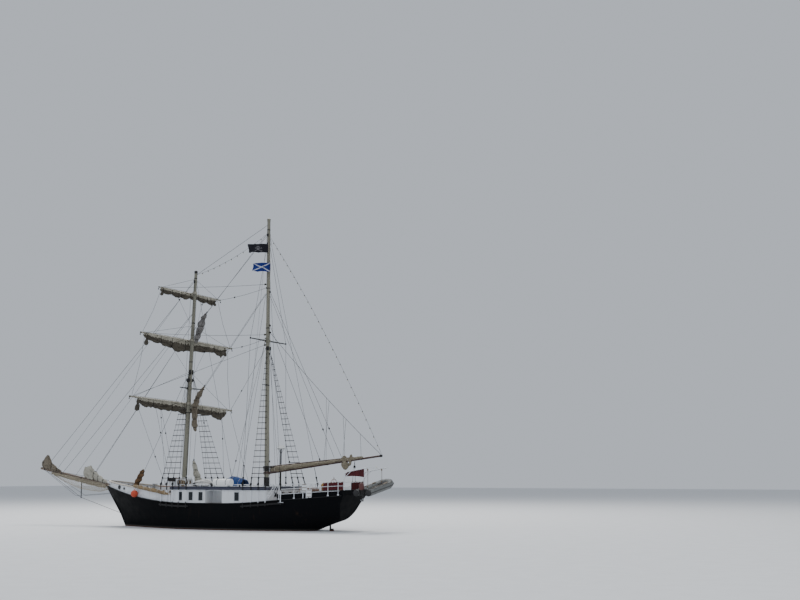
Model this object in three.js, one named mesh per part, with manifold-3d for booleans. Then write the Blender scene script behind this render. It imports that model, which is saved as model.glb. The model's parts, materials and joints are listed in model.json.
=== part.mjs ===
// A two-masted sailing ship rigged as a brigantine: three yards on the foremast, a gaff
// mainsail stowed on its boom, a raked stem with a long bowsprit, and a full-width deckhouse.
// Millimetres. +X forward, +Y port, +Z up. The origin is on the mainmast's axis at the waterline.

import * as THREE from 'three';
import { mergeVertices } from 'three/addons/utils/BufferGeometryUtils.js';
import Module from 'manifold-3d';

const wasm = await Module();
wasm.setup();

// Driving dimensions
const GAP = 0.3;                 // between pieces that touch
const RUN = 6;                   // running clearance of a turning piece
const BEAM = 5900;               // greatest beam at the deck
const DECK_AFT = -7650;          // transom corner at the deck
const DECK_FORE = 15350;         // stem head at the deck
const KEEL_Z = -2650;            // bottom of the keel at the sternpost
const ROOF_TOP = 3170;           // top of the deckhouse roof
const FASCIA = 220;              // height of the roof's dark edge
const WALL = 60;                 // deckhouse wall
const HOUSE_AFT = -1760;
const HOUSE_FORE = 6800;
const CABIN_FLOOR = 1200;
const PORCH = { aft: 2040, fore: 3530, depth: 900 };
const WINDOW = { wide: 450, low: 2130, high: 2800 };

// The hull's ends: fore-and-aft place of the stem and the stern at each height
// columns: height, stem, stern
const ENDS = [
  [-1600, 12150, -5300], [-900, 12950, -5600], [0, 13450, -6150], [650, 13720, -6600],
  [1330, 14060, -7000], [2020, 14620, -7280], [2600, 15160, -7640], [3300, 15650, -7900],
];

// Stations from the transom to the stem
// columns: fraction of the length, half breadth at the deck, height of the bottom, fullness 0 to 1
const STATIONS = [
  [0.00, 1720, 760, 0.55], [0.03, 1900, 520, 0.55], [0.08, 2090, 60, 0.52], [0.15, 2320, -560, 0.55],
  [0.24, 2590, -1130, 0.75], [0.35, 2830, -1440, 0.95], [0.48, BEAM / 2, -1560, 1.0],
  [0.60, 2920, -1560, 0.97], [0.68, 2780, -1520, 0.85], [0.76, 2480, -1440, 0.65],
  [0.83, 2060, -1330, 0.45], [0.89, 1540, -1200, 0.28], [0.94, 980, -1050, 0.15],
  [0.98, 420, -880, 0.05], [1.00, 75, -700, 0.0],
];

// The sheer, which is also the deck line. columns: fore-and-aft place, height
const SHEER = [
  [-8200, 2640], [-6550, 2530], [-5160, 2410], [-3940, 2330], [-2740, 2260], [-1760, 2170],
  [1700, 1970], [6100, 1970], [8300, 2080], [9400, 2190], [11050, 2420], [12500, 2680],
  [13400, 2880], [14500, 3110], [15700, 3330],
];

// Colours: [hex, roughness, metalness]
const FINISH = {
  black: [0x15171a, 0.4, 0.0], white: [0xe6e8ea, 0.5, 0.0], cream: [0xcfc8b4, 0.5, 0.0],
  navy: [0x141c38, 0.4, 0.0], timber: [0x5a3a26, 0.6, 0.0],
  canvas: [0xa89e8a, 0.9, 0.0], whiteCanvas: [0xd8d6cf, 0.9, 0.0], redCanvas: [0x5c1720, 0.9, 0.0],
  steel: [0x9aa0a6, 0.4, 0.8], wire: [0x3a3d40, 0.5, 0.7], bronze: [0xa8824a, 0.35, 0.9],
  rubber: [0x7d8183, 0.7, 0.0], blue: [0x1f4f9e, 0.7, 0.0],
};

// Small helpers for points and tables
const V = (x, y, z) => new THREE.Vector3(x, y, z);
const lerp = (a, b, t) => a + (b - a) * t;
function lookUp(table, key, column = 1) {
  const last = table.length - 1;
  if (key <= table[0][0]) return table[0][column];
  for (let i = 0; i < last; i++) {
    const [a, b] = [table[i], table[i + 1]];
    if (key <= b[0]) return lerp(a[column], b[column], (key - a[0]) / (b[0] - a[0]));
  }
  return table[last][column];
}

// Solids
function solid(geometry) {
  const g = geometry.index ? geometry.clone() : geometry;
  for (const name of ['normal', 'uv']) g.deleteAttribute(name);
  const merged = mergeVertices(g, 1e-3);
  return new wasm.Manifold(new wasm.Mesh({
    numProp: 3,
    vertProperties: new Float32Array(merged.attributes.position.array),
    triVerts: new Uint32Array(merged.index.array),
  }));
}
const join = (...solids) => solids.flat().reduce((a, b) => a.add(b));
function slab(x0, x1, y0, y1, z0, z1) {
  const g = new THREE.BoxGeometry(x1 - x0, y1 - y0, z1 - z0);
  g.translate((x0 + x1) / 2, (y0 + y1) / 2, (z0 + z1) / 2);
  return solid(g);
}
function rod(a, b, r, rEnd = r, sides = 8) {
  const along = b.clone().sub(a);
  const g = new THREE.CylinderGeometry(rEnd, r, along.length(), sides);
  g.applyQuaternion(new THREE.Quaternion().setFromUnitVectors(V(0, 1, 0), along.normalize()));
  g.translate((a.x + b.x) / 2, (a.y + b.y) / 2, (a.z + b.z) / 2);
  return solid(g);
}
// Upright prism over a plan outline of [x, y] points
function prism(outline, z0, z1, holes = []) {
  const shape = new THREE.Shape(outline.map(([x, y]) => new THREE.Vector2(x, y)));
  for (const hole of holes) {
    shape.holes.push(new THREE.Path(hole.map(([x, y]) => new THREE.Vector2(x, y))));
  }
  const g = new THREE.ExtrudeGeometry(shape, { depth: z1 - z0, bevelEnabled: false });
  g.translate(0, 0, z0);
  return solid(g);
}
// Side prism: an outline of [x, z] points, from y0 to y1
function sidePrism(outline, y0, y1) {
  const shape = new THREE.Shape(outline.map(([x, z]) => new THREE.Vector2(x, z)));
  const g = new THREE.ExtrudeGeometry(shape, { depth: y1 - y0, bevelEnabled: false });
  g.rotateX(Math.PI / 2);
  g.translate(0, y1, 0);
  return solid(g);
}
// Loft through closed sections of equal point counts
function loft(sections) {
  const n = sections[0].length;
  const position = sections.flat().flatMap((p) => [p.x, p.y, p.z]);
  const index = [];
  for (let i = 0; i + 1 < sections.length; i++) {
    for (let j = 0; j < n; j++) {
      const [a, b] = [i * n + j, i * n + (j + 1) % n];
      index.push(a, b, a + n, b, b + n, a + n);
    }
  }
  for (const [first, turn] of [[0, true], [(sections.length - 1) * n, false]]) {
    const mid = position.length / 3;
    const centre = V(0, 0, 0);
    for (let j = 0; j < n; j++) centre.add(V(...position.slice((first + j) * 3, (first + j) * 3 + 3)));
    centre.divideScalar(n);
    position.push(centre.x, centre.y, centre.z);
    for (let j = 0; j < n; j++) {
      const [a, b] = [first + j, first + (j + 1) % n];
      index.push(...(turn ? [mid, b, a] : [mid, a, b]));
    }
  }
  const g = new THREE.BufferGeometry();
  g.setAttribute('position', new THREE.Float32BufferAttribute(position, 3));
  g.setIndex(index);
  const s = solid(g);
  if (s.volume() >= 0) return s;
  for (let k = 0; k < index.length; k += 3) [index[k], index[k + 1]] = [index[k + 1], index[k]];
  g.setIndex(index);
  return solid(g);
}
// A pipe through points, mitred at each bend
function pipe(points, r, sides = 8) {
  return loft(points.map((p, i) => {
    const before = points[Math.max(i - 1, 0)];
    const after = points[Math.min(i + 1, points.length - 1)];
    const along = after.clone().sub(before).normalize();
    const hint = Math.abs(along.z) < 0.9 ? V(0, 0, 1) : V(0, 1, 0);
    const side = hint.clone().cross(along).normalize();
    const up = along.clone().cross(side).normalize();
    const ring = [];
    for (let k = 0; k < sides; k++) {
      const turn = (k + 0.5) / sides * Math.PI * 2;
      ring.push(p.clone().addScaledVector(side, Math.cos(turn) * r).addScaledVector(up, Math.sin(turn) * r));
    }
    return ring;
  }));
}
// The scene graph
const ship = new THREE.Group();
const mesh = (name, body, finish, parent = ship) => {
  const out = body.getMesh();
  const g = new THREE.BufferGeometry();
  g.setAttribute('position', new THREE.Float32BufferAttribute(out.vertProperties, 3));
  g.setIndex(new THREE.BufferAttribute(out.triVerts, 1));
  g.computeVertexNormals();
  const [color, roughness, metalness] = FINISH[finish];
  const m = new THREE.Mesh(g, new THREE.MeshStandardMaterial({ color, roughness, metalness }));
  m.name = name;
  parent.add(m);
  return m;
};
const SIDES = [['port', 1], ['starboard', -1]];

// Hull form
const LEVELS = [0, 0.03, 0.07, 0.12, 0.18, 0.25, 0.33, 0.42, 0.52, 0.64, 0.76, 0.88, 1];
// A smooth value between a table's rows, with level tangents kept from overshooting
function smooth(table, key, column) {
  let i = table.findIndex((row) => row[0] > key) - 1;
  if (i < 0) i = key >= table[table.length - 1][0] ? table.length - 2 : 0;
  const slope = (a, b) => (table[b][column] - table[a][column]) / (table[b][0] - table[a][0]);
  const tangent = (k) => {
    if (k === 0) return slope(0, 1);
    if (k === table.length - 1) return slope(k - 1, k);
    const [before, after] = [slope(k - 1, k), slope(k, k + 1)];
    return before * after <= 0 ? 0 : 2 * before * after / (before + after);
  };
  const [a, b] = [table[i], table[i + 1]];
  const span = b[0] - a[0];
  const t = (key - a[0]) / span;
  const [t2, t3] = [t * t, t * t * t];
  return a[column] * (2 * t3 - 3 * t2 + 1) + b[column] * (3 * t2 - 2 * t3)
    + span * (tangent(i) * (t3 - 2 * t2 + t) + tangent(i + 1) * (t3 - t2));
}
function hullPoint(station, level) {
  const [s, half, bottom, full] = station;
  const deckX = lerp(DECK_AFT, DECK_FORE, s);
  const top = smooth(SHEER, deckX, 1);
  const z = lerp(bottom, top, level);
  const x = lerp(smooth(ENDS, z, 2), smooth(ENDS, z, 1), s);
  const round = Math.pow(1 - Math.pow(1 - level, 3.2), 0.5);
  const sharp = Math.pow(level, 0.85);
  return V(x, Math.max(lerp(sharp, round, full) * half, 20), z);
}
// The stations of the table with one more between each pair
const FINE = STATIONS.flatMap((row, i) => {
  if (i === STATIONS.length - 1) return [row];
  const middle = (row[0] + STATIONS[i + 1][0]) / 2;
  return [row, [middle, ...[1, 2, 3].map((column) => smooth(STATIONS, middle, column))]];
});
const hullSections = FINE.map((station) => {
  const side = LEVELS.map((level) => hullPoint(station, level));
  return [...side, ...side.slice().reverse().map((p) => V(p.x, -p.y, p.z))];
});
// The deck's own line: where each station meets the deck
const deckLine = FINE.map((station) => hullPoint(station, 1));
const DECK_TABLE = deckLine.map((p) => [p.x, p.y, p.z]);
const deckHalf = (x) => lookUp(DECK_TABLE, x, 1);
const deckZ = (x) => lookUp(DECK_TABLE, x, 2);
// Everything under the deck, to trim what stands on it
const under = loft([[-9000], ...DECK_TABLE, [17000]].map(([x]) => {
  const z = deckZ(x) + GAP;
  return [V(x, -4000, 0), V(x, 4000, 0), V(x, 4000, z), V(x, -4000, z)];
}));
const seat = (body) => body.subtract(under);
// The hull a hair wider, to trim what is fastened to its side
const wide = loft(hullSections.map((ring) => ring.map((p) => V(p.x, p.y * 1.0003, p.z + GAP))));
const long = loft(hullSections.map((ring) => ring.map((p) => V(p.x + (p.x > 0 ? 0.5 : -0.5), p.y, p.z))));
const fit = (body) => body.subtract(wide).subtract(long);

// Keel, sternpost and the propeller's opening
const RUDDER_X = -5560;
const SHAFT = { x: -4900, z: -1500, r: 45, propeller: 520 };
const KEEL_HALF = 140;
const keelProfile = [
  [13100, -300], [12500, -1500], [11200, -1950], [RUDDER_X - 110, KEEL_Z], [RUDDER_X - 110, KEEL_Z + 190],
  [RUDDER_X + 200, KEEL_Z + 190],
  [-4350, KEEL_Z + 250], [-4350, -1500], [-4350, -950], [-3900, -700], [3000, -900], [12200, -200],
];
const bowspritAt = (x) => V(x, 0, 3200 + 0.185 * (x - 15200));
const BOWSPRIT = { heel: 12950, tip: 22750, r: 165, rTip: 95 };
const bowspritRod = (grow, from = BOWSPRIT.heel, to = BOWSPRIT.tip) => rod(
  bowspritAt(from), bowspritAt(to), BOWSPRIT.r + grow, BOWSPRIT.rTip + grow, 12);

const hullShell = join(loft(hullSections), sidePrism(keelProfile, -KEEL_HALF, KEEL_HALF));
const cabinWell = slab(HOUSE_AFT + 260, HOUSE_FORE - 260, -2330, 2330, CABIN_FLOOR, 4000)
  .subtract(join(SIDES.map(([, s]) => slab(PORCH.aft - 100, PORCH.fore + 100,
    Math.min(s * 1880, s * 3000), Math.max(s * 1880, s * 3000), 0, 4100))));
// The rudder's stock turns in a trunk through the counter
const STOCK = { x: RUDDER_X - 30, r: 62, top: 900 };
const stockRod = (grow, z0, z1) => rod(V(STOCK.x, 0, z0), V(STOCK.x, 0, z1), STOCK.r + grow, STOCK.r + grow, 12);
mesh('hull', hullShell.subtract(join(cabinWell, stockRod(RUN, -100, STOCK.top + 12),
  bowspritRod(0.5, BOWSPRIT.heel - 0.5))), 'black');

// A wall that follows the deck's edge: from x0 to x1 on one side, or right round an end
function edgePath(x0, x1, inset) {
  const xs = [x0, ...DECK_TABLE.map(([x]) => x).filter((x) => x > x0 + 1 && x < x1 - 1), x1];
  return xs.map((x) => [x, deckHalf(x) - inset]);
}
function edgeWall(path, thick, low, high) {
  const flat = path.map(([x, y]) => new THREE.Vector2(x, y));
  return loft(flat.map((p, i) => {
    const before = flat[Math.max(i - 1, 0)];
    const after = flat[Math.min(i + 1, flat.length - 1)];
    const along = after.clone().sub(before).normalize();
    const inward = new THREE.Vector2(-along.y, along.x).multiplyScalar(thick);
    const q = p.clone().add(inward);
    return [V(p.x, p.y, low(p.x)), V(q.x, q.y, low(p.x)), V(q.x, q.y, high(p.x)), V(p.x, p.y, high(p.x))];
  }));
}
const mirrored = (path) => path.slice().reverse().map(([x, y]) => [x, -y]);

// Foredeck bulwark and its cap rail, right round the bow
const BULWARK = { thick: 70, cap: 190, capThick: 70 };
const capZ = (x) => lookUp([[6800, 2600], [8600, 2840], [10350, 3080], [12900, 3330], [15300, 3620]], x);
const BOW_STOP = 14750;         // where the side planks give way to the stem piece
const foreSide = edgePath(HOUSE_FORE + 40, BOW_STOP, 20);
const roundBow = (out) => {
  const side = foreSide.map(([x, y]) => [x, y + out]);
  return [...mirrored(side).reverse(), [DECK_FORE - 90 + out, 0], ...side.slice().reverse()];
};
const underCap = (x) => capZ(x) - BULWARK.capThick;
const capCutter = edgeWall(roundBow(60), BULWARK.cap, (x) => underCap(x) - GAP, (x) => underCap(x) + 900);
const foreWall = edgeWall(roundBow(0), BULWARK.thick, () => 1500, (x) => underCap(x) - GAP);
mesh('fore_bulwark', seat(foreWall).subtract(capCutter).subtract(bowspritRod(0.5)), 'white');
mesh('fore_cap_rail', edgeWall(roundBow(60), BULWARK.cap, underCap, capZ).subtract(bowspritRod(0.5)), 'timber');

// Quarterdeck bulwark, round the stern
const quarterTop = (x) => lookUp([[-8200, 3010], [-5820, 2870], [-2700, 2650]], x);
const quarterSide = edgePath(DECK_AFT + 30, -2560, 20);
const quarterPath = [...quarterSide.slice().reverse(), ...mirrored(quarterSide).reverse()];
mesh('quarter_bulwark', seat(edgeWall(quarterPath, BULWARK.thick, () => 1500, quarterTop)), 'black');


// Deckhouse: walls round the plan with two side porches, windows, doors and a roof
const houseHalf = (x) => deckHalf(x) - 40;
function houseOutline(inset) {
  const x0 = HOUSE_AFT + inset;
  const x1 = HOUSE_FORE - inset;
  const porch = [PORCH.aft - inset, PORCH.fore + inset];
  const inner = houseHalf(PORCH.aft) - PORCH.depth - inset;
  const stops = DECK_TABLE.map(([x]) => x).filter((x) => x > x0 + 60 && x < x1 - 60);
  const edge = (x) => [x, houseHalf(x) - inset];
  const port = [edge(x0), ...stops.filter((x) => x < porch[0]).map(edge), edge(porch[0]),
    [porch[0], inner], [porch[1], inner], edge(porch[1]),
    ...stops.filter((x) => x > porch[1]).map(edge), edge(x1)];
  return [...port, ...mirrored(port)];
}
const FASCIA_LOW = ROOF_TOP - FASCIA;
let walls = prism(houseOutline(0), 1500, FASCIA_LOW - GAP, [houseOutline(WALL).reverse()]);
walls = seat(walls);
// Side windows, by their middles; end windows, by their middles
const SIDE_WINDOWS = [5880, 4880, 3960, 760];
const END_WINDOWS = [-1500, -500, 500, 1500];
const DOOR = { wide: 700, low: 2000, high: 2880, thick: 45 };
const cuts = [];
for (const x of SIDE_WINDOWS) {
  cuts.push(slab(x - WINDOW.wide / 2, x + WINDOW.wide / 2, -3200, 3200, WINDOW.low, WINDOW.high));
}
for (const y of END_WINDOWS) {
  cuts.push(slab(HOUSE_FORE - 300, HOUSE_FORE + 300, y - 230, y + 230, 2420, WINDOW.high));
  cuts.push(slab(HOUSE_AFT - 300, HOUSE_AFT + 300, y - 230, y + 230, 2420, WINDOW.high));
}
const porchInner = houseHalf(PORCH.aft) - PORCH.depth;
const doorMid = (PORCH.aft + PORCH.fore) / 2;
const doorway = (grow, y0, y1) => slab(doorMid - DOOR.wide / 2 - grow, doorMid + DOOR.wide / 2 + grow,
  y0, y1, DOOR.low - grow, DOOR.high + grow);
for (const [, s] of SIDES) {
  cuts.push(doorway(0, Math.min(s * (porchInner - 200), s * (porchInner + 200)),
    Math.max(s * (porchInner - 200), s * (porchInner + 200))));
}
mesh('deckhouse_walls', walls.subtract(join(cuts)), 'white');

// Roof: a slab over the plan, whose porch sides are straight across
const roofStops = [HOUSE_AFT - 90, ...DECK_TABLE.map(([x]) => x).filter((x) => x > HOUSE_AFT && x < HOUSE_FORE),
  HOUSE_FORE + 60];
const roofEdge = roofStops.map((x) => [x, deckHalf(x) + 50]);
const MAINMAST = { x: 0, rake: 180 / 20370, foot: CABIN_FLOOR, top: 23700, r: 190, rTop: 125 };
const FOREMAST = { x: 7905, rake: -0.0392, foot: ROOF_TOP, top: 20120, r: 190, rTop: 120 };
const mastAt = (m, z) => V(m.x + m.rake * z, 0, z);
const mastR = (m, z) => lerp(m.r, m.rTop, (z - m.foot) / (m.top - m.foot));
const mastRod = (m, z0, z1, grow = 0, sides = 16) => rod(
  mastAt(m, z0), mastAt(m, z1), mastR(m, z0) + grow, mastR(m, z1) + grow, sides);
// The raised pad abaft the mast is clear for whatever is stood on the roof
const PAD = { aft: -1550, fore: -550, half: 900, rise: 20 };
const roof = prism([...roofEdge, ...mirrored(roofEdge)], FASCIA_LOW, ROOF_TOP)
  .add(slab(PAD.aft, PAD.fore, -PAD.half, PAD.half, ROOF_TOP - 50, ROOF_TOP + PAD.rise));
mesh('deckhouse_roof', roof.subtract(mastRod(MAINMAST, 2500, 3600, 2)), 'navy');

// Doors, seated in the doorways on two pivot pins at the after edge
const DOOR_GAP = 8;
const PIVOT = 14;
for (const [side, s] of SIDES) {
  const y = s * (porchInner - WALL / 2);
  const pinX = doorMid - DOOR.wide / 2 + DOOR_GAP + PIVOT;
  const pinY = y + s * (DOOR.thick / 2 - PIVOT);
  mesh(`${side}_door`, join(doorway(-DOOR_GAP, y - DOOR.thick / 2, y + DOOR.thick / 2),
    rod(V(pinX, pinY, DOOR.low + GAP), V(pinX, pinY, DOOR.high - GAP), 8, 8, 8)), 'timber');
}

// Fore trunk with a deck box and the companion hatch, forward of the deckhouse
const TRUNK = { aft: HOUSE_FORE + 65, fore: 9500, half: 900 };
const HATCH = { aft: 8450, fore: 9050, half: 300, coaming: 3560, lid: 3800 };
const DECK_BOX = { aft: 8050, fore: 8350, half: 300, top: 3750 };
const trunk = join(slab(TRUNK.aft, TRUNK.fore, -TRUNK.half, TRUNK.half, 1500, ROOF_TOP - GAP),
  slab(HATCH.aft, HATCH.fore, -HATCH.half, HATCH.half, 3000, HATCH.coaming),
  slab(DECK_BOX.aft, DECK_BOX.fore, -DECK_BOX.half, DECK_BOX.half, 3000, DECK_BOX.top));
mesh('fore_trunk', seat(trunk), 'white');
mesh('fore_hatch_lid', slab(HATCH.aft - 40, HATCH.fore + 40, -HATCH.half - 40, HATCH.half + 40,
  HATCH.coaming + GAP, HATCH.lid), 'black');

// Masts, each cut level where it stands
const level = (body, z0, z1) => body.intersect(slab(-20000, 30000, -8000, 8000, z0, z1));
const standing = (m) => level(mastRod(m, m.foot - 100, m.top), m.foot + GAP, m.top + 100);

// Spreaders and crosstrees: arms and a band round the mast, part of it
function arms(m, z, half, sweep, r) {
  const middle = mastAt(m, z);
  const band = rod(mastAt(m, z - 90), mastAt(m, z + 90), mastR(m, z) + 70, mastR(m, z) + 70, 16);
  const parts = SIDES.map(([, s]) => rod(V(middle.x, 0, z), V(middle.x - sweep, s * half, z), r, r * 0.7));
  return join(band, parts);
}
const CROSSTREE = { z: 10800, half: 1550, sweep: 300, r: 55 };
const SPREADER = { z: 14200, half: 2400, sweep: 60, r: 60 };

// Shrouds: a gang on each side, from a band on the mast to a rail of deadeyes along the hull's edge
// columns: mast, height of the band, places of the feet along the hull
const GANGS = [
  ['fore', FOREMAST, 12200, [7750, 7150, 6550, 5950]],
  ['main', MAINMAST, 13700, [-500, -1100, -1680]],
];
const WIRE = 13;
const PLATE = { out: 62, thick: 34, half: 35, low: 380, head: 3350 };
const inOrder = (a, b) => [Math.min(a, b), Math.max(a, b)];
// A chain plate on the hull's side, standing up past the rail; its head is a deadeye
function chainPlate(x, s) {
  const y = inOrder(s * (deckHalf(x) + PLATE.out), s * (deckHalf(x) + PLATE.out + PLATE.thick));
  const y0 = s * (deckHalf(x) + PLATE.out);
  return join(slab(x - PLATE.half, x + PLATE.half, ...y, deckZ(x) - PLATE.low, PLATE.head),
    rod(V(x, y0, PLATE.head), V(x, y0 + s * 70, PLATE.head), 85, 85, 8));
}
const plateHead = (x, s) => V(x, s * (deckHalf(x) + PLATE.out + PLATE.thick / 2), PLATE.head);
// The rubbing strake that the chain plates are bolted to
function strake(x0, x1, s) {
  const xs = [x0, ...DECK_TABLE.map(([x]) => x).filter((x) => x > x0 + 40 && x < x1 - 40), x1];
  return fit(loft(xs.map((x) => {
    const [y0, y1] = [s * (deckHalf(x) - 150), s * (deckHalf(x) + PLATE.out + 15)];
    const z = deckZ(x) - 190;
    return [V(x, y0, z), V(x, y1, z), V(x, y1, z - 120), V(x, y0, z - 120)];
  })));
}
function gang(m, top, feet, s) {
  const head = mastAt(m, top);
  const r = mastR(m, top);
  const parts = feet.map((x, i) => join(chainPlate(x, s),
    rod(plateHead(x, s), V(head.x - r * 0.4, s * (r + 12), top - 70 * i), WIRE, WIRE, 4)));
  const pole = feet.slice(1).map((x, i) => {
    const lift = (foot) => plateHead(foot, s).lerp(V(head.x, s * r, top), 0.05);
    return rod(lift(feet[i]), lift(x), 18, 18, 4);
  });
  const band = slab(head.x - r - 30, head.x + 20, ...inOrder(s * (r - 60), s * (r + 30)),
    top - 70 * feet.length, top + 60).subtract(mastRod(m, top - 900, top + 900, 0.5));
  return join(band, parts, pole);
}
// Backstays from near each masthead. columns as named
const BACKSTAYS = { fore: { top: 19350, foot: 5250 }, main: { top: 22500, foot: -2900 } };
const CAP = { top: 21800, foot: 180 };
const cheekAt = (m, z, s) => slab(mastAt(m, z).x - 65, mastAt(m, z).x + 65,
  ...inOrder(s * (mastR(m, z) - 40), s * (mastR(m, z) + 30)), z - 130, z + 80);
const foreWires = [];
for (const [name, m, top, feet] of GANGS) {
  const back = BACKSTAYS[name];
  for (const [side, s] of SIDES) {
    const onMast = (z) => mastAt(m, z).add(V(0, s * (mastR(m, z) + 10), 0));
    const parts = [gang(m, top, feet, s), cheekAt(m, back.top, s), chainPlate(back.foot, s),
      rod(plateHead(back.foot, s), onMast(back.top), WIRE, WIRE, 4)];
    const ends = [...feet, back.foot];
    if (m === FOREMAST) {
      const head = mastAt(m, top);
      feet.forEach((x, i) => foreWires.push(rod(plateHead(x, s),
        V(head.x - mastR(m, top) * 0.4, s * (mastR(m, top) + 12), top - 70 * i), WIRE + 1, WIRE + 1, 4)));
    } else {
      const tip = V(MAINMAST.x - SPREADER.sweep + 120, s * (SPREADER.half + 30), SPREADER.z);
      ends.push(CAP.foot);
      parts.push(cheekAt(m, CAP.top, s), rod(onMast(CAP.top), tip, WIRE, WIRE, 4), chainPlate(CAP.foot, s),
        rod(tip.clone().add(V(0, 0, 20)), plateHead(CAP.foot, s), WIRE, WIRE, 4),
        slab(tip.x - 45, tip.x + 45, ...inOrder(tip.y - s * 24, tip.y + s * 30), tip.z - 60, tip.z + 60));
    }
    parts.push(strake(Math.min(...ends) - 180, Math.max(...ends) + 180, s));
    mesh(`${name}_${side}_rigging`, join(parts).subtract(mastRod(m, 9000, m.top, 0.5)), 'wire');
  }
}
// Stays in the middle plane. columns: name, upper end, lower end
const STAYS = [
  ['outer_fore_stay', mastAt(FOREMAST, 19480), bowspritAt(22350)],
  ['middle_fore_stay', mastAt(FOREMAST, 16900), bowspritAt(20400)],
  ['inner_fore_stay', mastAt(FOREMAST, 16000), bowspritAt(17300)],
  ['triatic_stay', mastAt(MAINMAST, 23350), mastAt(FOREMAST, 19850)],
  ['main_topmast_stay', mastAt(MAINMAST, 22750), mastAt(FOREMAST, 15300)],
  ['main_stay', mastAt(MAINMAST, 18100), mastAt(FOREMAST, 8900)],
];
const allMasts = (grow) => join(mastRod(FOREMAST, 3000, 20100, grow), mastRod(MAINMAST, 3000, 23690, grow));
const trimAll = (body) => body.subtract(allMasts(0.5)).subtract(bowspritRod(0.5));
for (const [name, a, b] of STAYS) mesh(name, trimAll(rod(a, b, WIRE, WIRE, 6)), 'wire');
// The stem stay comes down to the foredeck
const STEM_STAY = [mastAt(FOREMAST, 12300), V(12700, 0, 2600)];
mesh('stem_stay', seat(trimAll(rod(...STEM_STAY, WIRE, WIRE, 6))), 'wire');

// Bowsprit with its dolphin striker and martingale stays
const STRIKER = { x: 18250, foot: 2150, r: 45 };
const strikerTop = bowspritAt(STRIKER.x);
const stemEye = V(13600, 0, 900);
const striker = join(rod(strikerTop, V(STRIKER.x, 0, STRIKER.foot), STRIKER.r, STRIKER.r * 0.8),
  rod(stemEye, V(STRIKER.x, 0, STRIKER.foot + 60), 16, 16, 6),
  rod(V(STRIKER.x, 0, STRIKER.foot + 60), bowspritAt(22400), 14, 14, 6));
mesh('bowsprit', join(bowspritRod(0), fit(striker)), 'timber');
// Yards on the foremast, each with a collar round the mast and its furled sail
// columns: name, height, half length, middle radius, cant, how far ahead of the mast's axis
const BRACED = 18;
const YARDS = [
  ['topgallant', 18440, 2993, 75, 4.45, 650],
  ['topsail', 14650, 4403, 100, 4.3, 630],
  ['course', 9640, 4875, 115, 4.5, 860],
];
// Furled sails. rows: share of the half length, half width, depth below the yard's middle
const FURLED = {
  topgallant: [[-0.86, 60, 160], [-0.6, 130, 420], [-0.3, 150, 520], [0, 160, 540], [0.3, 150, 500],
    [0.6, 140, 480], [0.9, 60, 200]],
  topsail: [[-0.86, 80, 260], [-0.6, 150, 480], [-0.3, 180, 640], [0, 200, 860], [0.2, 210, 980],
    [0.5, 180, 620], [0.75, 150, 480], [0.9, 70, 240]],
  course: [[-0.8, 80, 320], [-0.6, 150, 620], [-0.3, 180, 660], [0, 190, 700], [0.3, 180, 700],
    [0.6, 160, 640], [0.9, 70, 300]],
};
const COLLAR = 90;
const ledges = [];
const RAD = Math.PI / 180;
for (const [name, z, half, r, cant, offset] of YARDS) {
  const onMast = mastAt(FOREMAST, z);
  const ahead = V(Math.cos(BRACED * RAD), -Math.sin(BRACED * RAD), 0);
  const along = V(ahead.y * -Math.cos(cant * RAD), ahead.x * Math.cos(cant * RAD), Math.sin(cant * RAD));
  const middle = onMast.clone().addScaledVector(ahead, offset);
  const end = (s) => middle.clone().addScaledVector(along, s * half);
  const spar = (grow) => join(SIDES.map(([, s]) => rod(middle.clone().addScaledVector(along, -s * 30), end(s),
    r + grow, r * 0.55 + grow, 12)));
  const mr = mastR(FOREMAST, z);
  const collar = mastRod(FOREMAST, z - COLLAR, z + COLLAR, RUN + 50, 16)
    .subtract(mastRod(FOREMAST, z - 200, z + 200, RUN, 24));
  const truss = rod(onMast.clone().addScaledVector(ahead, mr + RUN + 20), middle, 50, 50, 8);
  const yard = new THREE.Group();
  ship.add(yard);
  mesh(`${name}_yard`, join(spar(0), collar, truss), 'timber', yard);
  const sail = loft(FURLED[name].map(([share, half_, deep]) => {
    const at = middle.clone().addScaledVector(along, share * half);
    const ring = [];
    for (let k = 0; k < 10; k++) {
      const turn = (k + 0.5) / 10 * Math.PI * 2;
      const down = -deep / 2 + Math.sin(turn) * deep / 2;
      ring.push(at.clone().addScaledVector(ahead, Math.cos(turn) * half_).add(V(0, 0, down)));
    }
    return ring;
  }));
  const cut = join(spar(0.6), rod(onMast, middle, 51, 51, 8), mastRod(FOREMAST, z - 1500, z + 300, RUN + 60, 16));
  mesh(`${name}_sail`, sail.subtract(cut), 'canvas', yard);
  // The ledge on the mast that the collar rests on
  ledges.push(mastRod(FOREMAST, z - COLLAR - 70, z - COLLAR - GAP, 40, 16));
}
const crosstree = arms(FOREMAST, CROSSTREE.z, CROSSTREE.half, CROSSTREE.sweep, CROSSTREE.r)
  .subtract(join(foreWires));
mesh('foremast', join(standing(FOREMAST), ledges, crosstree), 'cream');

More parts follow.
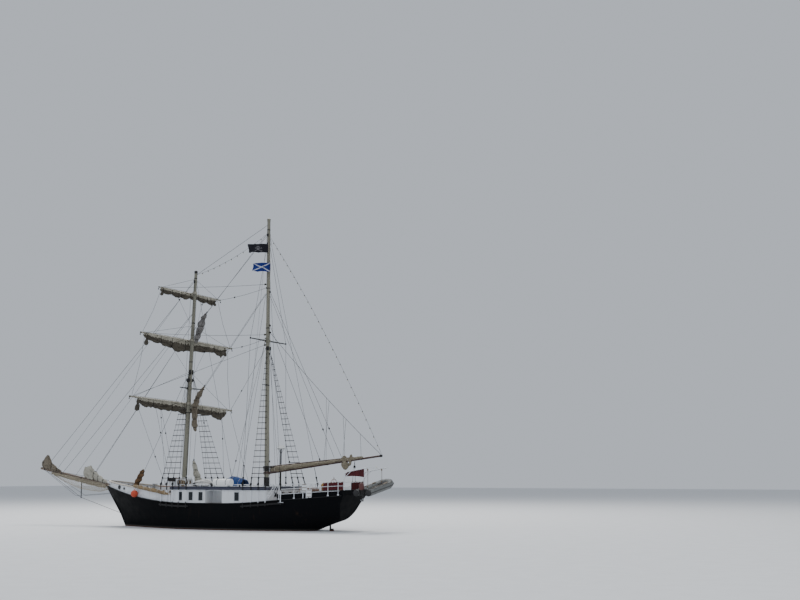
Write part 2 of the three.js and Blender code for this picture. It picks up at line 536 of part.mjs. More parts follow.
// Boom, gaff and the stowed mainsail, which swing together round the mainmast
const BOOM = { z: 4200, fore: -190, aft: -9850, rise: 0.125, r: 105 };
const GAFF = { z: 4640, fore: -260, aft: -7500, rise: 0.09, r: 80 };
const sparAt = (spar, x) => V(x, 0, spar.z + (spar.fore - x) * spar.rise);
const sparRod = (spar, grow) => rod(sparAt(spar, spar.fore), sparAt(spar, spar.aft), spar.r + grow,
  spar.r * 0.7 + grow, 12);
const mastBore = mastRod(MAINMAST, 3600, 5400, RUN + 6, 24);
const JAWS = { deep: 80, grow: 70, ledge: 45 };
const jaws = level(mastRod(MAINMAST, BOOM.z - 2 * JAWS.deep, BOOM.z + 2 * JAWS.deep, JAWS.grow, 16),
  BOOM.z - JAWS.deep, BOOM.z + JAWS.deep);
mesh('boom', join(sparRod(BOOM, 0), jaws).subtract(mastBore), 'timber');
mesh('gaff', sparRod(GAFF, 0), 'timber');
const jawLedge = level(mastRod(MAINMAST, BOOM.z - 3 * JAWS.deep, BOOM.z, JAWS.ledge, 16),
  BOOM.z - 2 * JAWS.deep, BOOM.z - JAWS.deep - GAP);
const spreaders = arms(MAINMAST, SPREADER.z, SPREADER.half, SPREADER.sweep, SPREADER.r);
mesh('mainmast', join(standing(MAINMAST), jawLedge, spreaders), 'cream');
// columns: place along the boom, half width, top above the boom's axis, bottom below it
const STOW = [[-330, 170, 560, 60], [-1400, 240, 540, 60], [-3200, 230, 500, 50], [-5200, 200, 430, 50],
  [-6900, 170, 330, 60], [-8300, 120, 200, 60]];
const stowed = loft(STOW.map(([x, half, top, bottom]) => {
  const axis = sparAt(BOOM, x);
  const ring = [];
  for (let k = 0; k < 10; k++) {
    const turn = (k + 0.5) / 10 * Math.PI * 2;
    ring.push(V(x, Math.cos(turn) * half, axis.z + (top - bottom) / 2 + Math.sin(turn) * (top + bottom) / 2));
  }
  return ring;
}));
mesh('stowed_mainsail', stowed.subtract(join(sparRod(BOOM, 0.6), sparRod({ ...GAFF, aft: GAFF.aft - 20 }, 0.6), mastBore)), 'canvas');

// Rudder, its stock, and the propeller in the opening ahead of it
const HEEL_TOP = KEEL_Z + 190;
const rudderOutline = [[STOCK.x, HEEL_TOP + RUN], [STOCK.x, 180], [STOCK.x - 240, 180],
  [STOCK.x - 610, -700], [STOCK.x - 790, -1700], [STOCK.x - 730, HEEL_TOP + RUN]];
mesh('rudder', join(sidePrism(rudderOutline, -55, 55), stockRod(0, HEEL_TOP + RUN, STOCK.top),
  stockRod(-15, HEEL_TOP + GAP, HEEL_TOP + 40)), 'black');
const blades = [];
for (let k = 0; k < 3; k++) {
  const g = new THREE.BoxGeometry(70, 260, 460);
  g.rotateZ(0.5);
  g.translate(0, 0, 55 + 230);
  g.rotateX(k * Math.PI * 2 / 3);
  g.translate(SHAFT.x, 0, SHAFT.z);
  blades.push(solid(g));
}
mesh('propeller', join(rod(V(SHAFT.x - 150, 0, SHAFT.z), V(-4350 - GAP, 0, SHAFT.z), 60, 95, 12), blades), 'bronze');


// Quarterdeck rails: stanchions outside the bulwark, three rails, and a white boarding step
const RAIL = { r: 19, post: 24, out: 34 };
const POSTS = [-2740, -3940, -5160, -6550, -7300];
const BOARD = { upper: [deckHalf(-4760) + 40, deckHalf(-4760) + 80], lower: [deckHalf(-5100) + 35, deckHalf(-5100) + 85] };
const railTop = (x) => lookUp([[-8200, 3640], [-6500, 3560], [-2700, 3330]], x);
for (const [side, s] of SIDES) {
  const at = (x, z) => V(x, s * (deckHalf(x) + RAIL.out), z);
  const posts = POSTS.map((x) => join(rod(at(x, deckZ(x) + 30), at(x, railTop(x)), RAIL.post, RAIL.post, 6),
    slab(x - 45, x + 45, ...inOrder(s * (deckHalf(x) - 60), s * (deckHalf(x) + RAIL.out + 35)),
      deckZ(x) + 30, deckZ(x) + 80)));
  const rails = [0, 340, 680].map((drop) => pipe(POSTS.map((x) => at(x, railTop(x) - drop)), RAIL.r, 6));
  // The sloping handrail at the deckhouse, and on the port side the white boarding step
  const y = s * 2250;
  const more = [pipe([V(-1860, y, 2000), V(-2480, y, 3250), V(-2600, y, 3320), V(-2600, y, 2000)], 20, 6),
    rod(V(-2600, y, 3310), at(-2740, 3310), 19, 19, 6)];
  if (s > 0) {
    more.push(slab(-4960, -4560, ...BOARD.upper, 2850, 3400), slab(-5330, -4930, ...BOARD.lower, 2450, 3020),
      slab(-5000, -4900, BOARD.lower[0], BOARD.upper[1], 2860, 3000));
    for (const x of [-4900, -4620, -5260, -5000]) more.push(slab(x - 25, x + 25, ...BOARD.lower, 2330, 2900));
  }
  const bulwarkCut = edgeWall(quarterSide.map(([x, y]) => [x, s * (y + 0.6)]), -s * 400, () => 1500,
    (x) => quarterTop(x) + GAP);
  mesh(`${side}_quarter_rail`, seat(fit(join(posts, rails, more))).subtract(bulwarkCut), 'white');
}

// Stern gantry: two posts on the bulwark, curving aft to carry the tender
const GANTRY = { x: -7560, y: 1480, r: 38, top: 4250, end: -9450, endZ: 4560 };
const gantryPath = (s) => [
  V(GANTRY.x, s * GANTRY.y, quarterTop(GANTRY.x) + GAP), V(GANTRY.x, s * GANTRY.y, GANTRY.top - 250),
  V(GANTRY.x - 60, s * GANTRY.y, GANTRY.top - 90), V(GANTRY.x - 220, s * GANTRY.y, GANTRY.top + 20),
  V(GANTRY.end, s * GANTRY.y, GANTRY.endZ)];
const BARS = [[GANTRY.x - 220, GANTRY.top + 20], [GANTRY.end + 60, GANTRY.endZ - 12]];
const crossbars = (grow) => BARS.map(([x, z]) =>
  rod(V(x, -GANTRY.y, z), V(x, GANTRY.y, z), GANTRY.r * 0.9 + grow));
// The tender hangs athwart with its bow to starboard, tilted by degrees about a point so that the bow is higher
const TENDER = { x: -9260, z: 3330, stern: 1900, half: 1300, bow: 650, rise: 120, beam: 725, tube: 225,
  floor: 70, depth: 230, inset: 150, pivot: -1500, tilt: -9.5 };
const tilted = (body) => body.translate([0, -TENDER.pivot, -TENDER.z]).rotate([TENDER.tilt, 0, 0])
  .translate([0, TENDER.pivot, TENDER.z]);
// Falls that the tender hangs on, one at each arm, cut where they stand on its floor
const belowFloor = tilted(slab(TENDER.x - 100, TENDER.x + 100, -3000, 3000, TENDER.z - 1500, TENDER.z - TENDER.floor + GAP));
const falls = SIDES.map(([, s]) => rod(V(TENDER.x, s * 1050, TENDER.z - 900), V(TENDER.x, s * 1050, GANTRY.endZ - 30), 9, 9, 6)
  .subtract(belowFloor));
const fallBars = SIDES.map(([, s]) => rod(V(TENDER.x, s * 1050 - s * 30, GANTRY.endZ - 40),
  V(TENDER.x, s * GANTRY.y, GANTRY.endZ - 30), 30));
mesh('stern_gantry', join(SIDES.map(([, s]) => pipe(gantryPath(s), GANTRY.r)), crossbars(0), fallBars, falls)
  .subtract(edgeWall(quarterPath, BULWARK.thick, () => 1500, (x) => quarterTop(x) + GAP)), 'white');

// The inflatable tender: a U of tube round a shallow floor
const tubePath = [];
for (let k = 0; k <= 8; k++) {
  const turn = k / 8 * Math.PI;
  tubePath.push(V(TENDER.x - Math.cos(turn) * (TENDER.beam - TENDER.tube),
    -TENDER.half - Math.sin(turn) * TENDER.bow, TENDER.z + Math.sin(turn) * TENDER.rise));
}
const tubeLine = [V(tubePath[0].x, TENDER.stern, TENDER.z), ...tubePath, V(tubePath[8].x, TENDER.stern, TENDER.z)];
const TRANSOM = TENDER.stern - 200;
const hold = [TENDER.x - TENDER.beam + TENDER.inset, TENDER.x + TENDER.beam - TENDER.inset];
const floor = slab(...hold, -TENDER.half - 100, TRANSOM, TENDER.z - TENDER.depth, TENDER.z - TENDER.floor);
const transom = slab(...hold, TRANSOM - 50, TRANSOM, TENDER.z - TENDER.depth, TENDER.z + TENDER.depth);
mesh('tender', tilted(join(pipe(tubeLine, TENDER.tube, 10), floor, transom)), 'rubber');

// Outboard motor on the tender's transom
mesh('outboard_motor', tilted(join(
  slab(TENDER.x - 130, TENDER.x + 130, TRANSOM + GAP, TRANSOM + 180, TENDER.z - 120, TENDER.z + 260),
  slab(TENDER.x - 165, TENDER.x + 165, TRANSOM + 30, TRANSOM + 390, TENDER.z + 240, TENDER.z + 740),
  slab(TENDER.x - 60, TENDER.x + 60, TRANSOM + 80, TRANSOM + 200, TENDER.z - 560, TENDER.z),
  rod(V(TENDER.x, TRANSOM + 140, TENDER.z - 480), V(TENDER.x, TRANSOM + 320, TENDER.z - 480), 110, 110, 10))), 'black');

// A cloth inside the gantry's port arm, and weather cloths inside the after rails
const DODGER = { aft: -9200, fore: -7640, low: 3900, thick: 12, elbow: GANTRY.x - 220 };
const armZ = (x) => lerp(GANTRY.top + 20, GANTRY.endZ, (DODGER.elbow - x) / (DODGER.elbow - GANTRY.end));
const dodgerY = GANTRY.y - GANTRY.r * Math.cos(Math.PI / 8) - GAP;
mesh('gantry_cloth', sidePrism([[DODGER.aft, DODGER.low], [DODGER.fore, DODGER.low], [DODGER.fore, GANTRY.top - 90],
  [DODGER.elbow, armZ(DODGER.elbow)], [DODGER.aft, armZ(DODGER.aft)]], dodgerY - DODGER.thick, dodgerY)
  .subtract(join(crossbars(GAP))), 'redCanvas');
const CLOTH = { aft: -7290, post: -6550, fore: -6150, thick: 12 };
const RAIL_LINE = POSTS.map((x) => [x, deckHalf(x) + RAIL.out]).reverse();
for (const [side, s] of SIDES) {
  const at = (x) => s * (lookUp(RAIL_LINE, x) - RAIL.post - GAP);
  const corner = (x, dy, z) => V(x, at(x) - s * dy, z);
  mesh(`${side}_weather_cloth`, loft([CLOTH.aft, CLOTH.post, CLOTH.fore].map((x) => [
    corner(x, 0, quarterTop(x) + 25), corner(x, CLOTH.thick, quarterTop(x) + 25),
    corner(x, CLOTH.thick, railTop(x) - 60), corner(x, 0, railTop(x) - 60)])), 'redCanvas');
}

// Helm: a pedestal box and the steering wheel on its fore-and-aft shaft
const HELM = { x: -5900, z: 3330, r: 420 };
const pedestal = join(slab(HELM.x - 560, HELM.x - 60, -260, 260, 2300, 3200),
  rod(V(HELM.x - 330, 0, HELM.z), V(HELM.x - 60, 0, HELM.z), 70, 70, 10), slab(HELM.x - 330, HELM.x - 120, -90, 90, 3100, HELM.z));
mesh('helm_box', seat(pedestal), 'timber');
const rim = new THREE.TorusGeometry(HELM.r, 24, 6, 20);
rim.rotateY(Math.PI / 2);
rim.translate(HELM.x + 40, 0, HELM.z);
const spokes = [];
for (let k = 0; k < 6; k++) {
  const turn = (k + 0.5) / 6 * Math.PI * 2;
  spokes.push(rod(V(HELM.x + 40, 0, HELM.z), V(HELM.x + 40, Math.cos(turn) * (HELM.r + 130),
    HELM.z + Math.sin(turn) * (HELM.r + 130)), 15, 15, 4));
}
mesh('steering_wheel', join(solid(rim), spokes, rod(V(HELM.x - 60 + GAP, 0, HELM.z), V(HELM.x + 90, 0, HELM.z), 65, 65, 12)), 'timber');

// After companion with a sliding lid
const COMP = { aft: -4300, fore: -3200, half: 480, top: 3050 };
mesh('after_companion', seat(slab(COMP.aft, COMP.fore, -COMP.half, COMP.half, 2200, COMP.top)
  .subtract(slab(COMP.aft + 200, COMP.fore - 60, -COMP.half + 60, COMP.half - 60, 2000, COMP.top + 100))), 'white');
mesh('companion_lid', slab(COMP.aft + 180, COMP.fore + 30, -COMP.half - 30, COMP.half + 30, COMP.top + GAP, COMP.top + 60),
  'timber');

// Windlass on the foredeck: a bed with two cheeks, and the drum shaft that turns in them
const WIND = { x: 11700, z: 2960, r: 130, shaft: 36, bore: 36.6, sides: 24 };
mesh('windlass_bed', seat(join(slab(WIND.x - 350, WIND.x + 350, -420, 420, 2000, 2680),
  SIDES.map(([, s]) => slab(WIND.x - 110, WIND.x + 110, ...inOrder(s * 340, s * 400), 2600, 3110))))
  .subtract(rod(V(WIND.x, -700, WIND.z), V(WIND.x, 700, WIND.z), WIND.bore, WIND.bore, WIND.sides)), 'black');
mesh('windlass_drum', join(rod(V(WIND.x, -640, WIND.z), V(WIND.x, 640, WIND.z), WIND.shaft, WIND.shaft, WIND.sides),
  rod(V(WIND.x, -330, WIND.z), V(WIND.x, 330, WIND.z), WIND.r, WIND.r, 12),
  SIDES.map(([, s]) => rod(V(WIND.x, s * 410, WIND.z), V(WIND.x, s * 640, WIND.z), 95, 95, 12))), 'steel');

// Anchor stowed outside the starboard rail, hooked over the cap by its bracket
const ANCHOR = { x: 12050, out: 170, crown: 12650, ring: 11450 };
const outboard = (x, z) => V(x, -deckHalf(x) - ANCHOR.out, z);
const aboveCap = edgeWall(roundBow(60 + 1), BULWARK.cap + 2, () => 1500, (x) => capZ(x) + GAP);
mesh('starboard_anchor', join(rod(outboard(ANCHOR.crown, 2740), outboard(ANCHOR.ring, 3180), 50, 50, 8),
  rod(outboard(ANCHOR.crown - 130, 2480), outboard(ANCHOR.crown + 240, 2990), 55, 55, 8),
  rod(outboard(ANCHOR.ring + 60, 2900), outboard(ANCHOR.ring + 160, 3360), 36, 36, 8),
  slab(ANCHOR.x - 90, ANCHOR.x + 90, -deckHalf(ANCHOR.x) - ANCHOR.out - 20, -deckHalf(ANCHOR.x) + 240, 2900,
    capZ(ANCHOR.x) + 90).subtract(aboveCap)), 'steel');
// On the deckhouse roof: a liferaft in its cradle, two covered heaps and the radar post
const ROOF = ROOF_TOP + GAP;
const RAFT = { aft: 1400, fore: 2900, y: 2600, z: ROOF + 300, r: 290 };
mesh('port_liferaft', rod(V(RAFT.aft, RAFT.y, RAFT.z), V(RAFT.fore, RAFT.y, RAFT.z), RAFT.r, RAFT.r, 14)
  .add(slab(RAFT.aft + 200, RAFT.fore - 200, RAFT.y - 250, RAFT.y + 250, ROOF, ROOF + 200)), 'white');
mesh('roof_locker', join(slab(2050, 3600, -500, 700, ROOF, 3850), slab(3500, 4300, -400, 500, ROOF, 3420)), 'blue');
mesh('roof_bundle', slab(4400, 6050, 450, 1500, ROOF, 3740), 'whiteCanvas');
const RADAR = { x: -150, y: -1650, post: 55, low: 5990, top: 6270, r: 300, rTop: 240 };
mesh('radar_mast', join(rod(V(RADAR.x, RADAR.y, ROOF), V(RADAR.x, RADAR.y, RADAR.low + 10), RADAR.post, RADAR.post, 10),
  rod(V(RADAR.x, RADAR.y, RADAR.low), V(RADAR.x, RADAR.y, RADAR.top), RADAR.r, RADAR.rTop, 14)), 'white');

// Furled jibs on the bowsprit
// columns of a jib: places along the bowsprit, half width, top and bottom above the spar's axis
const JIBS = {
  outer_jib: [[22650, 120, 620, 20], [21950, 180, 1220, 20], [21450, 160, 560, 0], [20500, 70, 220, 60]],
  inner_jib: [[18100, 90, 700, 60], [17480, 180, 1150, 60], [16750, 190, 740, 40], [15900, 160, 380, 0],
    [15650, 80, 260, 60]],
};
const stayRods = [...STAYS.map(([, a, b]) => [a, b]), STEM_STAY].map(([a, b]) => rod(a, b, WIRE + 0.6, WIRE + 0.6, 6));
for (const [name, rows] of Object.entries(JIBS)) {
  const body = loft(rows.map(([x, half, top, bottom]) => {
    const axis = bowspritAt(x);
    const ring = [];
    for (let k = 0; k < 10; k++) {
      const turn = (k + 0.5) / 10 * Math.PI * 2;
      ring.push(V(x, Math.cos(turn) * half, axis.z + (top + bottom) / 2 + Math.sin(turn) * (top - bottom) / 2));
    }
    return ring;
  }));
  mesh(name, body.subtract(join(stayRods)).subtract(bowspritRod(0.6)), 'whiteCanvas');
}

// Lowered staysails: one at the foot of the stem stay, two on their stays abaft the foremast, one on the roof
// columns: place along the ship, height, radius
const STAYSAILS = {
  fore_staysail: [[12700, 2950, 90], [12550, 3200, 200], [12330, 3600, 240], [12110, 4000, 220], [11950, 4300, 170],
    [11840, 4500, 60]],
  upper_staysail: [[5950, 16800, 80], [6180, 16350, 190], [6450, 15600, 260], [6700, 15000, 210], [6900, 14450, 130]],
  lower_staysail: [[6020, 10960, 80], [6400, 10450, 200], [6740, 9900, 230], [6900, 9300, 220], [6930, 8600, 210],
    [6880, 7900, 200], [6780, 7400, 90]],
  deck_staysail: [[6880, 5150, 90], [6800, 4800, 170], [6650, 4300, 220], [6450, 3900, 280], [6330, 3500, 330],
    [6300, 3100, 340]],
};
for (const [name, rows] of Object.entries(STAYSAILS)) {
  const body = loft(rows.map(([x, z, r]) => {
    const ring = [];
    for (let k = 0; k < 10; k++) {
      const turn = k / 10 * Math.PI * 2;
      ring.push(V(x + Math.cos(turn) * r, Math.sin(turn) * r, z));
    }
    return ring;
  }));
  const low = name === 'deck_staysail' ? ROOF : 0;
  const cloth = name === 'fore_staysail' ? 'canvas' : 'whiteCanvas';
  mesh(name, level(body, low, 20000).subtract(join(stayRods)).subtract(allMasts(0.6)), cloth);
}

export default ship;
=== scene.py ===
"""Looks of a two-masted sailing ship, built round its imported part.

Metres. +X forward, +Y port, +Z up. The water's surface is at z = 0.
"""

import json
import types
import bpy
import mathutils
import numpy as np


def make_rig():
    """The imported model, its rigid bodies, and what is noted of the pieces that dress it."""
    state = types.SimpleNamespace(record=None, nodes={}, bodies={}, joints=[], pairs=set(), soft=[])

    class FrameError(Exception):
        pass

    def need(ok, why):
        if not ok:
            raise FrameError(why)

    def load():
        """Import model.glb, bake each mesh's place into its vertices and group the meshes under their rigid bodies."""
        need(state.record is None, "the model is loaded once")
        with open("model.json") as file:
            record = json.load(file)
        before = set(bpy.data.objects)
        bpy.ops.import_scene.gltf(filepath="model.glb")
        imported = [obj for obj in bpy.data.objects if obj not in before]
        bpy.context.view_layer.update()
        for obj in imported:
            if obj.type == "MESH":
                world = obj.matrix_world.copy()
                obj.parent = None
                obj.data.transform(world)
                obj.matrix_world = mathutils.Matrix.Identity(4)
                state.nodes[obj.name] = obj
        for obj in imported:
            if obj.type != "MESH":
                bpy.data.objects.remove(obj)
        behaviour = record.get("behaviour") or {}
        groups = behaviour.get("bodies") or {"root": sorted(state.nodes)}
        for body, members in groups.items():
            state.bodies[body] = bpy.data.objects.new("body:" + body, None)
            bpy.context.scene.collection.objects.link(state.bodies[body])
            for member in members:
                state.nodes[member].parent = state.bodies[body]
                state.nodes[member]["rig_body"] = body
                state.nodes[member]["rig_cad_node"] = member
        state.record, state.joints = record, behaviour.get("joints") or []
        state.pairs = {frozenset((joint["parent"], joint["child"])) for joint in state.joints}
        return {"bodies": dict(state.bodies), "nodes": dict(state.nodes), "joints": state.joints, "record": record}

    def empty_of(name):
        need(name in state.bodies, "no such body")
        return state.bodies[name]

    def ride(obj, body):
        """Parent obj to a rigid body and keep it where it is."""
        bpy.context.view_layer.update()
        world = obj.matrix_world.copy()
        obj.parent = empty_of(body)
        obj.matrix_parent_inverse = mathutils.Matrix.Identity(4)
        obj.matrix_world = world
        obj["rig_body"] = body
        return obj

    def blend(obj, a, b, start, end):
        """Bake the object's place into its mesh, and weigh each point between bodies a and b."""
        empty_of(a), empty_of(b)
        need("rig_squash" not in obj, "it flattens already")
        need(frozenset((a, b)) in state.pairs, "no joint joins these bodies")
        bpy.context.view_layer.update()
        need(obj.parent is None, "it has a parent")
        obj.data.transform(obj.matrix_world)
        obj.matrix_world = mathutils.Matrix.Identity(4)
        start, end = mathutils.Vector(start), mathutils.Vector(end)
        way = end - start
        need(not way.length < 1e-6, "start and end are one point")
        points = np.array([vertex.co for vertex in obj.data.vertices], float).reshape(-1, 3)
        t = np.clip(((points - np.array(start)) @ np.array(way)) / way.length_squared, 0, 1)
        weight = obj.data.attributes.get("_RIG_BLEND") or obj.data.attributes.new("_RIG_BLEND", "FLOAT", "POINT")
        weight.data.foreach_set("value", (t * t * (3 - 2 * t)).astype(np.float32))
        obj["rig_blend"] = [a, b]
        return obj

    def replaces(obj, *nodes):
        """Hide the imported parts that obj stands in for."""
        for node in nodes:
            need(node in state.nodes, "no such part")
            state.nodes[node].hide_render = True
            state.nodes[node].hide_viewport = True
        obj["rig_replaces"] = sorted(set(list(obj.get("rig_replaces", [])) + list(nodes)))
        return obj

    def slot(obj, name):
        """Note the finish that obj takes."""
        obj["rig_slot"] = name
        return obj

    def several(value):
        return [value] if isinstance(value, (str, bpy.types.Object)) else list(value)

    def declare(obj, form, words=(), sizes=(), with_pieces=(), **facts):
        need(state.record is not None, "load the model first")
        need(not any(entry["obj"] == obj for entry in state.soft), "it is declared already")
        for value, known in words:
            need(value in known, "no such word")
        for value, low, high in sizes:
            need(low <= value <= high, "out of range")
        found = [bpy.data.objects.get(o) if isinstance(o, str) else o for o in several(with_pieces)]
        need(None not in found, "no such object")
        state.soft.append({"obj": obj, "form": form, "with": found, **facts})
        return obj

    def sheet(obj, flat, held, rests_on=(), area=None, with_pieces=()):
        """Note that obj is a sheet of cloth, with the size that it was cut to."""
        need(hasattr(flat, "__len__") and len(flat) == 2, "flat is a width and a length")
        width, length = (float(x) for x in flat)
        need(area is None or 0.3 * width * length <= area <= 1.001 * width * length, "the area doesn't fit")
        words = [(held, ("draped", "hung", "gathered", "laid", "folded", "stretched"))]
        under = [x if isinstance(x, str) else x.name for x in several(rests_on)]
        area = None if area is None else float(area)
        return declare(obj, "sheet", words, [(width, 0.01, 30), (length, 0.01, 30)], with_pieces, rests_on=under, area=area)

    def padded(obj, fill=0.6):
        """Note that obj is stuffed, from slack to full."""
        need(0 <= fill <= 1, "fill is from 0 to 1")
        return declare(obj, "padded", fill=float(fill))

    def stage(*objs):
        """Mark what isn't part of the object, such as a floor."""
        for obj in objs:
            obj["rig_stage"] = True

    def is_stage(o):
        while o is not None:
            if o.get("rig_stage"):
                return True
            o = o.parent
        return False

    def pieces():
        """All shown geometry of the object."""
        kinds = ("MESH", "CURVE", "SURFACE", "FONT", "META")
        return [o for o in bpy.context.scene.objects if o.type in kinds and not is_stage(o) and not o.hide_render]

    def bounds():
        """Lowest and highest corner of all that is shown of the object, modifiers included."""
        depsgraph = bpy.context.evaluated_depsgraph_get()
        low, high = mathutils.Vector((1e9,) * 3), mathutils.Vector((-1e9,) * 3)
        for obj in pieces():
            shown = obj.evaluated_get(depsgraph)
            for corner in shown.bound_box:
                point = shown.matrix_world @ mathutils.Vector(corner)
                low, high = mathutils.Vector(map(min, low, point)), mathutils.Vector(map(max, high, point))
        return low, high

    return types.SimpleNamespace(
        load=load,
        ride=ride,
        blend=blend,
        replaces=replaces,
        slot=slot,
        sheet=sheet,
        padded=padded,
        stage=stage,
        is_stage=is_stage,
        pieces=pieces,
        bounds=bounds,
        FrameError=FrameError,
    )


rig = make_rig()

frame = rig.load()

import json
import logging
from collections.abc import Callable, Iterable, Sequence
from dataclasses import dataclass, field
from enum import Enum
from math import copysign, cos, exp, hypot, pi, radians, sin, sqrt, tau

import bmesh
import bpy
from mathutils import Vector, noise

Colour = tuple[float, float, float]
Point = Sequence[float]
Section = tuple[Vector, float, float]
SIDES = (("port", 1), ("starboard", -1))
AHEAD = Vector((1, 0, 0))
ACROSS = Vector((0, 1, 0))
UP = Vector((0, 0, 1))
DOWN = Vector((0, 0, -1))
CAD_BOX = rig.bounds()
log = logging.getLogger("ship")


def between(rows: Sequence[Point], key: float, column: int = 1) -> float:
    """Interpolates a table by its first column.

    Args:
        rows: the table, with its first column rising.
        key: where to read it.
        column: which column to read.

    Returns:
        The value, held at the table's ends.
    """
    if key <= rows[0][0]:
        return rows[0][column]
    for low, high in zip(rows, rows[1:]):
        if key <= high[0]:
            share = (key - low[0]) / (high[0] - low[0])
            return low[column] + (high[column] - low[column]) * share
    return rows[-1][column]


def up(z: float) -> Vector:
    """Returns an upright vector of that height."""
    return Vector((0, 0, z))


def shade(colour: Colour, share: float) -> Colour:
    """Returns a colour made darker or lighter."""
    return tuple(c * share for c in colour)


def turns(count: int, phase: float = 0.0) -> list[float]:
    """Returns count even angles round a circle, moved on by a share of a step."""
    return [tau * (k + phase) / count for k in range(count)]


def spread(low: float, high: float, count: int) -> list[float]:
    """Returns count even steps from low to high, ends included."""
    return [low + (high - low) * i / (count - 1) for i in range(count)]


def square(half: float, low: float, high: float) -> tuple[Point, ...]:
    """Returns a window's corners in order, as distances from its middle and heights."""
    return (-half, low), (half, low), (half, high), (-half, high)


def level_ring(aft: float, fore: float, half: float, z: float) -> list[Vector]:
    """Returns the corners of a level box round the middle line, the first one again at the end."""
    corners = ((aft, half), (fore, half), (fore, -half), (aft, -half), (aft, half))
    return [Vector((x, y, z)) for x, y in corners]


def sag_line(start: Vector, end: Vector, sag: float, count: int = 9) -> list[Vector]:
    """A line between two points that hangs by sag at its middle.

    Args:
        start: where it begins.
        end: where it ends.
        sag: how far the middle hangs below the straight line.
        count: how many points.

    Returns:
        The points.
    """
    return [start.lerp(end, t) - up(4 * sag * t * (1 - t)) for t in spread(0, 1, count)]


class Grain(Enum):
    """Which way fibres, planks or stains run, as a stretch of the pattern."""

    EVEN = (1.0, 1.0, 1.0)
    FORE_AND_AFT = (0.08, 1.0, 1.0)
    ATHWART = (1.0, 0.08, 1.0)
    UPRIGHT = (1.0, 1.0, 0.08)


class Graph:
    """A material's nodes, with short calls for the ones that the finishes use."""

    def __init__(self, name: str) -> None:
        """Starts a material.

        Args:
            name: its name.
        """
        material = bpy.data.materials.new(name)
        material.use_nodes = True
        self.tree = material.node_tree
        self.shader = self.tree.nodes["Principled BSDF"]
        self.place = self.tree.nodes.new("ShaderNodeTexCoord").outputs["Object"]

    def node(self, kind: str, feeds: dict[int | str, object], **settings: object) -> bpy.types.Node:
        """Adds a node.

        Args:
            kind: Blender's name for the node.
            feeds: socket to value or to another node's output.
            settings: the node's own settings.

        Returns:
            The node.
        """
        made = self.tree.nodes.new(kind)
        for key, value in settings.items():
            setattr(made, key, value)
        for key, value in feeds.items():
            self.feed(made.inputs[key], value)
        return made

    def feed(self, socket: bpy.types.NodeSocket, value: object) -> None:
        """Links or sets one socket.

        Args:
            socket: the socket.
            value: an output, a colour or a number.
        """
        if isinstance(value, bpy.types.NodeSocket):
            self.tree.links.new(value, socket)
        elif socket.type == "RGBA":
            socket.default_value = (*value, 1.0)
        else:
            socket.default_value = value

    def noise(self, scale: float, detail: float = 4.0, grain: Grain = Grain.EVEN) -> bpy.types.NodeSocket:
        """Returns a noise pattern, from 0 to 1, in metres of the ship.

        Args:
            scale: how fine it is.
            detail: how many finer layers it has.
            grain: which way it is stretched.

        Returns:
            The pattern.
        """
        mapped = self.node("ShaderNodeMapping", {"Vector": self.place, "Scale": grain.value})
        return self.node(
            "ShaderNodeTexNoise", {"Vector": mapped.outputs[0], "Scale": scale, "Detail": detail}
        ).outputs[0]

    def level(self, value: bpy.types.NodeSocket, low: float, high: float) -> bpy.types.NodeSocket:
        """Returns 0 where value is below low, 1 above high, and even between."""
        return self.node("ShaderNodeMapRange", {0: value, 1: low, 2: high}).outputs[0]

    def height(self, axis: str = "Z") -> bpy.types.NodeSocket:
        """Returns one coordinate of the ship."""
        return self.node("ShaderNodeSeparateXYZ", {0: self.place}).outputs[axis]

    def sum(self, operation: str, a: object, b: object) -> bpy.types.NodeSocket:
        """Returns a sum of two values, by the operation's name."""
        return self.node("ShaderNodeMath", {0: a, 1: b}, operation=operation).outputs[0]

    def times(self, a: object, b: object) -> bpy.types.NodeSocket:
        """Returns the product of two values."""
        return self.sum("MULTIPLY", a, b)

    def patches(
        self, scale: float, detail: float, low: float, high: float, grain: Grain = Grain.EVEN
    ) -> bpy.types.NodeSocket:
        """Returns noise that is 0 below low and 1 above high.

        Args:
            scale: how fine the noise is.
            detail: how many finer layers it has.
            low: where it starts to rise.
            high: where it is full.
            grain: which way it is stretched.

        Returns:
            The pattern.
        """
        return self.level(self.noise(scale, detail, grain), low, high)

    def mix(self, share: object, a: object, b: object) -> bpy.types.NodeSocket:
        """Returns colour a, with share of colour b.

        Args:
            share: a number or a pattern.
            a: the first colour.
            b: the second.

        Returns:
            The mixed colour.
        """
        made = self.node("ShaderNodeMix", {}, data_type="RGBA")
        self.feed(made.inputs[0], share)
        self.feed(made.inputs[6], a)
        self.feed(made.inputs[7], b)
        return made.outputs[2]

    def bump(self, height: bpy.types.NodeSocket, depth: float, strength: float = 0.6) -> None:
        """Gives the surface a relief of that depth in metres."""
        made = self.node("ShaderNodeBump", {"Height": height, "Distance": depth, "Strength": strength})
        self.feed(self.shader.inputs["Normal"], made.outputs[0])

    def dress(self, colour: object, roughness: object, **fixed: float) -> None:
        """Sets the shader's colour and roughness.

        Args:
            colour: a colour or an output.
            roughness: a number or an output.
            fixed: other sockets by name, with _ for a space.
        """
        self.feed(self.shader.inputs["Base Color"], colour)
        self.feed(self.shader.inputs["Roughness"], roughness)
        for name, value in fixed.items():
            self.shader.inputs[name.replace("_", " ")].default_value = value


@dataclass(frozen=True)
class Finish:
    """A named surface. Each kind paints itself on a Graph."""

    name: str

    def paint(self, graph: Graph) -> None:
        """Paints the graph, which a plain finish leaves as it is."""

    def material(self) -> bpy.types.Material:
        """Returns this finish's material, made once.

        Returns:
            The material.
        """
        if self.name not in bpy.data.materials:
            self.paint(Graph(self.name))
        return bpy.data.materials[self.name]


